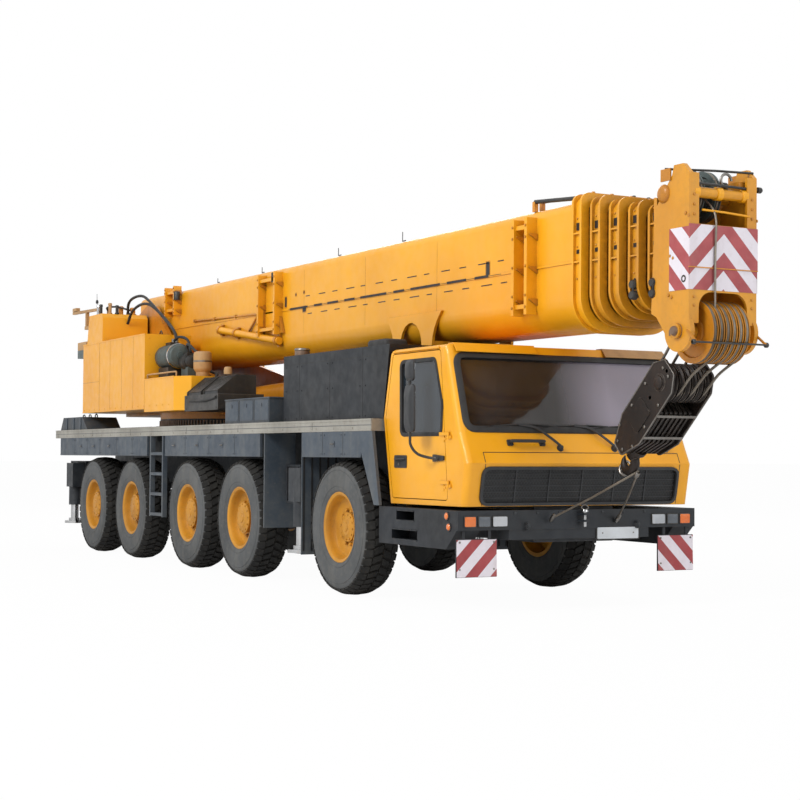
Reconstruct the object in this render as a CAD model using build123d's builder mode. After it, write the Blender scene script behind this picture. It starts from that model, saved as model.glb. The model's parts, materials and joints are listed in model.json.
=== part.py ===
from build123d import *
from math import atan2, cos, degrees, hypot, radians, sin
import os

# Five-axle mobile crane with its boom lowered over the driver's cab. Millimetres.
# X runs forward, Y to the vehicle's left, Z up. Lengths along X are taken from the
# front axle, as on a general arrangement drawing, and store() moves each finished
# piece so that the origin lies on the ground in the middle of the whole length.

FRONT_AXLE_X = 2735.0
RUNNING_GAP = 5.0
SEAT_GAP = 0.3
PIN_GAP = 0.06

# Wheels and axles
AXLE_PITCHES = (0.0, -2600.0, -1660.0, -2120.0, -1660.0)
STEERED_AXLES = (1, 2, 4, 5)
WHEEL_R = 683.0
TYRE_WIDTH = 385.0
TYRE_SHOULDER = 52.0
TREAD_DROP = 14.0
RIM_SEAT_R = 317.5
RIM_FLANGE_R = 355.5
RIM_WALL = 14.0
RIM_INSET = 22.0
DISC_DEPTH = 150.0
HUB_R = 165.0
HUB_REACH = 92.0
FRONT_HUB_R = 135.0
FRONT_HUB_REACH = 45.0
HUB_BACK = 30.0
STUB_R = 60.0
BODY_HALF = 1375.0
KINGPIN_INSET = 295.0
KINGPIN_Y = BODY_HALF - KINGPIN_INSET
KINGPIN_R = 34.0
BOSS_R = 62.0
BOSS_HEIGHT = 250.0
YOKE_ARM = 46.0
YOKE_WALL = 38.0
YOKE_WIDTH = 120.0
BEAM_R = 78.0
DIFFERENTIAL_R = 215.0
DIFFERENTIAL_HALF = 120.0
STRUT_R = 62.0
STRUT_Y = 380.0

# Chassis and deck
DECK_REAR = -9900.0
DECK_FRONT = 740.0
DECK_TOP = 1765.0
DECK_EDGE = 120.0
DECK_PLATE = 14.0
FRAME_HALF = 440.0
FRAME_BOTTOM = 1010.0
FRAME_PLATE = 40.0
NOSE_BOTTOM = 620.0
NOSE_START = 790.0
NOSE_END = 2179.7
SKIRT_DROP = 260.0
SKIRT_PLATE = 30.0
SKIRT_ENDS = ((-9640.0, -5700.0), (-5020.0, -1960.0), (-850.0, 520.0))
LADDER_ENDS = (-5590.0, -5090.0)
LADDER_FOOT = 600.0
LADDER_RUNGS = 4
LADDER_DEPTH = 60.0
FLAP_X = -860.0
FLAP_FOOT = 360.0
FLAP_WIDTH = 425.0
FLAP_PLATE = 12.0
GUARD_X = -1850.0
GUARD_FOOT = 600.0
GUARD_WIDTH = 375.0
GUARD_PLATE = 20.0
ARCH_X = 410.0
ARCH_FOOT = (800.0, 930.0)
ARCH_GAP = 10.0
LOCKER_ENDS = (-3040.0, -1760.0)
LOCKER_TOP = 2035.0
LOCKER_INNER = 495.0
LOCKER_EDGE = 20.0
RAMP_FOOT = (-9760.0, -8420.0)
RAMP_HEAD = (-9620.0, -8660.0)
RAMP_TOP = 1955.0
RAMP_INNER = 555.0
RAMP_EDGE = 35.0
RING_R = 1020.0
RING_TOP = 1880.0
SLEW_X = -6000.0

# Outriggers: centre along X of each side's beam box, right then left
FRONT_BOXES = (-1130.0, -1580.0)
REAR_BOXES = (-9300.0, -9690.0)
BOX_WIDTH = 370.0
BOX_HEIGHT = 420.0
BOX_BOTTOM = 880.0
BOX_WALL = 22.0
BEAM_CLEAR = 8.0
BOX_INSET = 235.0
BOX_END_Y = BODY_HALF - BOX_INSET
PAD_LENGTH = 110.0
BEAM_INSET = 45.0
BEAM_END_Y = BODY_HALF - BEAM_INSET
BEAM_TAIL_Y = BOX_END_Y - 20
JACK_INSET = 90.0
JACK_Y = BEAM_END_Y - JACK_INSET
JACK_R = 92.0
JACK_BOTTOM = 640.0
ROD_R = 60.0
FOOT_R = 150.0
FOOT_Z = 365.0
FOOT_THICK = 36.0

# Engine housing behind the driver's cab
HOUSING_REAR = -1610.0
HOUSING_TOP = 2485.0
HOUSING_INSET = 125.0
HOUSING_HALF = BODY_HALF - HOUSING_INSET
HOUSING_WALL = 40.0
ENGINE_BLOCK = (-1250.0, 150.0, 420.0, 2330.0)
EXHAUST_X = -1390.0
EXHAUST_INSET = 120.0
EXHAUST_R = 78.0
EXHAUST_TOP = 2570.0
REST_GAP = 5.0
REST_TOP = 2525.0
REST_HALF = 520.0
REST_EDGE = 45.0
LEG_ENDS = ((-475.0, -337.0), (136.0, 348.0))

# Driver's cab: side outline, X and Z
CAB_REAR = 920.0
CAB_FLOOR = 950.0
CAB_INSET = 125.0
CAB_HALF = BODY_HALF - CAB_INSET
CAB_ROUND = 60.0
CAB_ROOF = 2425.0
CAB_WAIST = 1770.0
CAB_WAIST_REAR = 765.0
CAB_WALL = 45.0
ROOF_WALL = 30.0
ROOF_FRONT = 1950.0
GLASS_TOP = (1990.0, 2345.0)
GLASS_FOOT = (2215.0, 1625.0)
CREASE = (2350.0, 1345.0)
CHIN = (2275.0, 955.0)
SCREEN_EDGE = 75.0
SCREEN_TRIM = 40.0
SCREEN_ROUND = 100.0
GRILLE_HALF = 1080.0
GRILLE_HEIGHT = 331.0
GRILLE_ROUND = 80.0
GRILLE_DEPTH = 24.0
GRILLE_DROP = 12.0
DOOR_FOOT_X = 2010.0
DOOR_HEAD_X = 1870.0
DOOR_THICK = 50.0
DOOR_SILL = 1000.0
DOOR_HEAD = 2379.0
DOOR_GAP = 8.0
DOOR_ROUND = 30.0
WINDOW_ROUND = 70.0
HINGE_X = 2036.0
HINGE_OUT = 14.0
HINGE_R = 13.0
HINGE_PIN_R = 7.0
HINGE_HEIGHTS = (1120.0, 1560.0)
HINGE_LENGTH = 60.0
PANE = 6.0
BUMPER_FRONT = 2300.0
BUMPER_TOP = 920.0
BUMPER_BOTTOM = 745.0
BUMPER_MIDDLE = 655.0
BUMPER_INSET = 60.0
BUMPER_HALF = BODY_HALF - BUMPER_INSET
STEP_REAR = 800.0
STEP_BOTTOM = 570.0
STEP_FRONT = 2090.0
STEP_DEPTH = 240.0
LAMP_Z = 822.0
BOARD_WIDTH = 420.0
BOARD_HEIGHT = 340.0
BOARD_TOP = 668.0
BOARD_PLATE = 12.0
JAW_Z = 849.0
JAW_REACH = 95.0
JAW_HALF = 48.0
JAW_PLATE = 20.0
JAW_GAP = 42.0
JAW_PIN_R = 18.0

# Superstructure
HOUSE_REAR = -8780.0
HOUSE_FRONT = -6050.0
HOUSE_BOTTOM = 2010.0
HOUSE_TOP = 3025.0
HOUSE_INSET = 75.0
HOUSE_HALF = BODY_HALF - HOUSE_INSET
HOUSE_INNER = 640.0
STEP_BOX_FRONT = -4690.0
STEP_BOX_TOP = 2410.0
STEP_BOX_FACET = (240.0, 150.0)
WEIGHT_FRONT = -8010.0
HUMP_ENDS = (-8600.0, -7880.0)
HUMP_RISE = 415.0
HUMP_TOP = HOUSE_TOP + HUMP_RISE
HUMP_LEAN = 90.0
SLOT_FLOOR = 2470.0
BASE_ENDS = (-8740.0, -4990.0)
CHEEK_Y = 520.0
CHEEK_PLATE = 60.0
BASE_BOTTOM = 1880.3
BASE_TOP = 1969.7
FLOOR_TOP = 2009.7
FOOT_PIN = (-6100.0, 2130.0)
WINCH_X = -9280.0
WINCH_Z = 2990.0
WINCH_R = 170.0
WINCH_FLANGE_R = 225.0
WINCH_HALF = 480.0
WINCH_PLATE = 60.0
CAB2_ENDS = (-5640.0, -3720.0)
CAB2_BOTTOM = 1970.0
CAB2_TOP = 3530.0
CAB2_EDGE = 45.0
CAB2_SIDES = (HOUSE_INNER + SEAT_GAP, BODY_HALF - CAB2_EDGE)
CAB2_WALL = 45.0

# Boom, in its own frame: X along the boom from its pivot, Z square to it
PIVOT_X = -8300.0
PIVOT_Z = 3250.0
NOSE_DOWN = 0.45
BOOM_HALF = 460.0
BOOM_TOP = 495.0
BOOM_BOTTOM = -610.0
BOOM_TAIL = -350.0
BOOM_STEP = 45.0
BOOM_WALL = 20.0
UPPER_ROUND = 90.0
LOWER_ROUND = 250.0
COLLAR_X = 11340.0
COLLAR_PITCH = 215.0
COLLAR_WIDTH = 150.0
COLLAR_RISE = 58.0
BAND_RISE = 30.0
RIB_WIDTH = 28.0
GUSSET = 14.0
GUSSET_LEVELS = (-60.0, 190.0)
SECTIONS = 4
SECTION_TAIL = 420.0
SECTION_TAIL_STEP = 130.0
LUG_X = 6300.0
LUG_Z = -970.0
LUG_R = 165.0
LUG_PLATE = 50.0
LUG_GAP = 110.0
PIVOT_R = 95.0
PAD_HALF = 110.0
SEAM_Z = -50.0
SEAM_RISE = 10.0
SADDLE_PLATE = 30.0
SADDLE_TOP = 2870.0
SADDLE_ENDS = (-640.0, 540.0)
SADDLE_ARCH = 2790.0
BRACKET_OUT = 110.0
BRACKET_POST = 45.0
BRACKETS = (
    ((-7300.0, -6950.0), (3380.0, 3790.0)),
    ((-3950.0, -3450.0), (2880.0, 3650.0)),
    ((2000.0, 2220.0), (2700.0, 3590.0)),
)

# Luffing cylinder
BARREL_R = 165.0
BARREL_BORE = 130.0
ROD_RAM_R = 100.0
BARREL_SHORT = 453.4
BARREL_HEAD = 90.0
BORE_FLOOR = 60.0
PISTON_GAP = 3.4
PISTON = 120.0
FOOT_HALF = 170.0
FOOT_LUG = 50.0
EYE_R = 140.0
EYE_HALF = 100.0
EYE_PIN_R = 55.0

# Boom head and hook block
HEAD_REAR = 3950.0
HEAD_FRONT = 4320.0
HEAD_HALF = 350.0
HEAD_TOP = 3790.0
HEAD_PLATE = 40.0
HEAD_FACE = 30.0
HEAD_FLANGE = 100.0
CHEEK_ROUND = 170.0
FACE_ENDS = (2620.0, 3295.0)
ARCH_TOP = 2745.0
ARCH_ROUND = 130.0
TIE_AT = (4268.0, 3560.0)
TIE_R = 45.0
SHEAVE_X = 4165.0
SHEAVE_Z = 2430.0
SHEAVE_R = 260.0
SHEAVE_COUNT = 6
SHEAVE_PITCH = 66.0
SHEAVE_WIDTH = 50.0
TOP_SHEAVE_X = 3985.0
TOP_SHEAVE_Z = 3575.0
TOP_SHEAVE_R = 215.0
BLOCK_LEAN = 46.5
BLOCK_START = 390.0
BLOCK_END = 1400.0
BLOCK_DEPTH = 360.0
BLOCK_WIDTH = 420.0
BLOCK_PLATE = 18.0
BLOCK_SHEAVE_R = 165.0
BLOCK_SHEAVE_DROP = 190.0
ROPE_R = 11.0

SIDES = (("right", -1), ("left", 1))


def block(x0, x1, y0, y1, z0, z1, mode=Mode.ADD):
    """A square block between two corners, in the open part."""
    with Locations(((x0 + x1) / 2, (y0 + y1) / 2, (z0 + z1) / 2)):
        Box(x1 - x0, y1 - y0, z1 - z0, mode=mode)


def side_plate(outline, y0, y1, mode=Mode.ADD):
    """An outline of X and Z, drawn from the side and carried from y0 to y1."""
    with BuildSketch(Plane.XZ.offset(-y1)) as face:
        with BuildLine():
            Polyline(*outline, close=True)
        make_face()
    extrude(face.sketch, amount=y1 - y0, mode=mode)


def rounded_plate(outline, radius, y0, y1, mode=Mode.ADD):
    """An outline of X and Z with rounded corners, carried from y0 to y1."""
    with BuildSketch(Plane.XZ.offset(-y1)) as face:
        with BuildLine():
            Polyline(*outline, close=True)
        make_face()
        fillet(face.vertices(), radius)
    extrude(face.sketch, amount=y1 - y0, mode=mode)


def plan_plate(outline, z0, z1, mode=Mode.ADD):
    """An outline of X and Y, drawn from above and carried from z0 to z1."""
    with BuildSketch(Plane.XY.offset(z0)) as face:
        with BuildLine():
            Polyline(*outline, close=True)
        make_face()
    extrude(face.sketch, amount=z1 - z0, mode=mode)


def cross_bar(x, z, radius, y0, y1, mode=Mode.ADD):
    """A round bar across the vehicle."""
    with BuildSketch(Plane.XZ.offset(-y1)) as face:
        with Locations((x, z)):
            Circle(radius)
    extrude(face.sketch, amount=y1 - y0, mode=mode)


def post(x, y, radius, z0, z1, mode=Mode.ADD):
    """An upright round bar."""
    with BuildSketch(Plane.XY.offset(z0)) as face:
        with Locations((x, y)):
            Circle(radius)
    extrude(face.sketch, amount=z1 - z0, mode=mode)


def span(side, near, far):
    """Two distances from the middle plane, as ascending Y values on one side."""
    return tuple(sorted((side * near, side * far)))


MIDDLE = Location((FRONT_AXLE_X, 0, 0))
AT_BOOM = Location((PIVOT_X, 0, PIVOT_Z), (0, NOSE_DOWN, 0))


def store(part, label, frame=None):
    """Moves a finished piece to the part's frame, labels it and writes its file."""
    piece = part.moved(MIDDLE * frame) if frame else part.moved(MIDDLE)
    piece.label = label
    export_step(piece, f"parts/{label}.step")
    return piece


def axle_positions():
    """X of each axle, from the pitches between them."""
    places, x = [], 0.0
    for pitch in AXLE_PITCHES:
        x += pitch
        places.append(x)
    return places


AXLES = axle_positions()


# Wheels, knuckles and axle beams

def hub_of(number):
    """Radius and reach of an axle's hubs: low caps in front, planetary hubs behind."""
    return (FRONT_HUB_R, FRONT_HUB_REACH) if number == 1 else (HUB_R, HUB_REACH)


def tyre_outline():
    """Half of a tyre's section in radius and width, from the outer face at Y 0."""
    w = TYRE_WIDTH
    return (
        (RIM_SEAT_R + RIM_WALL + SEAT_GAP, RIM_INSET + RIM_WALL + 5),
        (RIM_FLANGE_R + 2, RIM_INSET + RIM_WALL + 1),
        (RIM_FLANGE_R + 12, 12),
        ((RIM_FLANGE_R + WHEEL_R) / 2, 0),
        (WHEEL_R - TYRE_SHOULDER, 10),
        (WHEEL_R - TREAD_DROP, TYRE_SHOULDER),
        (WHEEL_R, w / 2 - 40),
        (WHEEL_R, w / 2 + 40),
        (WHEEL_R - TREAD_DROP, w - TYRE_SHOULDER),
        (WHEEL_R - TYRE_SHOULDER, w - 10),
        ((RIM_FLANGE_R + WHEEL_R) / 2, w),
        (RIM_FLANGE_R + 12, w - 12),
        (RIM_FLANGE_R + 2, w - RIM_INSET - RIM_WALL - 1),
        (RIM_SEAT_R + RIM_WALL + SEAT_GAP, w - RIM_INSET - RIM_WALL - 5),
    )


def rim_outline(hub_r, reach):
    """Rim, dish and hub, in radius and distance in from the tyre's outer face."""
    w = TYRE_WIDTH
    outer, inner = RIM_INSET, w - RIM_INSET
    seat, bore = RIM_SEAT_R + RIM_WALL, RIM_SEAT_R - 8
    disc = DISC_DEPTH
    hub = disc - reach
    return (
        (STUB_R + PIN_GAP, disc + HUB_BACK),
        (STUB_R + PIN_GAP, hub + 26),
        (STUB_R - 22, hub + 26),
        (STUB_R - 22, hub),
        (hub_r - 22, hub),
        (hub_r, hub + 22),
        (hub_r + 8, disc - 12),
        (hub_r + 52, disc),
        (bore - 30, disc - 16),
        (bore, disc - 46),
        (bore, outer + 18),
        (RIM_FLANGE_R, outer + 2),
        (RIM_FLANGE_R, outer + RIM_WALL),
        (seat, outer + RIM_WALL + 4),
        (seat, inner - RIM_WALL - 4),
        (RIM_FLANGE_R, inner - RIM_WALL),
        (RIM_FLANGE_R, inner - 2),
        (bore + 4, inner),
        (bore, disc + 8),
        (bore - 26, disc + 12),
        (hub_r + 50, disc + 20),
        (hub_r - 8, disc + HUB_BACK),
    )


def make_wheel(side, hub_r, reach):
    """Rim and tyre of one wheel, centred on its axle with its face at BODY_HALF."""
    with BuildPart() as wheel:
        for outline in (rim_outline(hub_r, reach), tyre_outline()):
            with BuildSketch(Plane.XY):
                with BuildLine():
                    Polyline(*((r, side * (BODY_HALF - d)) for r, d in outline), close=True)
                make_face()
            revolve(axis=Axis.Y)
    return wheel.part


def make_knuckle(side, reach):
    """Yoke on the kingpin with the stub that the hub turns on."""
    yoke_top = BOSS_HEIGHT / 2 + YOKE_ARM + 2
    plate_in = KINGPIN_Y + BOSS_R + 10
    plate_out = plate_in + YOKE_WALL
    stub_end = BODY_HALF - (DISC_DEPTH - reach) - 32
    half = YOKE_WIDTH / 2
    with BuildPart() as knuckle:
        for low in (-yoke_top, BOSS_HEIGHT / 2 + 2):
            with BuildSketch(Plane.XY.offset(low)):
                with Locations((0, side * KINGPIN_Y)):
                    Circle(half)
                with Locations((0, side * (KINGPIN_Y + plate_out) / 2)):
                    Rectangle(YOKE_WIDTH, plate_out - KINGPIN_Y)
                with Locations((0, side * KINGPIN_Y)):
                    Circle(KINGPIN_R + PIN_GAP, mode=Mode.SUBTRACT)
            extrude(amount=YOKE_ARM)
        block(-half, half, *span(side, plate_in, plate_out), -yoke_top, yoke_top)
        cross_bar(0, 0, STUB_R, *span(side, plate_in, stub_end))
    return knuckle.part


def make_axle_beam(x, steered):
    """One axle: beam, differential, struts to the frame and kingpins or hubs."""
    reach = KINGPIN_Y if steered else BODY_HALF - (DISC_DEPTH - HUB_REACH) - 32
    pin = BOSS_HEIGHT / 2 + YOKE_ARM + 14
    with BuildPart() as beam:
        cross_bar(x, WHEEL_R, BEAM_R, -KINGPIN_Y, KINGPIN_Y)
        with Locations((x, 0, WHEEL_R)):
            Cylinder(DIFFERENTIAL_R, 2 * DIFFERENTIAL_HALF, rotation=(0, 90, 0))
        with Locations((x + DIFFERENTIAL_HALF + 45, 0, WHEEL_R)):
            Cone(DIFFERENTIAL_R - 25, BEAM_R, 90, rotation=(0, 90, 0))
        for _, side in SIDES:
            post(x, side * STRUT_Y, STRUT_R, WHEEL_R, FRAME_BOTTOM - SEAT_GAP)
            post(x, side * STRUT_Y, STRUT_R + 26, FRAME_BOTTOM - 90, FRAME_BOTTOM - SEAT_GAP)
            if steered:
                post(x, side * KINGPIN_Y, BOSS_R, WHEEL_R - BOSS_HEIGHT / 2, WHEEL_R + BOSS_HEIGHT / 2)
                post(x, side * KINGPIN_Y, KINGPIN_R, WHEEL_R - pin, WHEEL_R + pin)
            else:
                cross_bar(x, WHEEL_R, STUB_R, *span(side, KINGPIN_Y - 10, reach))
    return beam.part


# Chassis, deck and skirts

def make_chassis():
    """Box frame with the outrigger boxes, the cab's low nose and the slewing ring."""
    top = DECK_TOP - DECK_PLATE - SEAT_GAP
    nose_top = CAB_FLOOR - SEAT_GAP
    rear = DECK_REAR + 64
    with BuildPart() as frame:
        outline = (
            (rear, FRAME_BOTTOM),
            (NOSE_START - 250, FRAME_BOTTOM),
            (NOSE_START, NOSE_BOTTOM),
            (NOSE_END, NOSE_BOTTOM),
            (NOSE_END, nose_top),
            (NOSE_START + 60, nose_top),
            (DECK_FRONT - 60, top - 120),
            (DECK_FRONT - 60, top),
            (rear, top),
        )
        side_plate(outline, -FRAME_HALF, FRAME_HALF)
        side_plate(
            (
                (rear + FRAME_PLATE, FRAME_BOTTOM - 1),
                (NOSE_START - 260, FRAME_BOTTOM - 1),
                (NOSE_START - 10, NOSE_BOTTOM - 1),
                (NOSE_END - 60, NOSE_BOTTOM - 1),
                (NOSE_END - 60, nose_top - FRAME_PLATE),
                (NOSE_START + 40, nose_top - FRAME_PLATE),
                (DECK_FRONT - 120, top - FRAME_PLATE),
                (rear + FRAME_PLATE, top - FRAME_PLATE),
            ),
            FRAME_PLATE - FRAME_HALF,
            FRAME_HALF - FRAME_PLATE,
            mode=Mode.SUBTRACT,
        )
        half = BOX_END_Y
        for boxes in (FRONT_BOXES, REAR_BOXES):
            for x in boxes:
                block(x - BOX_WIDTH / 2, x + BOX_WIDTH / 2, -half, half, BOX_BOTTOM, BOX_BOTTOM + BOX_HEIGHT)
            for x in boxes:
                w = BOX_WIDTH / 2 - BOX_WALL
                block(
                    x - w, x + w, -half - 1, half + 1,
                    BOX_BOTTOM + BOX_WALL, BOX_BOTTOM + BOX_HEIGHT - BOX_WALL, mode=Mode.SUBTRACT,
                )
            for x, (_, side) in zip(boxes, SIDES):
                y0, y1 = span(side, half - PAD_LENGTH, half)
                floor = BOX_BOTTOM + BOX_WALL
                block(x - 90, x + 90, y0, y1, floor - 1, floor + BEAM_CLEAR - SEAT_GAP)
        post(SLEW_X, 0, RING_R + 60, DECK_TOP - DECK_EDGE - 60, DECK_TOP + 20)
        post(SLEW_X, 0, RING_R, DECK_TOP, RING_TOP)
        post(SLEW_X, 0, RING_R - 240, DECK_TOP - DECK_EDGE - 80, RING_TOP + 1, mode=Mode.SUBTRACT)
    return frame.part


def make_deck():
    """Walkway plates each side and at the rear, with lockers on them."""
    low = DECK_TOP - DECK_EDGE
    with BuildPart() as deck:
        block(DECK_REAR, DECK_FRONT, -BODY_HALF, BODY_HALF, low, DECK_TOP)
        block(
            DECK_REAR + 60, DECK_FRONT - 30, -BODY_HALF + 40, BODY_HALF - 40,
            low - 1, DECK_TOP - DECK_PLATE, mode=Mode.SUBTRACT,
        )
        post(SLEW_X, 0, RING_R + 60 + SEAT_GAP, low, DECK_TOP + 1, mode=Mode.SUBTRACT)
        for _, side in SIDES:
            y0, y1 = span(side, BODY_HALF - RAMP_INNER, BODY_HALF - RAMP_EDGE)
            side_plate(
                (
                    (RAMP_FOOT[0], DECK_TOP), (RAMP_FOOT[1], DECK_TOP),
                    (RAMP_HEAD[1], RAMP_TOP), (RAMP_HEAD[0], RAMP_TOP),
                ),
                y0,
                y1,
            )
            y0, y1 = span(side, BODY_HALF - LOCKER_INNER, BODY_HALF - LOCKER_EDGE)
            block(*LOCKER_ENDS, y0, y1, DECK_TOP, LOCKER_TOP)
    return deck.part


def make_skirts():
    """Side skirts under the deck's edge, with ladders, mud flaps and wheel-arch panels."""
    high = DECK_TOP - DECK_EDGE - SEAT_GAP
    low = high - SKIRT_DROP
    with BuildPart() as skirts:
        for _, side in SIDES:
            y0, y1 = span(side, BODY_HALF - SKIRT_PLATE, BODY_HALF)
            for x0, x1 in SKIRT_ENDS:
                block(x0, x1, y0, y1, low, high)
            side_plate(
                (
                    (ARCH_X, high), (CAB_WAIST_REAR - ARCH_GAP, high),
                    (CAB_REAR - ARCH_GAP, ARCH_FOOT[1]), ARCH_FOOT,
                ),
                y0,
                y1,
            )
            y0, y1 = span(side, BODY_HALF - LADDER_DEPTH, BODY_HALF)
            x0, x1 = LADDER_ENDS
            block(x0, x0 + 40, y0, y1, LADDER_FOOT, high)
            block(x1 - 40, x1, y0, y1, LADDER_FOOT, high)
            for n in range(LADDER_RUNGS):
                z = LADDER_FOOT + 12 + n * (high - LADDER_FOOT) / LADDER_RUNGS
                block(x0 + 40, x1 - 40, y0, y1, z, z + 36)
            y0, y1 = span(side, BODY_HALF - FLAP_WIDTH, BODY_HALF)
            block(FLAP_X, FLAP_X + FLAP_PLATE, y0, y1, FLAP_FOOT, high)
            y0, y1 = span(side, BODY_HALF - GUARD_WIDTH, BODY_HALF)
            block(GUARD_X, GUARD_X + GUARD_PLATE, y0, y1, GUARD_FOOT, high)
    return skirts.part


def make_outrigger(box_x, side):
    """Sliding beam with the jack's barrel, and the jack's rod with its foot."""
    clear = BOX_WALL + BEAM_CLEAR
    w = BOX_WIDTH / 2 - clear
    z0, z1 = BOX_BOTTOM + clear, BOX_BOTTOM + BOX_HEIGHT - clear
    y0, y1 = span(side, -BEAM_TAIL_Y, BEAM_END_Y)
    with BuildPart() as beam:
        block(box_x - w, box_x + w, y0, y1, z0, z1)
        y0, y1 = span(side, -BEAM_TAIL_Y, PAD_LENGTH - BEAM_TAIL_Y)
        block(box_x - 90, box_x + 90, y0, y1, z1 - 1, z1 + BEAM_CLEAR - SEAT_GAP)
        post(box_x, side * JACK_Y, JACK_R, JACK_BOTTOM, z1)
        post(box_x, side * JACK_Y, ROD_R + PIN_GAP, JACK_BOTTOM - 1, z1 - 30, mode=Mode.SUBTRACT)
    with BuildPart() as jack:
        post(box_x, side * JACK_Y, ROD_R, FOOT_Z, z1 - 30 - SEAT_GAP)
        post(box_x, side * JACK_Y, FOOT_R, FOOT_Z, FOOT_Z + FOOT_THICK)
        post(box_x, side * JACK_Y, ROD_R + 30, FOOT_Z + FOOT_THICK, FOOT_Z + FOOT_THICK + 40)
    return beam.part, jack.part


# Engine housing and driver's cab

def make_engine_housing():
    """Hood with the exhaust and the boom's two resting pads, and the plain engine inside."""
    front_gap = 18
    low, wall = DECK_TOP + SEAT_GAP, HOUSING_WALL
    x0, x1, half, high = ENGINE_BLOCK
    with BuildPart() as housing:
        side_plate(
            (
                (HOUSING_REAR, low),
                (CAB_WAIST_REAR - front_gap, low),
                (CAB_REAR - front_gap - 30, HOUSING_TOP),
                (HOUSING_REAR, HOUSING_TOP),
            ),
            -HOUSING_HALF,
            HOUSING_HALF,
        )
        side_plate(
            (
                (HOUSING_REAR + wall, low - 1),
                (CAB_WAIST_REAR - front_gap - wall, low - 1),
                (CAB_REAR - front_gap - 30 - wall, HOUSING_TOP - wall),
                (HOUSING_REAR + wall, HOUSING_TOP - wall),
            ),
            wall - HOUSING_HALF,
            HOUSING_HALF - wall,
            mode=Mode.SUBTRACT,
        )
        block(x0, x1, -half, half, low, high)
        post(EXHAUST_X, EXHAUST_INSET - HOUSING_HALF, EXHAUST_R, HOUSING_TOP, EXHAUST_TOP)
        for x0, x1 in LEG_ENDS:
            block(x0 - REST_EDGE, x1 + REST_EDGE, -REST_HALF, REST_HALF, HOUSING_TOP, REST_TOP)
    return housing.part


CAB_OUTLINE = (
    (CAB_REAR, CAB_FLOOR),
    (CAB_WAIST_REAR, CAB_WAIST),
    (CAB_REAR, CAB_ROOF),
    (ROOF_FRONT, CAB_ROOF),
    GLASS_TOP,
    GLASS_FOOT,
    CREASE,
    CHIN,
)


def door_outline(inset):
    """Outline of a door, X and Z, drawn in from the cab's opening by inset."""
    return (
        (CAB_REAR + 30 + inset, DOOR_SILL + inset),
        (CAB_WAIST_REAR + 36 + inset, CAB_WAIST),
        (CAB_REAR + 24 + inset, DOOR_HEAD - inset),
        (DOOR_HEAD_X - inset, DOOR_HEAD - inset),
        (DOOR_FOOT_X - inset, DOOR_SILL + inset),
    )


def front_plane(low, high):
    """Plane on a sloping front panel between two points of the side outline, and its run."""
    run = hypot(high[0] - low[0], high[1] - low[1])
    out = ((high[1] - low[1]) / run, 0, (low[0] - high[0]) / run)
    middle = ((low[0] + high[0]) / 2, 0, (low[1] + high[1]) / 2)
    return Plane(middle, x_dir=(0, 1, 0), z_dir=out), run


def make_cab():
    """Cab shell of sheet panels, open for two doors and the windscreen, with a sunk grille."""
    inner = (
        (CAB_REAR + CAB_WALL, CAB_FLOOR + CAB_WALL),
        (CAB_WAIST_REAR + CAB_WALL, CAB_WAIST),
        (CAB_REAR + CAB_WALL, CAB_ROOF - ROOF_WALL),
        (ROOF_FRONT - CAB_WALL, CAB_ROOF - ROOF_WALL),
        (GLASS_FOOT[0] - CAB_WALL, GLASS_FOOT[1]),
        (CREASE[0] - CAB_WALL, CREASE[1]),
        (CHIN[0] - CAB_WALL, CAB_FLOOR + CAB_WALL),
    )
    screen, run = front_plane(GLASS_FOOT, GLASS_TOP)
    nose, _ = front_plane(CHIN, CREASE)
    with BuildPart() as shell:
        side_plate(CAB_OUTLINE, -CAB_HALF, CAB_HALF)
        corners = shell.edges().filter_by(
            lambda e: abs(abs(e.center().Y) - CAB_HALF) < 1
            and (e.center().X > ROOF_FRONT or abs(e.center().Z - CAB_ROOF) < 1)
        )
        fillet(corners, CAB_ROUND)
        side_plate(inner, CAB_WALL - CAB_HALF, CAB_HALF - CAB_WALL, mode=Mode.SUBTRACT)
        rounded_plate(
            door_outline(0), DOOR_ROUND + DOOR_GAP, -CAB_HALF - 1, CAB_HALF + 1, mode=Mode.SUBTRACT
        )
        with BuildSketch(screen.offset(-2 * CAB_WALL)):
            RectangleRounded(2 * (CAB_HALF - SCREEN_EDGE), run - SCREEN_TRIM, SCREEN_ROUND)
        extrude(amount=4 * CAB_WALL, mode=Mode.SUBTRACT)
        with BuildSketch(nose.offset(-GRILLE_DEPTH)):
            with Locations((0, -GRILLE_DROP)):
                RectangleRounded(2 * GRILLE_HALF, GRILLE_HEIGHT, GRILLE_ROUND)
        extrude(amount=GRILLE_DEPTH + 1, mode=Mode.SUBTRACT)
        block(CAB_WAIST_REAR, CAB_REAR + 120, -800, 800, CAB_WAIST + 60, CAB_ROOF - 130, mode=Mode.SUBTRACT)
        for _, side in SIDES:
            y = CAB_HALF + HINGE_OUT
            for z in HINGE_HEIGHTS:
                post(HINGE_X, side * y, HINGE_R, z, z + HINGE_LENGTH / 2 - 1)
                block(HINGE_X - 10, HINGE_X + 40, *span(side, CAB_HALF - 2, y), z, z + HINGE_LENGTH / 2 - 1)
                post(HINGE_X, side * y, HINGE_PIN_R, z, z + HINGE_LENGTH)
    return shell.part


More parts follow.
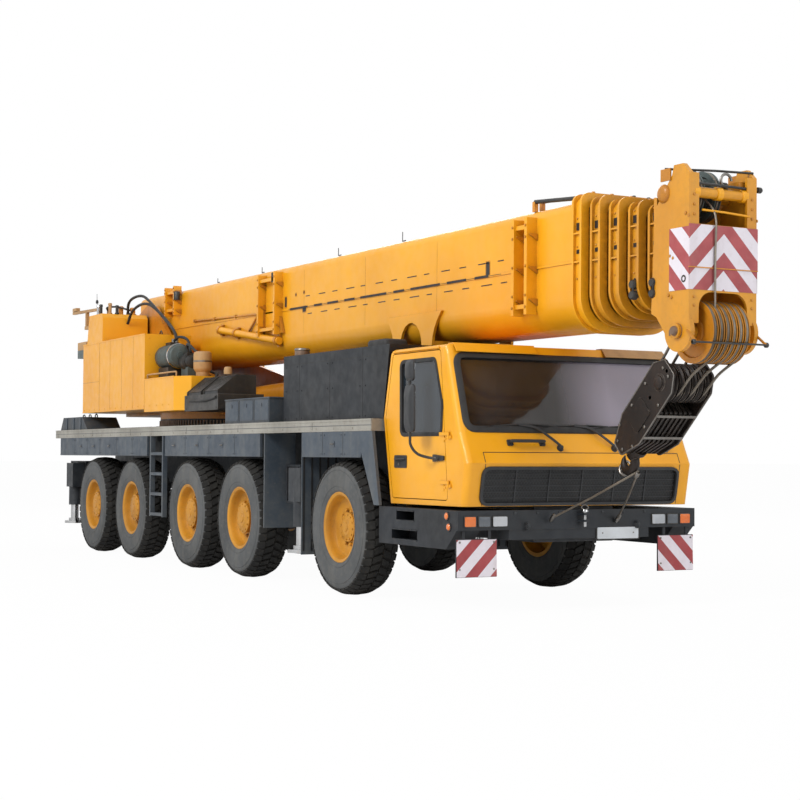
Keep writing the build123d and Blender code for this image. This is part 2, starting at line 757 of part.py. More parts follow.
def make_cab_glass():
    """Windscreen and rear pane, set in the shell's openings."""
    screen, run = front_plane(GLASS_FOOT, GLASS_TOP)
    with BuildPart() as glass:
        with BuildSketch(screen.offset(-CAB_WALL / 2)):
            width = 2 * (CAB_HALF - SCREEN_EDGE - SEAT_GAP)
            RectangleRounded(width, run - SCREEN_TRIM - 2 * SEAT_GAP, SCREEN_ROUND - SEAT_GAP)
        extrude(amount=PANE)
        y = 800 - SEAT_GAP
        z0, z1 = CAB_WAIST + 60 + SEAT_GAP, CAB_ROOF - 130 - SEAT_GAP
        slope = (CAB_REAR - CAB_WAIST_REAR) / (CAB_ROOF - CAB_WAIST)
        x0 = CAB_WAIST_REAR + (z0 - CAB_WAIST) * slope + CAB_WALL / 2
        x1 = CAB_WAIST_REAR + (z1 - CAB_WAIST) * slope + CAB_WALL / 2
        side_plate(((x0, z0), (x1, z1), (x1 + PANE, z1), (x0 + PANE, z0)), -y, y)
    return glass.part


WINDOW = ((1110.0, 1600.0), (1100.0, 2300.0), (1770.0, 2300.0), (1905.0, 1880.0), (1890.0, 1600.0))


def make_door(side):
    """Door panel with its window cut, and the pane in it."""
    out, back = CAB_HALF, CAB_HALF - DOOR_THICK
    with BuildPart() as door:
        rounded_plate(door_outline(DOOR_GAP), DOOR_ROUND, *span(side, back, out))
        rounded_plate(WINDOW, WINDOW_ROUND, *span(side, back - 1, out + 1), mode=Mode.SUBTRACT)
        for z in HINGE_HEIGHTS:
            low, high = z + HINGE_LENGTH / 2, z + HINGE_LENGTH
            y = out + HINGE_OUT
            post(HINGE_X, side * y, HINGE_R, low, high)
            block(HINGE_X - 170, HINGE_X, *span(side, out + 2, y), low, high)
            block(HINGE_X - 170, HINGE_X - 110, *span(side, out - 2, y), low, high)
            post(HINGE_X, side * y, HINGE_PIN_R + PIN_GAP, low - 1, high + 1, mode=Mode.SUBTRACT)
    with BuildPart() as pane:
        inset = tuple(
            (x + (SEAT_GAP if x < 1500 else -SEAT_GAP), z + (SEAT_GAP if z < 1700 else -SEAT_GAP))
            for x, z in WINDOW
        )
        rounded_plate(inset, WINDOW_ROUND - SEAT_GAP, *span(side, out - 26, out - 26 + PANE))
    with BuildPart() as mirror:
        block(1560, 1760, *span(side, out + 190, out + 250), 1620, 2060)
        block(1560, 1760, *span(side, out + 190, out + 250), 2085, 2290)
        block(1650, 1680, *span(side, out + 160, out + 190), 1480, 2290)
        block(1650, 1680, *span(side, out + SEAT_GAP, out + 190), 1480, 1510)
    return door.part, pane.part, mirror.part


def make_bumper():
    """Front bumper with the towing jaw, the side steps and the hanging marker boards."""
    with BuildPart() as bumper:
        plan_plate(
            (
                (BUMPER_FRONT, -BUMPER_HALF), (BUMPER_FRONT, BUMPER_HALF),
                (STEP_REAR, BUMPER_HALF), (STEP_REAR, FRAME_HALF + 260),
                (BUMPER_FRONT - 420, FRAME_HALF + 260), (BUMPER_FRONT - 120, FRAME_HALF),
                (BUMPER_FRONT - 120, -FRAME_HALF), (BUMPER_FRONT - 420, -FRAME_HALF - 260),
                (STEP_REAR, -FRAME_HALF - 260), (STEP_REAR, -BUMPER_HALF),
            ),
            BUMPER_BOTTOM,
            BUMPER_TOP,
        )
        half = BUMPER_HALF - BOARD_WIDTH - 60
        plan_plate(
            (
                (BUMPER_FRONT - 10, -half + 60), (BUMPER_FRONT - 10, half - 60),
                (BUMPER_FRONT - 115, half), (BUMPER_FRONT - 115, -half),
            ),
            BUMPER_MIDDLE,
            BUMPER_BOTTOM + 1,
        )
        for low in (JAW_Z - JAW_GAP / 2 - JAW_PLATE, JAW_Z + JAW_GAP / 2):
            plan_plate(
                (
                    (BUMPER_FRONT - 1, -JAW_HALF), (BUMPER_FRONT - 1, JAW_HALF),
                    (BUMPER_FRONT + JAW_REACH, JAW_HALF - 22), (BUMPER_FRONT + JAW_REACH, 22 - JAW_HALF),
                ),
                low,
                low + JAW_PLATE,
            )
        post(
            BUMPER_FRONT + JAW_REACH - 36, 0, JAW_PIN_R,
            JAW_Z - JAW_GAP, JAW_Z + JAW_GAP, mode=Mode.SUBTRACT,
        )
        for _, side in SIDES:
            y0, y1 = span(side, BUMPER_HALF - STEP_DEPTH, BUMPER_HALF)
            side_plate(
                (
                    (STEP_REAR, STEP_BOTTOM), (STEP_FRONT, STEP_BOTTOM),
                    (BUMPER_FRONT - 20, BUMPER_BOTTOM + 1), (STEP_REAR, BUMPER_BOTTOM + 1),
                ),
                y0,
                y1,
            )
            y0, y1 = span(side, BUMPER_HALF - STEP_DEPTH + 50, BUMPER_HALF + 1)
            for x0, x1, z0, z1 in ((1150, 1500, 800, 890), (1060, 1560, 620, 720)):
                block(x0, x1, y0, y1, z0, z1, mode=Mode.SUBTRACT)
            y0, y1 = span(side, BUMPER_HALF - BOARD_WIDTH, BUMPER_HALF)
            x0 = BUMPER_FRONT - 40
            block(x0, x0 + BOARD_PLATE, y0, y1, BOARD_TOP - BOARD_HEIGHT, BOARD_TOP)
            for y in (BUMPER_HALF - BOARD_WIDTH + 60, BUMPER_HALF - 90):
                block(x0, x0 + BOARD_PLATE, *span(side, y, y + 30), BOARD_TOP - 1, BUMPER_BOTTOM + 1)
    return bumper.part


def make_lamps():
    """Headlamp and indicator clusters in the bumper's face."""
    with BuildPart() as lamps:
        for _, side in SIDES:
            for near, far in ((60, 185), (205, 335), (355, 515)):
                y0, y1 = span(side, BUMPER_HALF - near, BUMPER_HALF - far)
                block(BUMPER_FRONT + SEAT_GAP, BUMPER_FRONT + 14, y0, y1, LAMP_Z - 50, LAMP_Z + 50)
    return lamps.part


def make_seats():
    """Driver's and mate's seats."""
    floor = CAB_FLOOR + CAB_WALL + SEAT_GAP
    with BuildPart() as seats:
        for y in (-720, 720):
            side_plate(
                (
                    (1060, floor + 330), (1560, floor + 360), (1560, floor + 490), (1230, floor + 470),
                    (1110, floor + 1080), (990, floor + 1060),
                ),
                y - 240,
                y + 240,
            )
            block(1160, 1440, y - 150, y + 150, floor, floor + 345)
    return seats.part


def make_dashboard():
    """Dashboard with the steering column and wheel on the left."""
    floor = CAB_FLOOR + CAB_WALL + SEAT_GAP
    half = CAB_HALF - CAB_WALL - 120
    with BuildPart() as dash:
        side_plate(
            (
                (1960, floor), (2200, floor), (2240, 1330), (2150, 1540),
                (1960, 1500), (1900, 1330), (2020, 1240),
            ),
            -half,
            half,
        )
        with BuildSketch(Plane((1800, 720, 1560), x_dir=(0, 1, 0), z_dir=(0.5, 0, 0.866))):
            Circle(230)
            Circle(200, mode=Mode.SUBTRACT)
            Rectangle(420, 40)
            Circle(60)
        extrude(amount=26)
        side_plate(((1790, 1590), (1830, 1560), (1990, 1330), (1950, 1310)), 690, 750)
    return dash.part


# Superstructure

def make_superstructure():
    """Turntable, cheek plates for the boom's pivot and the cylinder's foot."""
    cheek = (
        (BASE_ENDS[0], FLOOR_TOP - 5),
        (-7000.0, FLOOR_TOP - 5),
        (-6600.0, BASE_TOP - 40),
        (-5000.0, BASE_TOP - 40),
        (-5000.0, 2200.0),
        (-5500.0, 2480.0),
        (-6600.0, 2700.0),
        (-7700.0, 3560.0),
        (-8000.0, 3600.0),
        (-8560.0, 3420.0),
        (BASE_ENDS[0], 3000.0),
    )
    with BuildPart() as frame:
        post(SLEW_X, 0, RING_R, BASE_BOTTOM, BASE_TOP)
        block(*BASE_ENDS, -HOUSE_INNER, HOUSE_INNER, BASE_TOP - 4, FLOOR_TOP)
        x, z = FOOT_PIN
        gap = FOOT_HALF + RUNNING_GAP
        block(x - EYE_R - 60, x + 1300, -gap, gap, z - BARREL_R - 20, z + EYE_R, mode=Mode.SUBTRACT)
        for _, side in SIDES:
            side_plate(cheek, *span(side, CHEEK_Y, CHEEK_Y + CHEEK_PLATE))
        for _, side in SIDES:
            cross_bar(PIVOT_X, PIVOT_Z, PIVOT_R + 70, *span(side, CHEEK_Y, CHEEK_Y + CHEEK_PLATE + 30))
            cross_bar(
                PIVOT_X, PIVOT_Z, PIVOT_R + PIN_GAP,
                *span(side, CHEEK_Y - 1, CHEEK_Y + CHEEK_PLATE + 31), mode=Mode.SUBTRACT,
            )
            side_plate(
                ((x - 260, BASE_TOP - 20), (x + 260, BASE_TOP - 20), (x + 130, z + 90), (x - 130, z + 90)),
                *span(side, gap, gap + FOOT_LUG),
            )
        cross_bar(x, z, EYE_PIN_R, -gap - FOOT_LUG, gap + FOOT_LUG)
    return frame.part


def make_machinery_house():
    """Tall housing on the right with the low box ahead of it, its outer corner cut off."""
    inner = HOUSE_INNER + SEAT_GAP
    back, across = STEP_BOX_FACET
    with BuildPart() as house:
        block(WEIGHT_FRONT + 6, HOUSE_FRONT, -HOUSE_HALF, -inner, HOUSE_BOTTOM, HOUSE_TOP)
        plan_plate(
            (
                (HOUSE_FRONT - 1, -HOUSE_HALF), (STEP_BOX_FRONT - back, -HOUSE_HALF),
                (STEP_BOX_FRONT, across - HOUSE_HALF), (STEP_BOX_FRONT, -inner), (HOUSE_FRONT - 1, -inner),
            ),
            BASE_TOP + SEAT_GAP,
            STEP_BOX_TOP,
        )
    return house.part


def make_counterweight():
    """Slabs across the tail, open in the middle for the boom."""
    with BuildPart() as weight:
        block(HOUSE_REAR, WEIGHT_FRONT, -HOUSE_HALF, HOUSE_HALF, HOUSE_BOTTOM, HOUSE_TOP)
        for _, side in SIDES:
            side_plate(
                (
                    (HUMP_ENDS[0], HOUSE_TOP - 1), (WEIGHT_FRONT, HOUSE_TOP - 1),
                    (WEIGHT_FRONT, HOUSE_TOP + SEAT_GAP), (HUMP_ENDS[1], HOUSE_TOP + SEAT_GAP),
                    (HUMP_ENDS[1], HUMP_TOP - 60), (HUMP_ENDS[1] - 60, HUMP_TOP),
                    (HUMP_ENDS[0] + HUMP_LEAN, HUMP_TOP),
                ),
                *span(side, HOUSE_INNER - 20, HOUSE_HALF),
            )
        y = HOUSE_INNER - 40
        block(HOUSE_REAR - 1, WEIGHT_FRONT + 1, -y, y, HOUSE_BOTTOM - 1, HOUSE_TOP + 1, mode=Mode.SUBTRACT)
        block(HOUSE_REAR, BASE_ENDS[0] - 2, -HOUSE_INNER, HOUSE_INNER, HOUSE_BOTTOM, SLOT_FLOOR)
    return weight.part


def make_winch():
    """Hoist winch behind the counterweight, in its side plates."""
    low, high = WINCH_Z - 130, WINCH_Z + 130
    with BuildPart() as winch:
        cross_bar(WINCH_X, WINCH_Z, WINCH_R, -WINCH_HALF, WINCH_HALF)
        for _, side in SIDES:
            cross_bar(WINCH_X, WINCH_Z, WINCH_FLANGE_R, *span(side, WINCH_HALF - 1, WINCH_HALF + 40))
            cross_bar(WINCH_X, WINCH_Z, 90, *span(side, WINCH_HALF, HOUSE_INNER))
            side_plate(
                (
                    (HOUSE_REAR - SEAT_GAP, low), (HOUSE_REAR - SEAT_GAP, high - 105),
                    (WINCH_X, high), (WINCH_X - 270, high), (WINCH_X - 270, low),
                ),
                *span(side, HOUSE_INNER - 40, HOUSE_INNER - 40 + WINCH_PLATE),
            )
    return winch.part


def make_hydraulics():
    """Slewing pump, filter and the oil cooler beside the boom."""
    top = STEP_BOX_TOP + SEAT_GAP
    with BuildPart() as unit:
        with BuildSketch(Plane.YZ.offset(HOUSE_FRONT + SEAT_GAP)):
            with Locations((-1000, top + 300)):
                Circle(165)
        extrude(amount=540)
        block(HOUSE_FRONT + 60, HOUSE_FRONT + 460, -1080, -920, top, top + 150)
        block(-5480, -5200, -1000, -700, top, top + 330)
        post(-4950, -900, 120, top, top + 330)
        x = STEP_BOX_FRONT + SEAT_GAP
        block(x, x + 1130, 135 - BODY_HALF, -HOUSE_INNER - SEAT_GAP, HOUSE_BOTTOM - 60, HOUSE_BOTTOM + 140)
        low, high = HOUSE_BOTTOM + 139, STEP_BOX_TOP - 30
        for x in (STEP_BOX_FRONT + 50, STEP_BOX_FRONT + 610):
            outline = ((x, low), (x + 460, low), (x + 400, high), (x - 20, high))
            side_plate(outline, 155 - BODY_HALF, -HOUSE_INNER - 60)
    return unit.part


def make_operator_cab():
    """Crane driver's cabin on the left, its panes and its sliding door."""
    y0, y1 = CAB2_SIDES
    x0, x1 = CAB2_ENDS
    z0, z1 = CAB2_BOTTOM, CAB2_TOP
    wall = CAB2_WALL
    with BuildPart() as shell:
        outline = ((x0, z0), (x0, z1), (x1 - 330, z1), (x1, z1 - 420), (x1, z0 + 330), (x1 - 160, z0))
        inside = (
            (x0 + wall, z0 + wall), (x0 + wall, z1 - wall), (x1 - 350, z1 - wall),
            (x1 - wall, z1 - 430), (x1 - wall, z0 + 340), (x1 - 180, z0 + wall),
        )
        side_plate(outline, y0, y1)
        side_plate(inside, y0 + wall, y1 - wall, mode=Mode.SUBTRACT)
        side_plate(
            ((x1 + 1, z0 + 420), (x1 + 1, z1 - 480), (x1 - 100, z1 - 480), (x1 - 100, z0 + 420)),
            y0 + 80, y1 - 80, mode=Mode.SUBTRACT,
        )
        block(x0 + 900, x1 - 420, y1 - wall - 1, y1 + 1, z0 + 70, z1 - 90, mode=Mode.SUBTRACT)
        block(x0 + 300, x1 - 460, y0 - 1, y0 + wall + 1, z0 + 700, z1 - 140, mode=Mode.SUBTRACT)
        for low, high in ((z0 + 20, z0 + 68), (z1 - 88, z1 - 50)):
            block(x0 + 10, x1 - 400, y1 - 1, y1 + RUNNING_GAP - SEAT_GAP, low, high)
        middle = (y0 + y1) / 2
        block(x0 + 300, x0 + 560, middle - 120, middle + 120, z0 + wall - 1, z0 + 360)
        side_plate(
            (
                (x0 + 190, z0 + 350), (x0 + 700, z0 + 380), (x0 + 700, z0 + 490), (x0 + 330, z0 + 470),
                (x0 + 190, z0 + 1130), (x0 + 80, z0 + 1110),
            ),
            middle - 230,
            middle + 230,
        )
    with BuildPart() as glass:
        gap = SEAT_GAP
        block(x1 - 25, x1 - 25 + PANE, y0 + 80 + gap, y1 - 80 - gap, z0 + 420 + gap, z1 - 480 - gap)
        block(x0 + 300 + gap, x1 - 460 - gap, y0 + 20, y0 + 20 + PANE, z0 + 700 + gap, z1 - 140 - gap)
    with BuildPart() as door:
        block(x0 + 880, x1 - 400, y1 + RUNNING_GAP, y1 + RUNNING_GAP + 36, z0 + 50, z1 - 70)
        block(x0 + 960, x1 - 480, y1, y1 + 60, z0 + 700, z1 - 150, mode=Mode.SUBTRACT)
    return shell.part, glass.part, door.part


# Boom

def to_boom(x, z):
    """A point of the vehicle's side view, in the boom's own frame."""
    tilt = radians(NOSE_DOWN)
    dx, dz = x - PIVOT_X, z - PIVOT_Z
    return dx * cos(tilt) - dz * sin(tilt), dx * sin(tilt) + dz * cos(tilt)


def boom_face(index, grow=0.0):
    """Cross-section of one boom section: square above, round below, in the open sketch."""
    half = BOOM_HALF - BOOM_STEP * index + grow
    top = BOOM_TOP - BOOM_STEP * index + grow
    low = BOOM_BOTTOM + BOOM_STEP * index - grow
    under = LOWER_ROUND - BOOM_STEP * index / 2 + grow
    with BuildLine() as edge:
        Line((-half, low + under), (-half, top - UPPER_ROUND))
        RadiusArc((-half, top - UPPER_ROUND), (UPPER_ROUND - half, top), UPPER_ROUND)
        Line((UPPER_ROUND - half, top), (half - UPPER_ROUND, top))
        RadiusArc((half - UPPER_ROUND, top), (half, top - UPPER_ROUND), UPPER_ROUND)
        Line((half, top - UPPER_ROUND), (half, low + under))
        RadiusArc((half, low + under), (half - under, low), under)
        Line((half - under, low), (under - half, low))
        RadiusArc((under - half, low), (-half, low + under), under)
    make_face(edge.edges())


def make_section(index):
    """One telescopic section with the ribbed collar at its mouth, in the boom's frame."""
    front = COLLAR_X + COLLAR_PITCH * index
    back = front - COLLAR_WIDTH
    rear = BOOM_TAIL if index == 0 else SECTION_TAIL + SECTION_TAIL_STEP * index
    half = BOOM_HALF - BOOM_STEP * index
    top = BOOM_TOP - BOOM_STEP * index
    with BuildPart() as tube:
        with BuildSketch(Plane.YZ.offset(rear)):
            boom_face(index)
        extrude(amount=front - rear)
        with BuildSketch(Plane.YZ.offset(back)):
            boom_face(index, BAND_RISE)
        extrude(amount=COLLAR_WIDTH)
        for x in (back, front - RIB_WIDTH):
            with BuildSketch(Plane.YZ.offset(x)):
                boom_face(index, COLLAR_RISE)
            extrude(amount=RIB_WIDTH)
        for _, side in SIDES:
            for z in GUSSET_LEVELS:
                block(back, front, *span(side, half, half + COLLAR_RISE - 4), z, z + GUSSET)
        start = rear + 60 if index == 0 else rear - 1
        stop = front - 40 if index == SECTIONS else front + 1
        with BuildSketch(Plane.YZ.offset(start)):
            boom_face(index, -BOOM_WALL)
        extrude(amount=stop - start, mode=Mode.SUBTRACT)
        if index < SECTIONS:
            floor = BOOM_BOTTOM + BOOM_STEP * index + BOOM_WALL
            reach = BOOM_STEP - BOOM_WALL - SEAT_GAP
            block(front - PAD_LENGTH, front - 10, -PAD_HALF, PAD_HALF, floor - 1, floor + reach)
        if index > 0:
            reach = BOOM_STEP - BOOM_WALL - SEAT_GAP
            block(rear, rear + PAD_LENGTH, -PAD_HALF, PAD_HALF, top - 1, top + reach)
    return tube


def saddle_outline():
    """Arched plate with the two legs that the boom rests on, in the boom's frame."""
    foot = REST_TOP + REST_GAP
    (a, b), (c, d) = LEG_ENDS
    middle, reach = (b + c) / 2, (c - b) / 2
    arch = [
        (middle + reach * cos(radians(t)), foot + (SADDLE_ARCH - foot) * sin(radians(t)))
        for t in range(0, 181, 20)
    ]
    points = [(SADDLE_ENDS[0], SADDLE_TOP), (SADDLE_ENDS[1], SADDLE_TOP)]
    rise = SADDLE_TOP - foot
    points += [(d + (SADDLE_ENDS[1] - d) * t * t, foot + rise * t) for t in (0.75, 0.5, 0.25, 0.0)]
    points += arch
    points += [(a + (SADDLE_ENDS[0] - a) * t * t, foot + rise * t) for t in (0.0, 0.25, 0.5, 0.75)]
    return [to_boom(x, z) for x, z in points]


def make_boom_base():
    """Base section with its pivot pins, cylinder lugs, resting saddle and side brackets."""
    tube = make_section(0)
    foot = REST_TOP + REST_GAP
    out = -BOOM_HALF - BRACKET_OUT
    with BuildPart() as base:
        add(tube.part)
        for _, side in SIDES:
            cross_bar(0, 0, PIVOT_R, *span(side, BOOM_HALF - 2, CHEEK_Y + CHEEK_PLATE + 30))
            cross_bar(0, 0, PIVOT_R + 50, *span(side, BOOM_HALF - 2, CHEEK_Y - RUNNING_GAP))
            side_plate(
                (
                    (LUG_X - 760, BOOM_BOTTOM + 10), (LUG_X + 330, BOOM_BOTTOM + 10),
                    (LUG_X + LUG_R, LUG_Z - 60), (LUG_X + 90, LUG_Z - 140), (LUG_X - 90, LUG_Z - 140),
                    (LUG_X - LUG_R, LUG_Z - 60),
                ),
                *span(side, LUG_GAP, LUG_GAP + LUG_PLATE),
            )
            side_plate(saddle_outline(), *span(side, BOOM_HALF - 2, BOOM_HALF - 2 + SADDLE_PLATE))
            y0, y1 = span(side, BOOM_HALF - 1, BOOM_HALF + SEAM_RISE)
            block(-3 * BOOM_TAIL, COLLAR_X - COLLAR_WIDTH + 1, y0, y1, SEAM_Z, SEAM_Z + 2 * SEAM_RISE)
        for x0, x1 in LEG_ENDS:
            low, high = to_boom(x0, foot), to_boom(x1, foot)
            side_plate(
                (low, high, (high[0], BOOM_BOTTOM + 5), (low[0], BOOM_BOTTOM + 5)),
                1 - BOOM_HALF,
                BOOM_HALF - 1,
            )
        for posts, (low, high) in BRACKETS:
            for x in posts:
                lx, lz = to_boom(x, low)
                block(
                    lx - BRACKET_POST / 2, lx + BRACKET_POST / 2, out, 2 - BOOM_HALF,
                    lz, lz + high - low,
                )
            (x0, z0), (x1, _) = to_boom(posts[0], low), to_boom(posts[1], low)
            for z in (z0 + 60, z0 + high - low - 100):
                block(x0, x1, out + 20, 2 - BOOM_HALF, z, z + 40)
    return base.part


def make_cylinder():
    """Luffing cylinder lying under the boom: barrel with its foot eye, rod with its head eye."""
    tilt = radians(NOSE_DOWN)
    head_x = PIVOT_X + LUG_X * cos(tilt) + LUG_Z * sin(tilt)
    head_z = PIVOT_Z - LUG_X * sin(tilt) + LUG_Z * cos(tilt)
    run = hypot(head_x - FOOT_PIN[0], head_z - FOOT_PIN[1])
    rise = degrees(atan2(head_z - FOOT_PIN[1], head_x - FOOT_PIN[0]))
    frame = Location((FOOT_PIN[0], 0, FOOT_PIN[1]), (0, -rise, 0))
    length = run - BARREL_SHORT
    start = EYE_R + BORE_FLOOR + PISTON_GAP
    with BuildPart() as barrel:
        with BuildSketch(Plane.YZ.offset(EYE_R - 30)):
            Circle(BARREL_R)
        extrude(amount=length - EYE_R + 30)
        cross_bar(0, 0, EYE_R, -FOOT_HALF, FOOT_HALF)
        with BuildSketch(Plane.YZ.offset(EYE_R + BORE_FLOOR)):
            Circle(BARREL_BORE)
        extrude(amount=length - EYE_R - BORE_FLOOR - BARREL_HEAD, mode=Mode.SUBTRACT)
        with BuildSketch(Plane.YZ.offset(length - BARREL_HEAD - 1)):
            Circle(ROD_RAM_R + PIN_GAP)
        extrude(amount=BARREL_HEAD + 2, mode=Mode.SUBTRACT)
        cross_bar(0, 0, EYE_PIN_R + PIN_GAP, -FOOT_HALF - 1, FOOT_HALF + 1, mode=Mode.SUBTRACT)
    with BuildPart() as rod:
        with BuildSketch(Plane.YZ.offset(start)):
            Circle(ROD_RAM_R)
        extrude(amount=run - start - EYE_R + 30)
        with BuildSketch(Plane.YZ.offset(start)):
            Circle(BARREL_BORE - PIN_GAP)
        extrude(amount=PISTON)
        cross_bar(run, 0, EYE_R, -EYE_HALF, EYE_HALF)
        cross_bar(run, 0, EYE_PIN_R, -EYE_HALF - 1, EYE_HALF + 1, mode=Mode.SUBTRACT)
    return barrel.part, rod.part, frame, run


def make_boom_tip():
    """Innermost section with the head: two flanged cheeks, an arched face and sheave pins."""
    tube = make_section(SECTIONS)
    x0, _ = to_boom(HEAD_REAR, PIVOT_Z)
    x1, z1 = to_boom(HEAD_FRONT, HEAD_TOP)
    sx, sz = to_boom(SHEAVE_X, SHEAVE_Z)
    tx, tz = to_boom(TOP_SHEAVE_X, TOP_SHEAVE_Z)
    low, high = (to_boom(HEAD_FRONT, z)[1] for z in FACE_ENDS)
    arch = to_boom(HEAD_FRONT, ARCH_TOP)[1]
    opening = HEAD_HALF - HEAD_FLANGE
    with BuildPart() as tip:
        add(tube.part)
        for _, side in SIDES:
            y0, y1 = span(side, HEAD_HALF - HEAD_PLATE, HEAD_HALF)
            side_plate(
                (
                    (x0 - 90, 300), (x0, z1 - 240), (x0 + 140, z1 - 80), (x0 + 165, z1), (x0 + 285, z1),
                    (x1, z1 - 80), (x1, sz + 60), (sx + 150, sz - 60), (sx - 130, sz - 60),
                    (x0 - 60, sz + 130), (x0 - 130, -560),
                ),
                y0, y1,
            )
            cross_bar(sx, sz, CHEEK_ROUND, y0, y1)
            block(x1 - HEAD_FACE, x1, *span(side, opening, HEAD_HALF - 1), sz + 60, z1 - 80)
        block(x0 - 100, x0 - 60, -HEAD_HALF, HEAD_HALF, -560, 400)
        block(x1 - HEAD_FACE, x1, 1 - HEAD_HALF, HEAD_HALF - 1, low, high)
        with BuildSketch(Plane.YZ.offset(x1 - HEAD_FACE - 1)):
            with Locations((0, arch - 1.5 * ARCH_ROUND)):
                RectangleRounded(2 * opening, 3 * ARCH_ROUND, ARCH_ROUND - 1)
        extrude(amount=HEAD_FACE + 2, mode=Mode.SUBTRACT)
        gap = 165
        block(tx - TOP_SHEAVE_R - 12, x0 + 60, -gap, gap, tz - TOP_SHEAVE_R - 12, tz + 90, mode=Mode.SUBTRACT)
        cross_bar(*to_boom(*TIE_AT), TIE_R, 1 - HEAD_HALF, HEAD_HALF - 1)
        cross_bar(sx, sz, 60, -HEAD_HALF - 30, HEAD_HALF + 30)
        cross_bar(tx, tz, 50, -HEAD_HALF - 20, HEAD_HALF + 20)
    return tip.part


def make_sheaves():
    """Sheaves of the boom head, on their two pins."""
    sx, sz = to_boom(SHEAVE_X, SHEAVE_Z)
    tx, tz = to_boom(TOP_SHEAVE_X, TOP_SHEAVE_Z)
    with BuildPart() as sheaves:
        for n in range(SHEAVE_COUNT):
            y = (n - (SHEAVE_COUNT - 1) / 2) * SHEAVE_PITCH
            cross_bar(sx, sz, SHEAVE_R, y - SHEAVE_WIDTH / 2, y + SHEAVE_WIDTH / 2)
            cross_bar(sx, sz, 60 + SEAT_GAP, y - 40, y + 40, mode=Mode.SUBTRACT)
        for y in (-150, 20):
            cross_bar(tx, tz, TOP_SHEAVE_R, y, y + 60)
            cross_bar(tx, tz, 50 + SEAT_GAP, y - 1, y + 61, mode=Mode.SUBTRACT)
    return sheaves.part


def make_hook_block():
    """Hook block lashed back towards the bumper, hung on six falls from the head sheaves."""
    half = BLOCK_WIDTH / 2
    depth = BLOCK_DEPTH / 2
    sheave_z = -BLOCK_START - BLOCK_SHEAVE_DROP
    under = sheave_z - BLOCK_SHEAVE_R
    with BuildPart() as hook:
        for _, side in SIDES:
            side_plate(
                (
                    (-depth + 90, -BLOCK_START), (depth - 90, -BLOCK_START), (depth, -BLOCK_START - 130),
                    (depth, -BLOCK_END + 260), (depth - 110, -BLOCK_END), (110 - depth, -BLOCK_END),
                    (-depth, -BLOCK_END + 260), (-depth, -BLOCK_START - 130),
                ),
                *span(side, half - BLOCK_PLATE, half),
            )
        side_plate(
            (
                (35 - depth, under - 30), (depth - 35, under - 30),
                (depth - 35, -BLOCK_END + 270), (depth - 130, -BLOCK_END + 20),
                (130 - depth, -BLOCK_END + 20), (35 - depth, -BLOCK_END + 270),
            ),
            1 + BLOCK_PLATE - half,
            half - BLOCK_PLATE - 1,
        )
        for y in (-half / 3, half / 3):
            side_plate(
                (
                    (20 - depth, under - 40), (depth - 20, under - 40),
                    (depth - 20, -BLOCK_END + 260), (depth - 120, -BLOCK_END + 10),
                    (120 - depth, -BLOCK_END + 10), (20 - depth, -BLOCK_END + 260),
                ),
                y - BLOCK_PLATE / 2,
                y + BLOCK_PLATE / 2,
            )
        cross_bar(0, sheave_z, 48, -half - 14, half + 14)
        for z in (under - 15, -BLOCK_START - 55):
            cross_bar(0, z, 22, 2 - half, half - 2)
        post(0, 0, 62, -BLOCK_END - 90, -BLOCK_END + 30)
        cross_bar(0, -BLOCK_END - 150, 105, -45, 45)
        cross_bar(34, -BLOCK_END - 136, 52, -46, 46, mode=Mode.SUBTRACT)
        for n in range(SHEAVE_COUNT):
            y = (n - (SHEAVE_COUNT - 1) / 2) * SHEAVE_PITCH
            end = 1 if n % 2 else -1
            cross_bar(0, sheave_z, BLOCK_SHEAVE_R, y - SHEAVE_WIDTH / 2, y + SHEAVE_WIDTH / 2)
            with BuildSketch(Plane((end * 240, y, -60), z_dir=(end * -0.3, 0, -1))) as fall:
                Circle(ROPE_R)
            extrude(fall.sketch, amount=420)
        cross_bar(0, 0, SHEAVE_R + SEAT_GAP, -half, half, mode=Mode.SUBTRACT)
    return hook.part


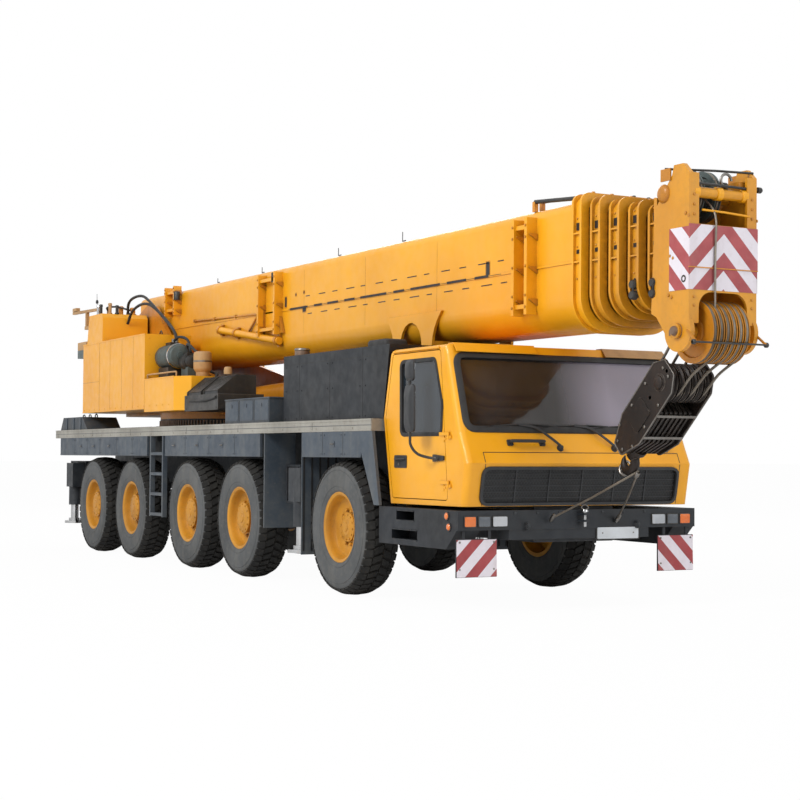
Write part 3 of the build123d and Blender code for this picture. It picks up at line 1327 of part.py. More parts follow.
def main():
    """Builds every piece and writes its STEP file."""
    os.makedirs("parts", exist_ok=True)
    hubs = {hub_of(number) for number in range(1, len(AXLES) + 1)}
    wheels = {(side, hub): make_wheel(side, *hub) for _, side in SIDES for hub in hubs}
    knuckles = {(side, hub): make_knuckle(side, hub[1]) for _, side in SIDES for hub in hubs}
    for number, x in enumerate(AXLES, start=1):
        at_hub = Location((x, 0, WHEEL_R))
        for name, side in SIDES:
            store(wheels[side, hub_of(number)], f"wheel_{number}_{name}", at_hub)
            if number in STEERED_AXLES:
                store(knuckles[side, hub_of(number)], f"knuckle_{number}_{name}", at_hub)
    with BuildPart() as beams:
        for number, x in enumerate(AXLES, start=1):
            add(make_axle_beam(x, number in STEERED_AXLES))
    store(beams.part, "axle_beams")
    store(make_chassis(), "chassis_frame")
    store(make_deck(), "deck")
    store(make_skirts(), "side_skirts")
    for place, boxes in (("front", FRONT_BOXES), ("rear", REAR_BOXES)):
        for (name, side), x in zip(SIDES, boxes):
            beam, jack = make_outrigger(x, side)
            store(beam, f"outrigger_beam_{place}_{name}")
            store(jack, f"outrigger_jack_{place}_{name}")
    store(make_engine_housing(), "engine_housing")
    store(make_cab(), "cab_shell")
    store(make_cab_glass(), "cab_glass")
    for name, side in SIDES:
        door, pane, mirror = make_door(side)
        store(door, f"door_{name}")
        store(pane, f"door_pane_{name}")
        store(mirror, f"mirror_{name}")
    store(make_bumper(), "front_bumper")
    store(make_lamps(), "lamps")
    store(make_seats(), "seats")
    store(make_dashboard(), "dashboard")
    store(make_superstructure(), "superstructure_frame")
    store(make_machinery_house(), "machinery_house")
    store(make_counterweight(), "counterweight")
    store(make_winch(), "winch")
    store(make_hydraulics(), "hydraulics")
    shell, glass, slider = make_operator_cab()
    store(shell, "operator_cab")
    store(glass, "operator_cab_glass")
    store(slider, "operator_cab_door")
    store(make_boom_base(), "boom_base", AT_BOOM)
    for index in range(1, SECTIONS):
        store(make_section(index).part, f"boom_section_{index}", AT_BOOM)
    store(make_boom_tip(), "boom_tip", AT_BOOM)
    store(make_sheaves(), "head_sheaves", AT_BOOM)
    barrel, rod, frame, run = make_cylinder()
    store(barrel, "luffing_barrel", frame)
    store(rod, "luffing_rod", frame)
    hook_at = Location((SHEAVE_X, 0, SHEAVE_Z), (0, BLOCK_LEAN, 0))
    store(make_hook_block(), "hook_block", hook_at)
    print("luffing cylinder between pins", round(run))


main()
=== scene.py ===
"""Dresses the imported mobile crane: materials, tyres, trim, rigging, light and camera.

Lengths are metres. Places are given from the front axle (X forwards, Y to the vehicle's left,
Z up) and moved by AXLE into the part's frame; those on the boom are given in BOOM, whose X runs
along the boom from its pivot and whose Z is square to it.
"""

import json
import logging
import math
from dataclasses import dataclass
from enum import Enum
from typing import Any, Sequence

import bmesh
import bpy
import numpy as np
from mathutils import Matrix, Vector

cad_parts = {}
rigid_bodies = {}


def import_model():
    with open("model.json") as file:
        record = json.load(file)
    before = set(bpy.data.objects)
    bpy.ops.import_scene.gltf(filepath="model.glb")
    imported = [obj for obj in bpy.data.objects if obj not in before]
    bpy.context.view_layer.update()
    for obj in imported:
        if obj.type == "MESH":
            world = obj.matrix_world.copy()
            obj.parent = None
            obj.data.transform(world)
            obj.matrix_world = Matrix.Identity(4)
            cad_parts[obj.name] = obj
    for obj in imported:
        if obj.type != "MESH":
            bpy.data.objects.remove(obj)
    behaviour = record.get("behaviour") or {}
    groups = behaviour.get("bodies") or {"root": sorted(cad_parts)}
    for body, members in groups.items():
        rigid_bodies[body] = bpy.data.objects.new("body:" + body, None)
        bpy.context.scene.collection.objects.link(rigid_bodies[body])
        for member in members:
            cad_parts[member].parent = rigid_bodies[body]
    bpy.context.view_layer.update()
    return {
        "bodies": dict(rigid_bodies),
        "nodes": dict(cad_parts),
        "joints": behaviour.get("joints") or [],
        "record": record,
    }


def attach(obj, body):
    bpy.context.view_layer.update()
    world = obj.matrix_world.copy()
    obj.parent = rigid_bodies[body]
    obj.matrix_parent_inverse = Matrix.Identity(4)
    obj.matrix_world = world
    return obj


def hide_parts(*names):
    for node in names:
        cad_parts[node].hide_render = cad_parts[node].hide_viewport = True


LOG = logging.getLogger("crane")
SIDES = (("right", -1), ("left", 1))
# the first axle in the part's frame, the boom's pivot from that axle, and the height that no fitting passes
AXLE_X = 2.735
PIVOT_X, PIVOT_Z = -8.3, 3.25
HIGHEST = 3.788
NOSE_DOWN = math.radians(0.45)
AXLE = Matrix.Translation((AXLE_X, 0.0, 0.0))
BOOM = Matrix.Translation((AXLE_X + PIVOT_X, 0.0, PIVOT_Z)) @ Matrix.Rotation(NOSE_DOWN, 4, "Y")
Point = tuple[float, float, float]
Flat = Sequence[tuple[float, float]]


def linear(code: str) -> tuple[float, float, float, float]:
    """Turns an sRGB hex value into a linear colour.

    Each channel c is c / 12.92 below 0.04045 and ((c + 0.055) / 1.055) ** 2.4 above it.

    Args:
        code: six hexadecimal digits.

    Returns:
        Red, green, blue and alpha.
    """
    channels = np.array([int(code[i:i + 2], 16) for i in (0, 2, 4)]) / 255.0
    values = np.where(channels <= 0.04045, channels / 12.92, ((channels + 0.055) / 1.055) ** 2.4)
    return (*values.tolist(), 1.0)


def add_node(
    tree: bpy.types.NodeTree, kind: str, settings: dict[str, Any] | None = None,
    inputs: dict[Any, Any] | None = None,
) -> bpy.types.Node:
    """Adds a node with its settings and links.

    Args:
        tree: the material's or world's node tree.
        kind: the node's type.
        settings: its properties by name.
        inputs: for each input, the output socket that feeds it or its plain value.

    Returns:
        The node.
    """
    node = tree.nodes.new(kind)
    for key, value in (settings or {}).items():
        setattr(node, key, value)
    for key, value in (inputs or {}).items():
        if isinstance(value, bpy.types.NodeSocket):
            tree.links.new(value, node.inputs[key])
        else:
            node.inputs[key].default_value = value
    return node


@dataclass(frozen=True)
class Grain:
    """A noise pattern: the size of its patches, and how much of it shows."""

    size_mm: float
    low: float
    high: float
    amount: float = 1.0
    detail: float = 5.0
    stretch: Point = (1.0, 1.0, 1.0)

    def socket(self, tree: bpy.types.NodeTree, place: bpy.types.NodeSocket) -> bpy.types.NodeSocket:
        """Adds the pattern to a tree.

        Args:
            tree: the node tree.
            place: socket of the point that the pattern is read at.

        Returns:
            A value socket from 0 to amount.
        """
        spread = add_node(tree, "ShaderNodeMapping", inputs={"Vector": place, "Scale": self.stretch})
        noise = add_node(tree, "ShaderNodeTexNoise", inputs={"Vector": spread.outputs[0],
                                                             "Scale": 1000.0 / self.size_mm,
                                                             "Detail": self.detail})
        return add_node(tree, "ShaderNodeMapRange", inputs={"Value": noise.outputs[0], "From Min": self.low,
                                                            "From Max": self.high,
                                                            "To Max": self.amount}).outputs[0]


@dataclass(frozen=True)
class Weathered:
    """An opaque surface that has stood outdoors: patches, runs, dust, grime and painted shade in corners, worn
    edges.
    """

    name: str
    slot: str
    colour: str
    aged: str
    dust: str = "8A7F6E"
    dusty: float = 0.2
    rough: float = 0.4
    metal: float = 0.0
    gloss: float = 0.0
    # strength and colour of the darkening in corners by ambient occlusion: partly grime, partly painted shade
    corner_grime_and_shade: float = 0.35
    corner_grime_and_shade_colour: str = "2A2118"
    bare: str = "5A4632"
    edge_mm: float = 5.0
    edge: float = 0.35
    chips: float = 0.0
    low_dust: float = 0.0
    grain_mm: float = 12.0
    relief_mm: float = 0.15

    def begin(self) -> tuple[bpy.types.Material, bpy.types.NodeTree, bpy.types.Node, bpy.types.NodeSocket]:
        """Makes the empty material: its tree, its shader and the object's own coordinates.

        Returns:
            The material, its tree, its shader and the coordinates' socket.
        """
        material = bpy.data.materials.new(self.name)
        material.use_nodes = True
        tree = material.node_tree
        tree.nodes.clear()
        shader = add_node(tree, "ShaderNodeBsdfPrincipled", inputs={"Metallic": self.metal})
        add_node(tree, "ShaderNodeOutputMaterial", inputs={"Surface": shader.outputs[0]})
        return material, tree, shader, add_node(tree, "ShaderNodeTexCoord").outputs["Object"]

    def blend(self, tree: bpy.types.NodeTree, share: Any, first: Any, second: Any) -> bpy.types.NodeSocket:
        """Mixes two colours by a share and returns the colour socket."""
        mix = add_node(tree, "ShaderNodeMix", {"data_type": "RGBA"}, {0: share, 6: first, 7: second})
        return mix.outputs[2]

    def ground(self, tree: bpy.types.NodeTree, place: bpy.types.NodeSocket) -> bpy.types.NodeSocket:
        """Returns the colour under the dust: the paint, faded in patches 0.8 m across."""
        patches = Grain(800, 0.35, 0.68).socket(tree, place)
        return self.blend(tree, patches, linear(self.colour), linear(self.aged))

    def material(self) -> bpy.types.Material:
        """Makes the material.

        The ground colour is mixed with dust in two sizes of patch, with splashes low down, with chips
        where two patterns meet, with worn edges and with grime and painted shade in the corners, found
        by ambient occlusion; shine and relief vary over it.

        Returns:
            The material.
        """
        material, tree, shader, place = self.begin()
        colour = self.ground(tree, place)
        dust = linear(self.dust)
        for grain in (Grain(170, 0.48, 0.80, self.dusty, 6, (1, 1, 0.12)),
                      Grain(45, 0.5, 0.78, self.dusty * 0.6, 8)):
            colour = self.blend(tree, grain.socket(tree, place), colour, dust)
        if self.low_dust:
            height = add_node(tree, "ShaderNodeSeparateXYZ", inputs={0: place}).outputs[2]
            low = add_node(tree, "ShaderNodeMapRange", inputs={"Value": height, "From Min": 0.35,
                                                               "From Max": 1.5, "To Min": self.low_dust,
                                                               "To Max": 0.0})
            splash = add_node(tree, "ShaderNodeMath", {"operation": "MULTIPLY"},
                              {0: low.outputs[0], 1: Grain(140, 0.3, 0.62).socket(tree, place)})
            colour = self.blend(tree, splash.outputs[0], colour, dust)
        if self.chips:
            chips = add_node(tree, "ShaderNodeMath", {"operation": "MULTIPLY"},
                             {0: Grain(28, 0.66, 0.69).socket(tree, place),
                              1: Grain(420, 0.5, 0.62, self.chips).socket(tree, place)})
            colour = self.blend(tree, chips.outputs[0], colour, linear(self.bare))
        if self.edge:
            colour = self.worn_edges(tree, place, colour)
        if self.corner_grime_and_shade:
            colour = self.corners(tree, place, colour)
        tree.links.new(colour, shader.inputs["Base Color"])
        uneven = Grain(110, 0.3, 0.7).socket(tree, place)
        rough = add_node(tree, "ShaderNodeMapRange",
                         inputs={"Value": uneven, "To Min": max(0.03, self.rough - 0.07),
                                 "To Max": min(1.0, self.rough + 0.13)})
        tree.links.new(rough.outputs[0], shader.inputs["Roughness"])
        fine = Grain(self.grain_mm, 0.0, 1.0, detail=3).socket(tree, place)
        bump = add_node(tree, "ShaderNodeBump", inputs={"Height": fine, "Distance": self.relief_mm / 1000.0,
                                                        "Strength": 1.0})
        tree.links.new(bump.outputs[0], shader.inputs["Normal"])
        if self.gloss:
            shader.inputs["Coat Weight"].default_value = self.gloss
            shader.inputs["Coat Roughness"].default_value = 0.1
        return material

    def worn_edges(
        self, tree: bpy.types.NodeTree, place: bpy.types.NodeSocket, colour: bpy.types.NodeSocket
    ) -> bpy.types.NodeSocket:
        """Shows the ground coat where the rounded normal leaves the face's own, in broken patches.

        Args:
            tree: the material's tree.
            place: socket of the point that the pattern is read at.
            colour: socket of the colour so far.

        Returns:
            The new colour's socket.
        """
        bevel = add_node(tree, "ShaderNodeBevel", {"samples": 3}, {"Radius": self.edge_mm / 1000.0})
        facing = add_node(tree, "ShaderNodeNewGeometry").outputs["Normal"]
        dot = add_node(tree, "ShaderNodeVectorMath", {"operation": "DOT_PRODUCT"},
                       {0: bevel.outputs[0], 1: facing})
        edge = add_node(tree, "ShaderNodeMapRange", inputs={"Value": dot.outputs["Value"], "From Min": 0.985,
                                                            "From Max": 0.90, "To Max": self.edge})
        broken = add_node(tree, "ShaderNodeMath", {"operation": "MULTIPLY"},
                          {0: edge.outputs[0], 1: Grain(70, 0.42, 0.6).socket(tree, place)})
        return self.blend(tree, broken.outputs[0], colour, linear(self.bare))

    def corners(
        self, tree: bpy.types.NodeTree, place: bpy.types.NodeSocket, colour: bpy.types.NodeSocket
    ) -> bpy.types.NodeSocket:
        """Darkens where surfaces meet, from the room round each point: partly grime, partly painted shade.

        Args:
            tree: the material's tree.
            place: socket of the point that the pattern is read at.
            colour: socket of the colour so far.

        Returns:
            The new colour's socket.
        """
        # ambient occlusion darkens corners and gaps: partly grime, partly painted shade
        room = add_node(tree, "ShaderNodeAmbientOcclusion", {"samples": 3}, {"Distance": 0.12})
        grime_and_shade = add_node(tree, "ShaderNodeMapRange", inputs={"Value": room.outputs["AO"], "From Min": 0.75,
                                                            "From Max": 0.2, "To Max": self.corner_grime_and_shade})
        broken = add_node(tree, "ShaderNodeMath", {"operation": "MULTIPLY"},
                          {0: grime_and_shade.outputs[0], 1: Grain(60, 0.2, 0.55).socket(tree, place)})
        return self.blend(tree, broken.outputs[0], colour, linear(self.corner_grime_and_shade_colour))


@dataclass(frozen=True)
class Stepped(Weathered):
    """Paint that changes at a height: one coat up to it, another above."""

    upper: str = "3A4148"
    level: float = 1.768

    def ground(self, tree: bpy.types.NodeTree, place: bpy.types.NodeSocket) -> bpy.types.NodeSocket:
        """Returns the colour under the dust: the lower coat, or the upper one above the level.

        Args:
            tree: the material's tree.
            place: socket of the point that the pattern is read at.

        Returns:
            The colour's socket.
        """
        height = add_node(tree, "ShaderNodeSeparateXYZ", inputs={0: place}).outputs[2]
        above = add_node(tree, "ShaderNodeMath", {"operation": "GREATER_THAN"}, {0: height, 1: self.level})
        return self.blend(tree, above.outputs[0], Weathered.ground(self, tree, place), linear(self.upper))


@dataclass(frozen=True)
class Striped(Weathered):
    """Retroreflective sheeting in slanted stripes, mirrored about a line where fold is given."""

    second: str = "E4DEE6"
    across: str = "Y"
    pitch: float = 0.2
    slant: float = 1.0
    fold: float | None = None
    start: float = 0.0

    def ground(self, tree: bpy.types.NodeTree, place: bpy.types.NodeSocket) -> bpy.types.NodeSocket:
        """Returns red where frac((|a - fold| * slant + z - start) / pitch) is under a half.

        Args:
            tree: the material's tree.
            place: socket of the point that the pattern is read at.

        Returns:
            The colour's socket.
        """
        split = add_node(tree, "ShaderNodeSeparateXYZ", inputs={0: place})
        along = split.outputs["XYZ".index(self.across)]
        if self.fold is not None:
            moved = add_node(tree, "ShaderNodeMath", {"operation": "SUBTRACT"}, {0: along, 1: self.fold})
            along = add_node(tree, "ShaderNodeMath", {"operation": "ABSOLUTE"},
                             {0: moved.outputs[0]}).outputs[0]
        slanted = add_node(tree, "ShaderNodeMath", {"operation": "MULTIPLY_ADD"},
                           {0: along, 1: self.slant, 2: split.outputs[2]})
        turns = add_node(tree, "ShaderNodeMath", {"operation": "MULTIPLY_ADD"},
                         {0: slanted.outputs[0], 1: 1.0 / self.pitch, 2: 40.0 - self.start / self.pitch})
        share = add_node(tree, "ShaderNodeMath", {"operation": "FRACT"}, {0: turns.outputs[0]})
        stripe = add_node(tree, "ShaderNodeMapRange", inputs={"Value": share.outputs[0], "From Min": 0.495,
                                                              "From Max": 0.505})
        patches = Grain(220, 0.35, 0.7).socket(tree, place)
        first = self.blend(tree, patches, linear(self.colour), linear(self.aged))
        return self.blend(tree, stripe.outputs[0], first, linear(self.second))


@dataclass(frozen=True)
class Meshed(Weathered):
    """Expanded metal: a net of thin strands over holes painted near black, a painted shade of the space behind.
    """

    pitch_mm: float = 26.0

    def ground(self, tree: bpy.types.NodeTree, place: bpy.types.NodeSocket) -> bpy.types.NodeSocket:
        """Returns the strand's colour where either of two crossed waves is near its crest, and the holes'
        painted shade elsewhere.

        Args:
            tree: the material's tree.
            place: socket of the point that the pattern is read at.

        Returns:
            The colour's socket.
        """
        crests = []
        for tilt in (0.62, -0.62):
            turned = add_node(tree, "ShaderNodeMapping", inputs={"Vector": place, "Rotation": (tilt, 0.0, 0.0)})
            wave = add_node(tree, "ShaderNodeTexWave", {"bands_direction": "Y"},
                            {"Vector": turned.outputs[0], "Scale": 314.0 / self.pitch_mm})
            crests.append(wave.outputs["Fac"])
        top = add_node(tree, "ShaderNodeMath", {"operation": "MAXIMUM"}, {0: crests[0], 1: crests[1]})
        strand = add_node(tree, "ShaderNodeMapRange", inputs={"Value": top.outputs[0], "From Min": 0.80,
                                                              "From Max": 0.95})
        return self.blend(tree, strand.outputs[0], linear(self.aged), linear(self.colour))


@dataclass(frozen=True)
class Glazed(Weathered):
    """Glass or a clear moulding: a tint seen through a smooth skin, with a dusty film."""

    alpha: float = 0.7
    ior: float = 1.5
    ribs_mm: float = 0.0
    film: float = 0.25
    # colour of a painted sky reflection, mixed in across the pane by the object's Y
    sky: str = ""

    def material(self) -> bpy.types.Material:
        """Makes the material.

        The tint turns to a painted sky reflection's colour across the pane where one is given, under a film
        of dust; smears vary the shine, and long waves or flutes bend what is mirrored.

        Returns:
            The material.
        """
        material, tree, shader, place = self.begin()
        colour = self.ground(tree, place)
        # painted reflection: the tint turns to the sky colour across the pane by Y
        if self.sky:
            across = add_node(tree, "ShaderNodeSeparateXYZ", inputs={0: place}).outputs[1]
            turn = add_node(tree, "ShaderNodeMapRange", inputs={"Value": across, "From Min": -0.15,
                                                                "From Max": 0.45})
            colour = self.blend(tree, turn.outputs[0], colour, linear(self.sky))
        colour = self.blend(tree, Grain(330, 0.4, 0.8, self.film, 6).socket(tree, place), colour,
                            linear(self.dust))
        tree.links.new(colour, shader.inputs["Base Color"])
        smear = Grain(90, 0.35, 0.75).socket(tree, place)
        rough = add_node(tree, "ShaderNodeMapRange", inputs={"Value": smear, "To Min": self.rough,
                                                             "To Max": self.rough + 0.07})
        tree.links.new(rough.outputs[0], shader.inputs["Roughness"])
        size, depth = (self.ribs_mm, 0.0012) if self.ribs_mm else (900.0, 0.0015)
        ribs = Grain(size, 0.3, 0.7, detail=1, stretch=(0.15, 1.0, 0.15)).socket(tree, place)
        bump = add_node(tree, "ShaderNodeBump", inputs={"Height": ribs, "Distance": depth})
        tree.links.new(bump.outputs[0], shader.inputs["Normal"])
        shader.inputs["Alpha"].default_value = self.alpha
        shader.inputs["IOR"].default_value = self.ior
        if self.gloss:
            shader.inputs["Coat Weight"].default_value = self.gloss
        return material


class Finish(Enum):
    """The crane's finishes."""

    # Two-pack polyurethane enamel, sprayed: saturated orange yellow with a soft gloss, sun-bleached in runs.
    YELLOW = Weathered("polyurethane_enamel_yellow", "yellow_paint", "F5AD14", "EAA00C", "E8A83C", 0.18, 0.38,
                       gloss=0.12, corner_grime_and_shade=0.5, chips=0.06, corner_grime_and_shade_colour="5A3B12", bare="B8812E")
    # The same enamel as a darker, browner, duller copy: partly grease and rain streaks, partly painted shade,
    # mostly on the frame, barrel and fittings under the house and boom.
    YELLOW_OILY_SHADED = Weathered("polyurethane_enamel_oily_painted_shade", "yellow_paint", "D98F1B", "B97717", "7A5A2C", 0.34, 0.4,
                            gloss=0.1, corner_grime_and_shade=0.75, chips=0.25, corner_grime_and_shade_colour="33230F", bare="7A5424")
    # Enamel on the telescopic sections, with a film of slide grease that has held dust.
    YELLOW_GREASED = Weathered("enamel_with_grease_film", "yellow_paint", "E59F1C", "CE8A14", "8C6A34", 0.26,
                               0.38, gloss=0.2, corner_grime_and_shade=0.7, chips=0.12, corner_grime_and_shade_colour="3A280F", bare="8A602A")
    # Baked enamel on pressed steel rims, matt with brake dust.
    RIM = Weathered("baked_enamel_rim", "yellow_paint", "DD9A22", "B47A1C", "7A6238", 0.34, 0.5, corner_grime_and_shade=0.7,
                    chips=0.2, corner_grime_and_shade_colour="3A2D1C", bare="6B5033")
    # Chassis enamel: dark blue grey, dulled by road film that is thickest low down.
    CHASSIS = Weathered("chassis_enamel_blue_grey", "carrier_paint", "12171D", "1B2229", "4C4E50", 0.2, 0.55,
                        gloss=0.0, corner_grime_and_shade=0.5, low_dust=0.5, bare="6A6258", chips=0.1)
    # The same on the skirts, chalked lighter by sun and shoes.
    SKIRT = Weathered("chalked_enamel_skirt", "carrier_paint", "3A444F", "48525C", "74736D", 0.34, 0.52,
                      corner_grime_and_shade=0.5, low_dust=0.35, bare="8A8478", chips=0.2)
    # The same on the engine hood, cleaner and glossier.
    HOOD = Weathered("chassis_enamel_hood", "carrier_paint", "0A0F14", "111820", "2E3338", 0.14, 0.5, gloss=0.0,
                     corner_grime_and_shade=0.4, bare="6A655C")
    # Zinc-primed walkway edge: warm grey, scuffed and stained.
    DECK = Weathered("primed_steel_deck_edge", "deck_paint", "A7A49B", "8E8B82", "6A6358", 0.45, 0.55,
                     corner_grime_and_shade=0.6, chips=0.2, bare="5C5144")
    # The walkway's plates in the same primer, with lockers and ramps in the chassis colour standing on them.
    WALKWAY = Stepped("primed_and_enamelled_deck", "deck_paint", "A7A49B", "8E8B82", "6A6358", 0.4, 0.55,
                      corner_grime_and_shade=0.6, chips=0.2, bare="5C5144")
    # Tear-pattern tread plate: dull grey with raised bars.
    PLATE_STEEL = Weathered("tread_plate_steel", "deck_paint", "7C7B76", "68665F", "544E45", 0.4, 0.5, 0.4)
    # Ground and chromed steel of rods and pins.
    CHROME = Weathered("hard_chromed_steel", "cylinder_steel", "C9CACB", "B4B5B6", "6F665A", 0.14, 0.16, 1.0,
                       corner_grime_and_shade=0.4, edge=0.0, relief_mm=0.02)
    # Machined steel, uncoated and greasy: mid grey metal.
    BARE_STEEL = Weathered("machined_steel", "cylinder_steel", "8E8B87", "6F6A64", "4A3D2E", 0.3, 0.34, 1.0)
    # Forged and cast steel of the hook block: near black with rust blush; its wide light grey worn edges are
    # partly worn steel, partly a painted highlight.
    FORGED = Weathered("forged_steel_black", "dark_steel", "1C1715", "2B211C", "4F3E33", 0.28, 0.45, 0.35,
                       bare="8C8175", edge=0.7, edge_mm=7, corner_grime_and_shade=0.3, relief_mm=0.6)
    # Wire rope: twisted bright strands in old grease.
    ROPE = Weathered("wire_rope_steel", "dark_steel", "8B8378", "5E554A", "3B3126", 0.5, 0.38, 0.7, edge=0.0,
                     corner_grime_and_shade=0.6, grain_mm=9, relief_mm=1.6)
    # Cast iron and dark painted machinery: grey green, oily.
    MACHINE = Weathered("cast_iron_machine_grey", "dark_steel", "5D6B6B", "46514F", "3A3128", 0.4, 0.42, 0.15,
                        corner_grime_and_shade=0.8)
    # Black enamel on brackets and small parts.
    BLACK = Weathered("black_enamel_steel", "dark_steel", "242424", "31302E", "5C554A", 0.28, 0.42, 0.1,
                      bare="6A655E")
    # Aluminised silencer tin gone brown.
    TIN = Weathered("aluminised_exhaust_tin", "dark_steel", "9A8B7C", "6E4E39", "4B3323", 0.5, 0.5, 0.5,
                    corner_grime_and_shade=0.5)
    # Primer-coloured cans and rails: sandy enamel.
    SAND = Weathered("sand_enamel", "yellow_paint", "C79E6A", "A87E4C", "6B5640", 0.35, 0.5, corner_grime_and_shade=0.6)
    # Natural rubber tread compound: charcoal, dull, brushed by the road.
    TREAD = Weathered("tread_rubber", "tyre_rubber", "161616", "242321", "4A4740", 0.32, 0.9, corner_grime_and_shade=0.4,
                      edge=0.3, bare="55534E", relief_mm=0.5)
    # Sidewall rubber: bloomed to a dusty blue grey.
    SIDEWALL = Weathered("sidewall_rubber_bloomed", "tyre_rubber", "484A4B", "5A5C5D", "7A776F", 0.45, 0.8,
                         corner_grime_and_shade=0.4, edge=0.2, bare="6C6C6A", grain_mm=5, relief_mm=0.3)
    # EPDM seals and hoses.
    RUBBER = Weathered("epdm_rubber_black", "black_plastic", "1D1D1E", "272727", "4B4946", 0.2, 0.6, corner_grime_and_shade=0.2,
                       edge=0.0)
    # Moulded ABS, fine grained.
    PLASTIC = Weathered("moulded_abs_black", "black_plastic", "212326", "2B2D30", "504F4C", 0.2, 0.5, corner_grime_and_shade=0.3,
                        edge=0.25, bare="55565A", grain_mm=3, relief_mm=0.12)
    # Expanded metal radiator screen, black, its holes painted near black as painted shade.
    SCREEN = Meshed("expanded_metal_black", "black_plastic", "26282B", "090A0B", "3A3A38", 0.15, 0.5, 0.2,
                    edge=0.0)
    # Woven seat cloth, threads drawn at 4 mm so that they show.
    CLOTH = Weathered("woven_seat_cloth", "seat_cloth", "3A3F4A", "4A4F5A", "6A6964", 0.15, 0.95, edge=0.0,
                      grain_mm=4, relief_mm=1.2)
    # Laminated windscreen with a dusty film: a brown painted shade of the dark cab behind it, turning to a
    # mauve painted sky reflection across the pane.
    SCREEN_GLASS = Glazed("laminated_glass_painted_shade_and_sky", "window_glass", "241F1B", "332D28", "6F6C70", rough=0.03,
                          alpha=0.86, ior=1.6, film=0.18, sky="96909E")
    # Toughened side glass: deeper tint.
    SIDE_GLASS = Glazed("toughened_glass_smoked", "window_glass", "26303A", "1B2226", "50585C", rough=0.03,
                        alpha=0.82, ior=1.6)
    # Polycarbonate lenses with moulded flutes.
    AMBER = Glazed("amber_polycarbonate", "lamp_lens", "EE7A1B", "D8610F", "E8A868", rough=0.1, alpha=1.0,
                   ribs_mm=16, gloss=0.8)
    CLEAR = Glazed("clear_polycarbonate", "lamp_lens", "C9CDD2", "9CA1A8", "E4E6E8", rough=0.1, alpha=1.0,
                   ribs_mm=18, gloss=0.9)
    SMOKED = Glazed("smoked_polycarbonate", "lamp_lens", "5B626A", "444A52", "8A9096", rough=0.1, alpha=1.0,
                    ribs_mm=18, gloss=0.9)
    TAIL = Glazed("red_polycarbonate", "lamp_lens", "B3241C", "8E1A15", "C8695C", rough=0.1, alpha=1.0,
                  ribs_mm=16, gloss=0.8)
    # Silvered mirror glass.
    MIRROR = Glazed("silvered_glass", "black_plastic", "C3CBD0", "B2BABF", "A9AFB2", rough=0.03, metal=1.0,
                    alpha=1.0, film=0.15)
    # Reflective white sheet of the blank plate.
    PLATE = Weathered("reflective_sheet_white", "lamp_lens", "D5DADF", "C6CCD2", "A8A296", 0.2, 0.35, gloss=0.3,
                      corner_grime_and_shade=0.3, edge=0.0)
    # Reflective sheeting, red and white, in slanted stripes.
    BOARD_RIGHT = Striped("reflective_stripes_right", "lamp_lens", "A63A3E", "8F2C31", "9C7F74", 0.2, 0.38,
                          gloss=0.2, corner_grime_and_shade=0.3, edge=0.0, pitch=0.262, slant=-1.0, start=0.12)
    BOARD_LEFT = Striped("reflective_stripes_left", "lamp_lens", "A63A3E", "8F2C31", "9C7F74", 0.2, 0.38,
                         gloss=0.2, corner_grime_and_shade=0.3, edge=0.0, pitch=0.262, slant=1.0, start=0.12)
    HEAD_SIDE = Striped("reflective_stripes_head_side", "lamp_lens", "AE4A4E", "96373C", "9C7F74", 0.2, 0.38,
                        gloss=0.2, corner_grime_and_shade=0.3, edge=0.0, across="X", pitch=0.30, slant=1.0, start=9.631)
    HEAD_FRONT = Striped("reflective_stripes_head_front", "lamp_lens", "AE4A4E", "96373C", "9C7F74", 0.2, 0.38,
                         gloss=0.2, corner_grime_and_shade=0.3, edge=0.0, pitch=0.30, slant=1.0, fold=0.0, start=2.926)

    @property
    def material(self) -> bpy.types.Material:
        """The finish's material, made the first time that it is asked for."""
        return bpy.data.materials.get(self.value.name) or self.value.material()


def moved(points: np.ndarray, turn: Matrix | None) -> np.ndarray:
    """Returns points (n, 3) moved by a matrix M, as M p, or as they are.

    Args:
        points: the points.
        turn: the matrix, or None.

    Returns:
        The moved points.
    """
    if turn is None:
        return np.asarray(points, float)
    rows = np.asarray(turn)
    return np.asarray(points, float) @ rows[:3, :3].T + rows[:3, 3]


def curve(points: Sequence[Point], parts: int = 6) -> np.ndarray:
    """Returns a smooth curve through points.

    Between b and c, with neighbours a and d, it is the Catmull-Rom cubic
    (2b + (c - a)t + (2a - 5b + 4c - d)t^2 + (3b - a - 3c + d)t^3) / 2.

    Args:
        points: points that it passes through.
        parts: steps between two of them.

    Returns:
        The curve's points (n, 3).
    """
    rows = np.asarray(points, float)
    rows = np.vstack((2 * rows[0] - rows[1], rows, 2 * rows[-1] - rows[-2]))
    a, b, c, d = (rows[i:len(rows) - 3 + i][:, None] for i in range(4))
    t = np.linspace(0, 1, parts, endpoint=False)[None, :, None]
    spans = 0.5 * (2 * b + (c - a) * t + (2 * a - 5 * b + 4 * c - d) * t**2 + (3 * b - a - 3 * c + d) * t**3)
    return np.vstack((spans.reshape(-1, 3), rows[-2]))


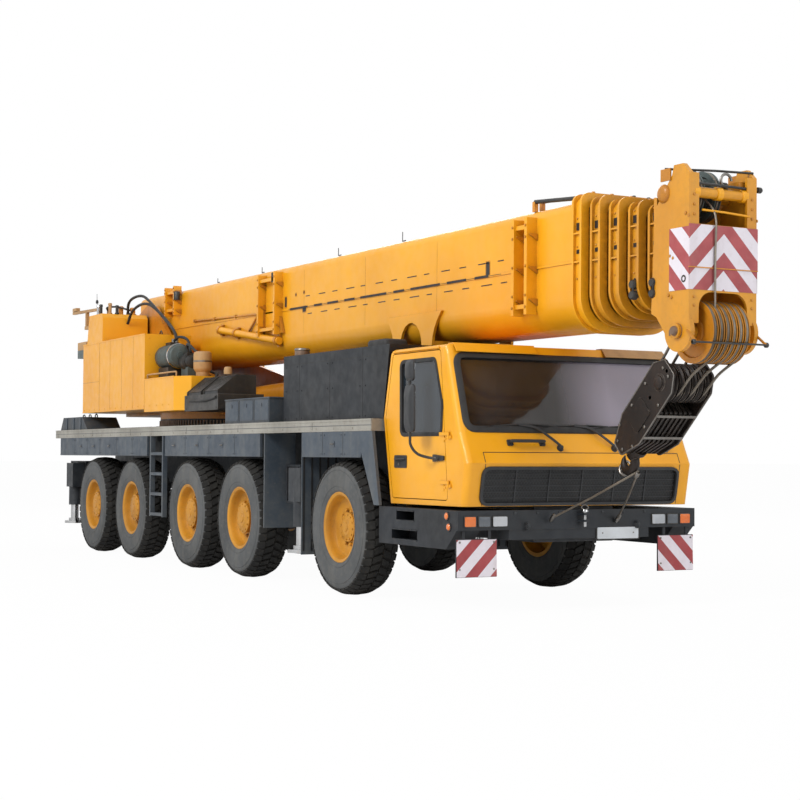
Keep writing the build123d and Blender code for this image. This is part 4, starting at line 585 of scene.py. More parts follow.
def rounded(corners: Flat, radius: float | Sequence[float], steps: int = 5) -> np.ndarray:
    """Rounds the corners of a flat outline.

    Each corner p becomes the quadratic (1 - s)^2 a + 2 s (1 - s) p + s^2 b between the points a
    and b at a distance radius / tan(half its angle) on its two sides.

    Args:
        corners: the outline's corners.
        radius: one radius, or one for each corner.
        steps: points on each corner.

    Returns:
        The outline's points (n, 2).
    """
    here = np.asarray(corners, float)
    before, after = np.roll(here, 1, 0) - here, np.roll(here, -1, 0) - here
    back, on = np.linalg.norm(before, axis=1), np.linalg.norm(after, axis=1)
    cosine = np.clip((before * after).sum(1) / (back * on), -1, 1)
    reach = np.minimum(np.asarray(radius) / np.tan(np.arccos(cosine) / 2), 0.49 * np.minimum(back, on))
    start, end = here + before * (reach / back)[:, None], here + after * (reach / on)[:, None]
    s = np.linspace(0, 1, steps)[None, :, None]
    return ((1 - s) ** 2 * start[:, None] + 2 * s * (1 - s) * here[:, None] + s**2
            * end[:, None]).reshape(-1, 2)


def rectangle(a0: float, a1: float, b0: float, b1: float, radius: float = 0.0, steps: int = 5) -> np.ndarray:
    """Returns a rectangle's outline, with rounded corners if a radius is given."""
    corners = ((a0, b0), (a1, b0), (a1, b1), (a0, b1))
    return rounded(corners, radius, steps) if radius else np.asarray(corners, float)


def spread(outline: np.ndarray, axis: str, place: float) -> np.ndarray:
    """Puts a flat outline into space at a place on the axis that it leaves out."""
    return np.insert(np.asarray(outline, float), "XYZ".index(axis), place, axis=1)


class Surface:
    """A mesh in the making: grids of points, and their faces grouped by finish."""

    def __init__(self) -> None:
        """Starts without points or faces; each face's group is its finish's place in the list."""
        self.points: list[np.ndarray] = []
        self.faces: list[list[int]] = []
        self.groups: list[int] = []
        self.finishes: list[Finish] = []
        self.count = 0

    def add(self, points: np.ndarray, faces: Sequence[Any], finish: Finish) -> "Surface":
        """Adds points (n, 3) and faces given by their indices, of one finish.

        Args:
            points: the points.
            faces: each face's indices into them.
            finish: finish of the faces.

        Returns:
            This surface.
        """
        if finish not in self.finishes:
            self.finishes.append(finish)
        rows = [(np.asarray(face) + self.count).tolist() for face in faces]
        self.faces += rows
        self.groups += [self.finishes.index(finish)] * len(rows)
        self.points.append(np.asarray(points, float))
        self.count += len(points)
        return self

    def sheet(
        self, grid: np.ndarray, finish: Finish, wrap: tuple[bool, bool] = (False, False), caps: bool = False
    ) -> "Surface":
        """Adds a surface P(u, v) given as a grid of points.

        Args:
            grid: points (rows, columns, 3).
            finish: its finish.
            wrap: whether the last row joins the first, and the last column the first.
            caps: closes the first and the last row with a face each.

        Returns:
            This surface.
        """
        rows, cols = grid.shape[:2]
        index = np.arange(rows * cols).reshape(rows, cols)
        ends = [index[0][::-1], index[-1]] if caps else []
        if wrap[0]:
            index = np.vstack((index, index[:1]))
        if wrap[1]:
            index = np.hstack((index, index[:, :1]))
        quads = np.stack((index[:-1, :-1], index[:-1, 1:], index[1:, 1:], index[1:, :-1]), -1).reshape(-1, 4)
        return self.add(grid.reshape(-1, 3), [*quads, *ends], finish)

    def prism(
        self, outline: Flat | np.ndarray, axis: str, start: float, end: float, finish: Finish,
        turn: Matrix | None = None,
    ) -> "Surface":
        """Carries a flat outline straight along an axis, closed at both ends."""
        ends = np.stack([moved(spread(outline, axis, place), turn) for place in (start, end)])
        return self.sheet(ends, finish, (False, True), True)

    def box(self, low: Point, high: Point, finish: Finish, turn: Matrix | None = None) -> "Surface":
        """Adds a square block between two opposite corners: a rectangle carried along Z."""
        (x0, y0, z0), (x1, y1, z1) = np.sort((low, high), axis=0)
        return self.prism(rectangle(x0, x1, y0, y1), "Z", z0, z1, finish, turn)

    def turned(
        self, profile: Flat | np.ndarray, centre: Point, axis: str, finish: Finish, steps: int = 48,
        closed: bool = False, turn: Matrix | None = None,
    ) -> "Surface":
        """Turns a profile about an axis: P(a, i) = centre + r_i (cos a, sin a) + d_i along the axis.

        Args:
            profile: radius r and distance d along the axis of each corner.
            centre: point that the distances start from.
            axis: the axis.
            finish: its finish.
            steps: faces round the circle.
            closed: joins the profile's last corner to its first.
            turn: a matrix for all of it.

        Returns:
            This surface.
        """
        r, d = np.asarray(profile, float).T
        angle = np.linspace(0, 2 * math.pi, steps, endpoint=False)[:, None]
        flat = [np.cos(angle) * r, np.sin(angle) * r]
        flat.insert("XYZ".index(axis), np.broadcast_to(d, (steps, len(d))))
        grid = np.stack(flat, -1) + np.asarray(centre)
        return self.sheet(moved(grid.reshape(-1, 3), turn).reshape(grid.shape), finish, (True, closed))

    def carried(
        self, path: Sequence[Point] | np.ndarray, profile: Flat | np.ndarray, finish: Finish,
        closed: bool = False, normal: Point | None = None,
    ) -> "Surface":
        """Carries a flat profile (a, b) along a path: P(i, j) = path_i + a_j side_i + b_j up.

        Args:
            path: the path's points.
            profile: the profile's points.
            finish: its finish.
            closed: whether the path's end joins its start.
            normal: the path's plane, which is worked out if none is given; side is the tangent
                crossed with it, and up is side crossed with the tangent.

        Returns:
            This surface.
        """
        rows = np.asarray(path, float)
        if closed:
            ahead = np.roll(rows, -1, 0) - np.roll(rows, 1, 0)
        else:
            ahead = np.gradient(rows, axis=0)
        ahead /= np.linalg.norm(ahead, axis=1)[:, None]
        plane = np.linalg.svd(rows - rows.mean(0))[2][-1] if normal is None else np.asarray(normal, float)
        side = np.cross(ahead, plane)
        side /= np.linalg.norm(side, axis=1)[:, None]
        up = np.cross(side, ahead)
        a, b = np.asarray(profile, float).T
        grid = rows[:, None] + a[None, :, None] * side[:, None] + b[None, :, None] * up[:, None]
        return self.sheet(grid, finish, (closed, True), not closed)

    def tube(
        self, path: Sequence[Point] | np.ndarray, radius: float, finish: Finish, sides: int = 10,
        closed: bool = False,
    ) -> "Surface":
        """Carries a circle along a path."""
        angle = np.linspace(0, 2 * math.pi, sides, endpoint=False)
        return self.carried(path, radius * np.stack((np.cos(angle), np.sin(angle)), -1), finish, closed)

    def repeat(self, shape: "Surface", turns: np.ndarray, finish: Finish) -> "Surface":
        """Adds a shape once for each matrix: P(m, i) = M_m p_i.

        Args:
            shape: the shape that is repeated.
            turns: matrices (m, 4, 4).
            finish: finish of them all.

        Returns:
            This surface.
        """
        points = np.vstack(shape.points)
        places = np.einsum("mij,nj->mni", turns[:, :3, :3], points) + turns[:, None, :3, 3]
        faces = [(np.asarray(face)[None] + np.arange(len(turns))[:, None] * len(points))
                 for face in shape.faces]
        return self.add(places.reshape(-1, 3), [row for block in faces for row in block], finish)

    def bolts(
        self, places: Sequence[Point] | np.ndarray, axis: str, finish: Finish, radius: float = 0.014,
        height: float = 0.012, sign: int = 1,
    ) -> "Surface":
        """Adds hexagonal bolt heads at places, standing out along an axis.

        Args:
            places: middle of each head's seat.
            axis: axis that they stand along.
            finish: finish of the heads.
            radius: their radius over the corners.
            height: how far they stand out.
            sign: -1 where they stand out against the axis.

        Returns:
            This surface.
        """
        profile = ((0.0, 1.0), (0.72, 1.0), (1.0, 0.78), (1.0, -0.3))
        head = Surface().turned([(r * radius, sign * d * height) for r, d in profile], (0, 0, 0), axis, finish,
                                6)
        turns = np.tile(np.eye(4), (len(places), 1, 1))
        turns[:, :3, 3] = np.asarray(places, float)
        return self.repeat(head, turns, finish)

    def build(
        self, name: str, body: str, replaces: Sequence[str] = (), frame: Matrix = AXLE, bevel: float = 0.0,
        angle: float = 35.0,
    ) -> bpy.types.Object:
        """Makes the Blender object, gives it its materials and lets it ride on a body.

        Args:
            name: the object's name.
            body: the CAD body that it moves with.
            replaces: CAD nodes that it stands for.
            frame: matrix from the points' frame to the part's.
            bevel: width of its rounded edges.
            angle: edges sharper than this stay sharp, in degrees.

        Returns:
            The object.
        """
        mesh = bpy.data.meshes.new(name)
        mesh.from_pydata(moved(np.vstack(self.points), frame).tolist(), [], self.faces)
        for finish in self.finishes:
            mesh.materials.append(finish.material)
        mesh.polygons.foreach_set("material_index", self.groups)
        shell = bmesh.new()
        shell.from_mesh(mesh)
        bmesh.ops.remove_doubles(shell, verts=shell.verts, dist=2e-6)
        bmesh.ops.recalc_face_normals(shell, faces=shell.faces)
        shell.to_mesh(mesh)
        shell.free()
        mesh.polygons.foreach_set("use_smooth", np.ones(len(mesh.polygons), dtype=bool))
        mesh.set_sharp_from_angle(angle=math.radians(angle))
        mesh.update()
        thing = bpy.data.objects.new(name, mesh)
        bpy.context.scene.collection.objects.link(thing)
        if bevel:
            rounding = thing.modifiers.new("rounded_edges", "BEVEL")
            rounding.width = bevel
            rounding.segments = 2
            rounding.limit_method = "ANGLE"
            rounding.angle_limit = math.radians(40)
            rounding.harden_normals = True
        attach(thing, body)
        if replaces:
            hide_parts(*replaces)
        return thing


@dataclass(frozen=True)
class View:
    """The photograph's camera."""

    place: Point = (17.343, -8.532, 1.402)
    yaw: float = 28.31
    pitch: float = 1.99
    roll: float = 0.33
    focal_pixels: float = 1613.1
    width: float = 800.0
    sensor: float = 36.0

    def make(self) -> None:
        """Makes the camera and sets it as the scene's."""
        yaw, pitch, roll = (math.radians(a) for a in (self.yaw, self.pitch, self.roll))
        ahead = Vector((-math.cos(yaw) * math.cos(pitch), math.sin(yaw) * math.cos(pitch), math.sin(pitch)))
        right = ahead.cross(Vector((0, 0, 1))).normalized()
        up = right.cross(ahead)
        across = right * math.cos(roll) + up * math.sin(roll)
        above = up * math.cos(roll) - right * math.sin(roll)
        camera = bpy.data.cameras.new("camera")
        camera.sensor_fit = "HORIZONTAL"
        camera.sensor_width = self.sensor
        camera.lens = self.focal_pixels / self.width * self.sensor
        camera.clip_end = 400
        thing = bpy.data.objects.new("camera", camera)
        rows = Matrix((across, above, -ahead)).transposed().to_4x4()
        rows.translation = Vector(self.place)
        thing.matrix_world = rows
        bpy.context.scene.collection.objects.link(thing)
        bpy.context.scene.camera = thing


@dataclass(frozen=True)
class Lamp:
    """A square soft lamp."""

    name: str
    place: Point
    target: Point
    size: float
    power: float


@dataclass(frozen=True)
class Studio:
    """White floor and sky, and soft lamps at a level at which a colour renders as it is written."""

    lamps: tuple[Lamp, ...] = (Lamp("key", (9.0, -21.0, 17.0), (0.5, 0.0, 1.8), 8.0, 3900.0),
                               Lamp("front_fill", (24.0, 5.0, 8.0), (4.0, 0.0, 1.5), 9.0, 800.0),
                               Lamp("rear_fill", (-18.0, 10.0, 12.0), (-2.0, 0.0, 1.8), 8.0, 900.0))
    reach: float = 300.0
    sky: float = 0.55
    floor_glow: float = 0.97

    def make(self) -> None:
        """Makes the studio."""
        floor = bpy.data.meshes.new("floor")
        reach = self.reach
        corners = [(-reach, -reach, 0), (reach, -reach, 0), (reach, reach, 0), (-reach, reach, 0)]
        floor.from_pydata(corners, [], [(0, 1, 2, 3)])
        thing = bpy.data.objects.new("floor", floor)
        bpy.context.scene.collection.objects.link(thing)
        floor.materials.append(self.paper())
        bpy.context.scene.world = self.dome()
        for lamp in self.lamps:
            light = bpy.data.lights.new(lamp.name, "AREA")
            light.size, light.energy = lamp.size, lamp.power
            thing = bpy.data.objects.new(lamp.name, light)
            thing.location = lamp.place
            thing.rotation_euler = (Vector(lamp.target) - Vector(lamp.place)).to_track_quat("-Z",
                                                                                            "Y").to_euler()
            bpy.context.scene.collection.objects.link(thing)
        bpy.context.scene.view_settings.view_transform = "Standard"

    def paper(self) -> bpy.types.Material:
        """Makes the floor's matt white paper, which glows a little for the camera alone.

        Returns:
            The material.
        """
        material = bpy.data.materials.new("studio_paper")
        material.use_nodes = True
        tree = material.node_tree
        tree.nodes.clear()
        place = add_node(tree, "ShaderNodeTexCoord").outputs["Object"]
        shade = add_node(tree, "ShaderNodeMix", {"data_type": "RGBA"},
                         {0: Grain(2500, 0.3, 0.7).socket(tree, place), 6: linear("F4F4F4"),
                          7: linear("F0F0F0")})
        matt = add_node(tree, "ShaderNodeBsdfPrincipled",
                        inputs={"Base Color": shade.outputs[2], "Roughness": 0.9})
        glow = add_node(tree, "ShaderNodeEmission", inputs={"Strength": 1.0})
        ray = add_node(tree, "ShaderNodeLightPath").outputs["Is Camera Ray"]
        share = add_node(tree, "ShaderNodeMath", {"operation": "MULTIPLY"}, {0: ray, 1: self.floor_glow})
        both = add_node(tree, "ShaderNodeMixShader", inputs={0: share.outputs[0], 1: matt.outputs[0],
                                                             2: glow.outputs[0]})
        add_node(tree, "ShaderNodeOutputMaterial", inputs={"Surface": both.outputs[0]})
        return material

    def dome(self) -> bpy.types.World:
        """Makes the sky: white where it is seen, mirrored or looked through, and weaker as a light.

        Returns:
            The world.
        """
        world = bpy.data.worlds.new("sky")
        world.use_nodes = True
        tree = world.node_tree
        tree.nodes.clear()
        path = add_node(tree, "ShaderNodeLightPath")
        seen = path.outputs["Is Camera Ray"]
        for other in ("Is Glossy Ray", "Is Transmission Ray"):
            seen = add_node(tree, "ShaderNodeMath", {"operation": "MAXIMUM"},
                            {0: seen, 1: path.outputs[other]}).outputs[0]
        strength = add_node(tree, "ShaderNodeMapRange", inputs={"Value": seen, "To Min": self.sky,
                                                                "To Max": 1.0})
        back = add_node(tree, "ShaderNodeBackground", inputs={"Color": (1.0, 1.0, 1.0, 1.0),
                                                              "Strength": strength.outputs[0]})
        add_node(tree, "ShaderNodeOutputWorld", inputs={"Surface": back.outputs[0]})
        return world


@dataclass(frozen=True)
class Wheels:
    """Ten wheels: block-treaded tyres on deep-dish rims, with planetary hubs behind the first axle."""

    axles: tuple[float, ...] = (0.0, -2.6, -4.26, -6.38, -8.04)
    height: float = 0.683
    face: float = 1.375
    width: float = 0.385
    disc: float = 0.150
    lugs: int = 44
    front_hub: tuple[float, float] = (0.135, 0.045)
    driven_hub: tuple[float, float] = (0.165, 0.092)

    def out(self, side: int, profile: Flat) -> list[tuple[float, float]]:
        """Turns depths below the tyre's face into distances along Y on a side."""
        return [(r, side * (self.face - d)) for r, d in profile]

    def tyre(self, side: int) -> Surface:
        """Makes a tyre: a carcass turned about its axle, with ribs on its sidewall and tread blocks.

        Args:
            side: -1 on the right, 1 on the left.

        Returns:
            The surface.
        """
        w = self.width
        wall = ((0.335, 0.040), (0.352, 0.030), (0.366, 0.016), (0.385, 0.010), (0.400, 0.006), (0.404, 0.009),
                (0.410, 0.009), (0.414, 0.0045), (0.44, 0.001), (0.47, 0.0), (0.53, 0.002), (0.566, 0.005),
                (0.570, 0.010), (0.576, 0.010), (0.580, 0.007), (0.60, 0.012), (0.622, 0.021), (0.632, 0.030))
        crown = ((0.632, 0.030), (0.646, 0.048), (0.654, 0.08), (0.658, w / 2))
        whole = [*crown, *((r, w - d) for r, d in reversed(crown[:-1]))]
        back = [(r, w - d) for r, d in reversed(wall)]
        shape = Surface()
        for profile, finish in ((wall, Finish.SIDEWALL), (whole, Finish.TREAD), (back, Finish.SIDEWALL)):
            shape.turned(self.out(side, profile), (0, 0, 0), "Y", finish, 96)
        shape.turned(self.out(side, (back[-1], wall[0])), (0, 0, 0), "Y", Finish.SIDEWALL, 96)
        self.tread(shape, side)
        return shape

    def tread(self, shape: Surface, side: int) -> None:
        """Adds the blocks: P = r (cos a, sin a), a = middle + slip(d) + share, at both ends of each row.

        Args:
            shape: the tyre, which the blocks are added to.
            side: -1 on the right, 1 on the left.
        """
        w = self.width
        step = 2 * math.pi / self.lugs
        # depth at start and end, share of the pitch, stagger, radius at start and end, slip
        rows = ((0.012, 0.088, 0.37, 0.0, 0.636, 0.672, 0.10), (0.098, 0.186, 0.33, 0.5, 0.674, 0.682, 0.20),
                (w - 0.186, w - 0.098, 0.33, 0.0, 0.682, 0.674, -0.20),
                (w - 0.088, w - 0.012, 0.37, 0.5, 0.672, 0.636, -0.10))
        middle = np.arange(self.lugs)[:, None] * step
        faces = np.array(((2, 3, 7, 6), (0, 2, 6, 4), (1, 5, 7, 3), (0, 1, 3, 2), (4, 6, 7, 5)))
        for start, end, share, stagger, r0, r1, slip in rows:
            low = 0.648 if min(r0, r1) > 0.65 else 0.0
            radius = np.array([low or r0 - 0.02, low or r0 - 0.02, r0, r0, low or r1 - 0.02, low or r1 - 0.02,
                               r1, r1])
            depth = np.repeat((start, end), 4)
            offset = np.repeat((-slip, slip), 4) + np.tile((-share * 1.06, share * 1.06, -share, share), 2)
            angle = middle + (stagger + offset) * step
            across = np.broadcast_to(side * (self.face - depth), angle.shape)
            points = np.stack((radius * np.cos(angle), across, radius * np.sin(angle)), -1).reshape(-1, 3)
            blocks = (faces[None] + 8 * np.arange(self.lugs)[:, None, None]).reshape(-1, 4)
            shape.add(points, blocks, Finish.TREAD)

    def rim(self, side: int, hub_r: float, reach: float) -> Surface:
        """Makes a rim: the dish turned about its axle, with wheel nuts and a hub's cover bolts.

        Args:
            side: -1 on the right, 1 on the left.
            hub_r: radius of the hub.
            reach: how far the hub stands out of the dish.

        Returns:
            The surface.
        """
        w, disc = self.width, self.disc
        hub = disc - reach
        dish = ((0.330, 0.0335), (0.3555, 0.031), (0.3575, 0.026), (0.3555, 0.0225), (0.349, 0.022),
                (0.338, 0.028), (0.325, 0.034), (0.318, 0.048), (0.3125, 0.075), (0.3095, disc - 0.046),
                (0.296, disc - 0.022), (0.28, disc - 0.014), (0.262, disc - 0.012),
                (hub_r + 0.075, disc - 0.004), (hub_r + 0.066, disc), (hub_r + 0.012, disc),
                (hub_r + 0.003, disc - 0.006), (hub_r, disc - 0.02), (hub_r, hub + 0.03),
                (hub_r + 0.012, hub + 0.028), (hub_r + 0.012, hub + 0.014), (hub_r - 0.004, hub + 0.012),
                (hub_r - 0.020, hub + 0.004), (hub_r * 0.66, hub), (hub_r * 0.60, hub - 0.006),
                (hub_r * 0.34, hub - 0.006), (hub_r * 0.30, hub - 0.014), (0.0, hub - 0.014))
        shape = Surface().turned(self.out(side, dish), (0, 0, 0), "Y", Finish.RIM, 72)
        back = ((0.330, 0.0335), (0.3315, 0.06), (0.3315, w - 0.06), (0.3555, w - 0.036), (0.3555, w - 0.024),
                (0.314, w - 0.022), (0.3095, disc + 0.01), (0.28, disc + 0.012), (0.12, disc + 0.02),
                (0.11, disc + 0.028))
        shape.turned(self.out(side, back), (0, 0, 0), "Y", Finish.RIM, 72)
        for count, circle, depth, radius, height in ((10, hub_r + 0.040, disc, 0.017, 0.030),
                                                     (12, hub_r - 0.012, hub + 0.010, 0.009, 0.010)):
            a = 2 * math.pi * (np.arange(count) + 0.5) / count
            places = np.stack((circle * np.cos(a), np.full(count, side * (self.face - depth)),
                               circle * np.sin(a)), -1)
            shape.bolts(places, "Y", Finish.RIM, radius, height, side)
        return shape

    def make(self) -> int:
        """Makes all ten wheels, each riding on its own body, and returns their number.

        Returns:
            The number of pieces.
        """
        for name, side in SIDES:
            for number, x in enumerate(self.axles, start=1):
                body = f"wheel_{number}_{name}"
                turn = AXLE @ Matrix.Translation((x, 0, self.height)) @ Matrix.Rotation(0.37 * number, 4, "Y")
                self.tyre(side).build(f"tyre_{number}_{name}", body, (body,), turn)
                hub = self.front_hub if number == 1 else self.driven_hub
                self.rim(side, *hub).build(f"rim_{number}_{name}", body, (body,), turn, angle=28)
        return 2 * len(self.axles)


@dataclass(frozen=True)
class CabTrim:
    """Seals, wipers, seams, grille and mirrors of the driver's cab."""

    glass_foot: tuple[float, float] = (2.215, 1.625)
    glass_top: tuple[float, float] = (1.990, 2.345)
    crease: tuple[float, float] = (2.350, 1.345)
    chin: tuple[float, float] = (2.275, 0.955)
    screen: tuple[float, float] = (2.350, 0.7143)
    grille: tuple[float, float] = (2.160, 0.331)
    half: float = 1.250
    window: Flat = ((1.110, 1.600), (1.100, 2.300), (1.770, 2.300), (1.905, 1.880), (1.890, 1.600))
    pivots: tuple[float, ...] = (-0.225, 0.381, 0.976)

    def plane(self, low: tuple[float, float], high: tuple[float, float]) -> Matrix:
        """Returns the matrix of a plane across the cab: X to the left, Y up along it, Z forwards off it.

        Args:
            low: (x, z) of its lower edge.
            high: (x, z) of its upper edge.

        Returns:
            The matrix.
        """
        up = Vector((high[0] - low[0], 0, high[1] - low[1])).normalized()
        across = Vector((0, 1, 0))
        rows = Matrix((across, up, across.cross(up))).transposed().to_4x4()
        rows.translation = Vector(((low[0] + high[0]) / 2, 0, (low[1] + high[1]) / 2))
        return rows

    def screen_frame(self) -> Surface:
        """Makes the windscreen's rubber surround: a lipped profile carried round its opening.

        Returns:
            The surface.
        """
        plane = self.plane(self.glass_foot, self.glass_top)
        w, h = self.screen[0] / 2, self.screen[1] / 2
        edge = rectangle(-w, w, -h, h, 0.10, 9)
        path = moved(spread(edge, "Z", 0.0), plane)
        lip = ((-0.030, -0.020), (-0.030, 0.005), (-0.016, 0.010), (0.004, 0.008), (0.024, 0.012),
               (0.030, 0.004), (0.026, -0.008), (0.004, -0.020))
        shape = Surface().carried(path, np.asarray(lip) * (1.0, -1.0), Finish.RUBBER, True,
                                  tuple(plane.col[2][:3]))
        chrome = moved(spread(rectangle(-w - .004, w + .004, -h - .004, h + .004, 0.10, 9), "Z", 0.010), plane)
        return shape.tube(chrome, 0.0035, Finish.PLASTIC, 6, True)

    def window_frame(self, side: int) -> Surface:
        """Makes a door window's rubber surround.

        Args:
            side: -1 on the right, 1 on the left.

        Returns:
            The surface.
        """
        edge = rounded(self.window, 0.07, 7)
        path = spread(edge, "Y", side * self.half)
        lip = ((-0.022, -0.03), (-0.022, 0.004), (-0.008, 0.008), (0.012, 0.006), (0.016, -0.004),
               (0.010, -0.03))
        return Surface().carried(path, np.asarray(lip) * (1.0, side), Finish.RUBBER, True, (0, 1, 0))

    def front(self) -> Surface:
        """Makes what lies on the front wall: panel lines, grab handles, grille screen and its frame.

        Returns:
            The surface.
        """
        shape = Surface()
        upper = self.plane(self.crease, self.glass_foot)
        low = self.plane(self.chin, self.crease)
        foot = upper.inverted() @ Vector((2.304, 0, 1.44))
        seam = 0.0016
        shape.prism(rectangle(-1.06, 1.10, foot[1] - 0.003, foot[1] + 0.003), "Z", -seam, seam, Finish.RUBBER,
                    upper)
        for y in (-1.06, 1.10):
            shape.prism(rectangle(y - 0.003, y + 0.003, foot[1] - 0.10, foot[1]), "Z", -seam, seam,
                        Finish.RUBBER, upper)
            shape.prism(rectangle(y - 0.003, y + 0.003, -0.19, 0.19), "Z", -seam, seam, Finish.RUBBER, low)
        for y0, y1 in ((-0.755, -0.411), (0.473, 0.647)):
            bar = moved(curve(((y0, 0.045, 0.0), (y0, 0.045, 0.035), (y0 + 0.03, 0.045, 0.045),
                               (y1 - 0.03, 0.045, 0.045), (y1, 0.045, 0.035), (y1, 0.045, 0.0))), upper)
            shape.tube(bar, 0.016, Finish.PLASTIC, 8)
            for y in (y0, y1):
                shape.prism(rectangle(y - .03, y + .03, .015, .075, .012), "Z", 0, 0.012, Finish.PLASTIC, upper)
        w, h = self.grille[0] / 2, self.grille[1] / 2
        drop = -0.012
        inside = rectangle(-w + .003, w - .003, -h + .003 + drop, h - .003 + drop, 0.078, 7)
        shape.prism(inside, "Z", -0.0235, -0.012, Finish.SCREEN, low)
        edge = moved(spread(rectangle(-w, w, -h + drop, h + drop, 0.08, 7), "Z", 0), low)
        lip = ((-0.014, -0.02), (-0.014, 0.003), (0.004, 0.007), (0.014, 0.002), (0.012, -0.02))
        shape.carried(edge, np.asarray(lip) * (1, -1), Finish.PLASTIC, True, tuple(low.col[2][:3]))
        for n in range(1, 6):
            z = -h + drop + n * 2 * h / 6
            shape.prism(rectangle(-w + 0.02, w - 0.02, z - 0.003, z + 0.003), "Z", -0.013, -0.006,
                        Finish.PLASTIC, low)
        for y in (-0.72, -0.36, 0.0, 0.36, 0.72):
            shape.prism(rectangle(y - .006, y + .006, -h + drop + .004, h + drop - .004), "Z", -.013, -.004,
                        Finish.PLASTIC, low)
        return shape

    def wipers(self) -> Surface:
        """Makes three wipers: pivot caps, flat arms carried along a bow, and blades on the glass.

        Returns:
            The surface.
        """
        shape = Surface()
        upper = self.plane(self.crease, self.glass_foot)
        glass = self.plane(self.glass_foot, self.glass_top)
        foot = -0.36
        for y in self.pivots:
            base = upper.inverted() @ Vector((2.28, y, 1.478))
            shape.turned(((0, .040), (.014, .040), (.020, .030), (.024, .006), (.034, .004), (.034, -.002)),
                         (y, base[1], 0), "Z", Finish.PLASTIC, 16, turn=upper)
            start = upper @ Vector((y, base[1], 0.034))
            middle = glass @ Vector((y - 0.24, foot + 0.015, 0.040))
            end = glass @ Vector((y - 0.40, foot + 0.050, 0.018))
            arm = ((-0.011, -0.005), (0.011, -0.005), (0.011, 0.005), (-0.011, 0.005))
            shape.carried(curve([tuple(p) for p in (start, start.lerp(middle, 0.5) + Vector((0.02, 0, 0)),
                                                    middle, end)], 4), arm, Finish.PLASTIC,
                          normal=tuple(glass.col[2][:3]))
            blade = [tuple(glass @ Vector((y - 0.40 + s * 0.38, foot + 0.050 + s * 0.012 - 0.02 * s * s, 0.0)))
                     for s in (-1.0, -0.5, 0.0, 0.5, 1.0)]
            rubber = ((-0.007, 0.0), (0.007, 0.0), (0.009, -0.012), (0.004, -0.020), (-0.004, -0.020),
                      (-0.009, -0.012))
            shape.carried(curve(blade, 4), np.asarray(rubber) * (1, -1), Finish.RUBBER,
                          normal=tuple(glass.col[2][:3]))
        return shape

    def roof(self) -> Surface:
        """Makes the roof's front strip, the visor's flap, the gutter over each door and the ribs.

        Returns:
            The surface.
        """
        shape = Surface()
        strip = rounded(((1.86, 2.4245), (1.95, 2.4245), (2.015, 2.352), (2.026, 2.358), (1.956, 2.438),
                         (1.86, 2.438)), .006)
        shape.prism(strip, "Y", -1.17, -0.30, Finish.YELLOW)
        shape.prism(strip, "Y", 0.47, 1.19, Finish.SAND)
        gutter = ((-0.012, 0.0), (0.012, 0.0), (0.012, 0.010), (0.004, 0.020), (-0.012, 0.012))
        for _, side in SIDES:
            path = curve(((0.95, side * 1.248, 2.388), (1.30, side * 1.248, 2.390),
                          (1.84, side * 1.248, 2.388)), 3)
            shape.carried(path, gutter, Finish.YELLOW, normal=(0, 0, 1))
        for y in (-0.8, -0.4, 0.0, 0.4, 0.8):
            shape.box((1.05, y - 0.03, 2.4245), (1.80, y + 0.03, 2.433), Finish.YELLOW)
        return shape

    def door(self, side: int) -> Surface:
        """Makes what lies on a door: the handle's pocket, grip, lock, hinge caps and mirror foot.

        Args:
            side: -1 on the right, 1 on the left.

        Returns:
            The surface.
        """
        y = side * self.half
        shape = Surface()
        pocket = rectangle(0.99, 1.235, 1.29, 1.41, 0.018)
        shape.prism(pocket, "Y", y - side * 0.001, y + side * 0.006, Finish.PLASTIC)
        shape.prism(rectangle(1.01, 1.215, 1.31, 1.39, .012), "Y", y, y + side * .008, Finish.RUBBER)
        grip = curve(((1.02, y + side * .006, 1.372), (1.05, y + side * .026, 1.374),
                      (1.17, y + side * .026, 1.374), (1.20, y + side * .006, 1.372)), 4)
        shape.tube(grip, 0.011, Finish.PLASTIC, 8)
        lock = ((0, .012), (.012, .012), (.014, .004), (.014, 0))
        shape.turned([(r, side * d) for r, d in lock], (1.085, y, 1.325), "Y", Finish.BARE_STEEL, 12)
        for z in (1.12, 1.56):
            shape.bolts([(1.935, y, z - 0.02), (1.935, y, z + 0.02), (1.965, y, z)], "Y", Finish.YELLOW, .010,
                        .007, side)
        return shape

    def mirror(self, side: int) -> Surface:
        """Makes the mirrors: cambered shells with their glass, on a bent tube from the door.

        Args:
            side: -1 on the right, 1 on the left.

        Returns:
            The surface.
        """
        shape = Surface()
        for (x0, x1, z0, z1), deep in (((1.56, 1.76, 1.62, 2.06), 0.045), ((1.575, 1.745, 2.09, 2.285), 0.042)):
            inner = side * 1.445
            outline = rectangle(x0, x1, z0, z1, 0.045, 6)
            middle = outline.mean(0)
            rings = [spread(middle + (outline - middle) * s, "Y", inner + side * d)
                     for s, d in ((0.0, deep), (0.45, deep), (0.72, deep * .86), (0.9, deep * .55),
                                  (0.985, .016), (1.0, .004), (0.985, -.002), (0.93, -.003))]
            yaw = Matrix.Rotation(side * math.radians(5), 4, "Z")
            back = Matrix.Translation((-1.66, -side * 1.47, 0))
            turn = Matrix.Translation((1.66, side * 1.47, 0)) @ yaw @ back
            grid = np.stack(rings)
            shape.sheet(moved(grid.reshape(-1, 3), turn).reshape(grid.shape), Finish.PLASTIC, (False, True),
                        True)
            glass = middle + (outline - middle) * 0.92
            shape.prism(glass, "Y", inner - side * .005, inner - side * .0025, Finish.MIRROR, turn)
        arm = ((1.85, side * 1.2505, 1.385), (1.80, side * 1.30, 1.385), (1.72, side * 1.40, 1.42),
               (1.665, side * 1.445, 1.50), (1.66, side * 1.452, 1.60), (1.66, side * 1.455, 1.90),
               (1.66, side * 1.455, 2.18), (1.66, side * 1.45, 2.27))
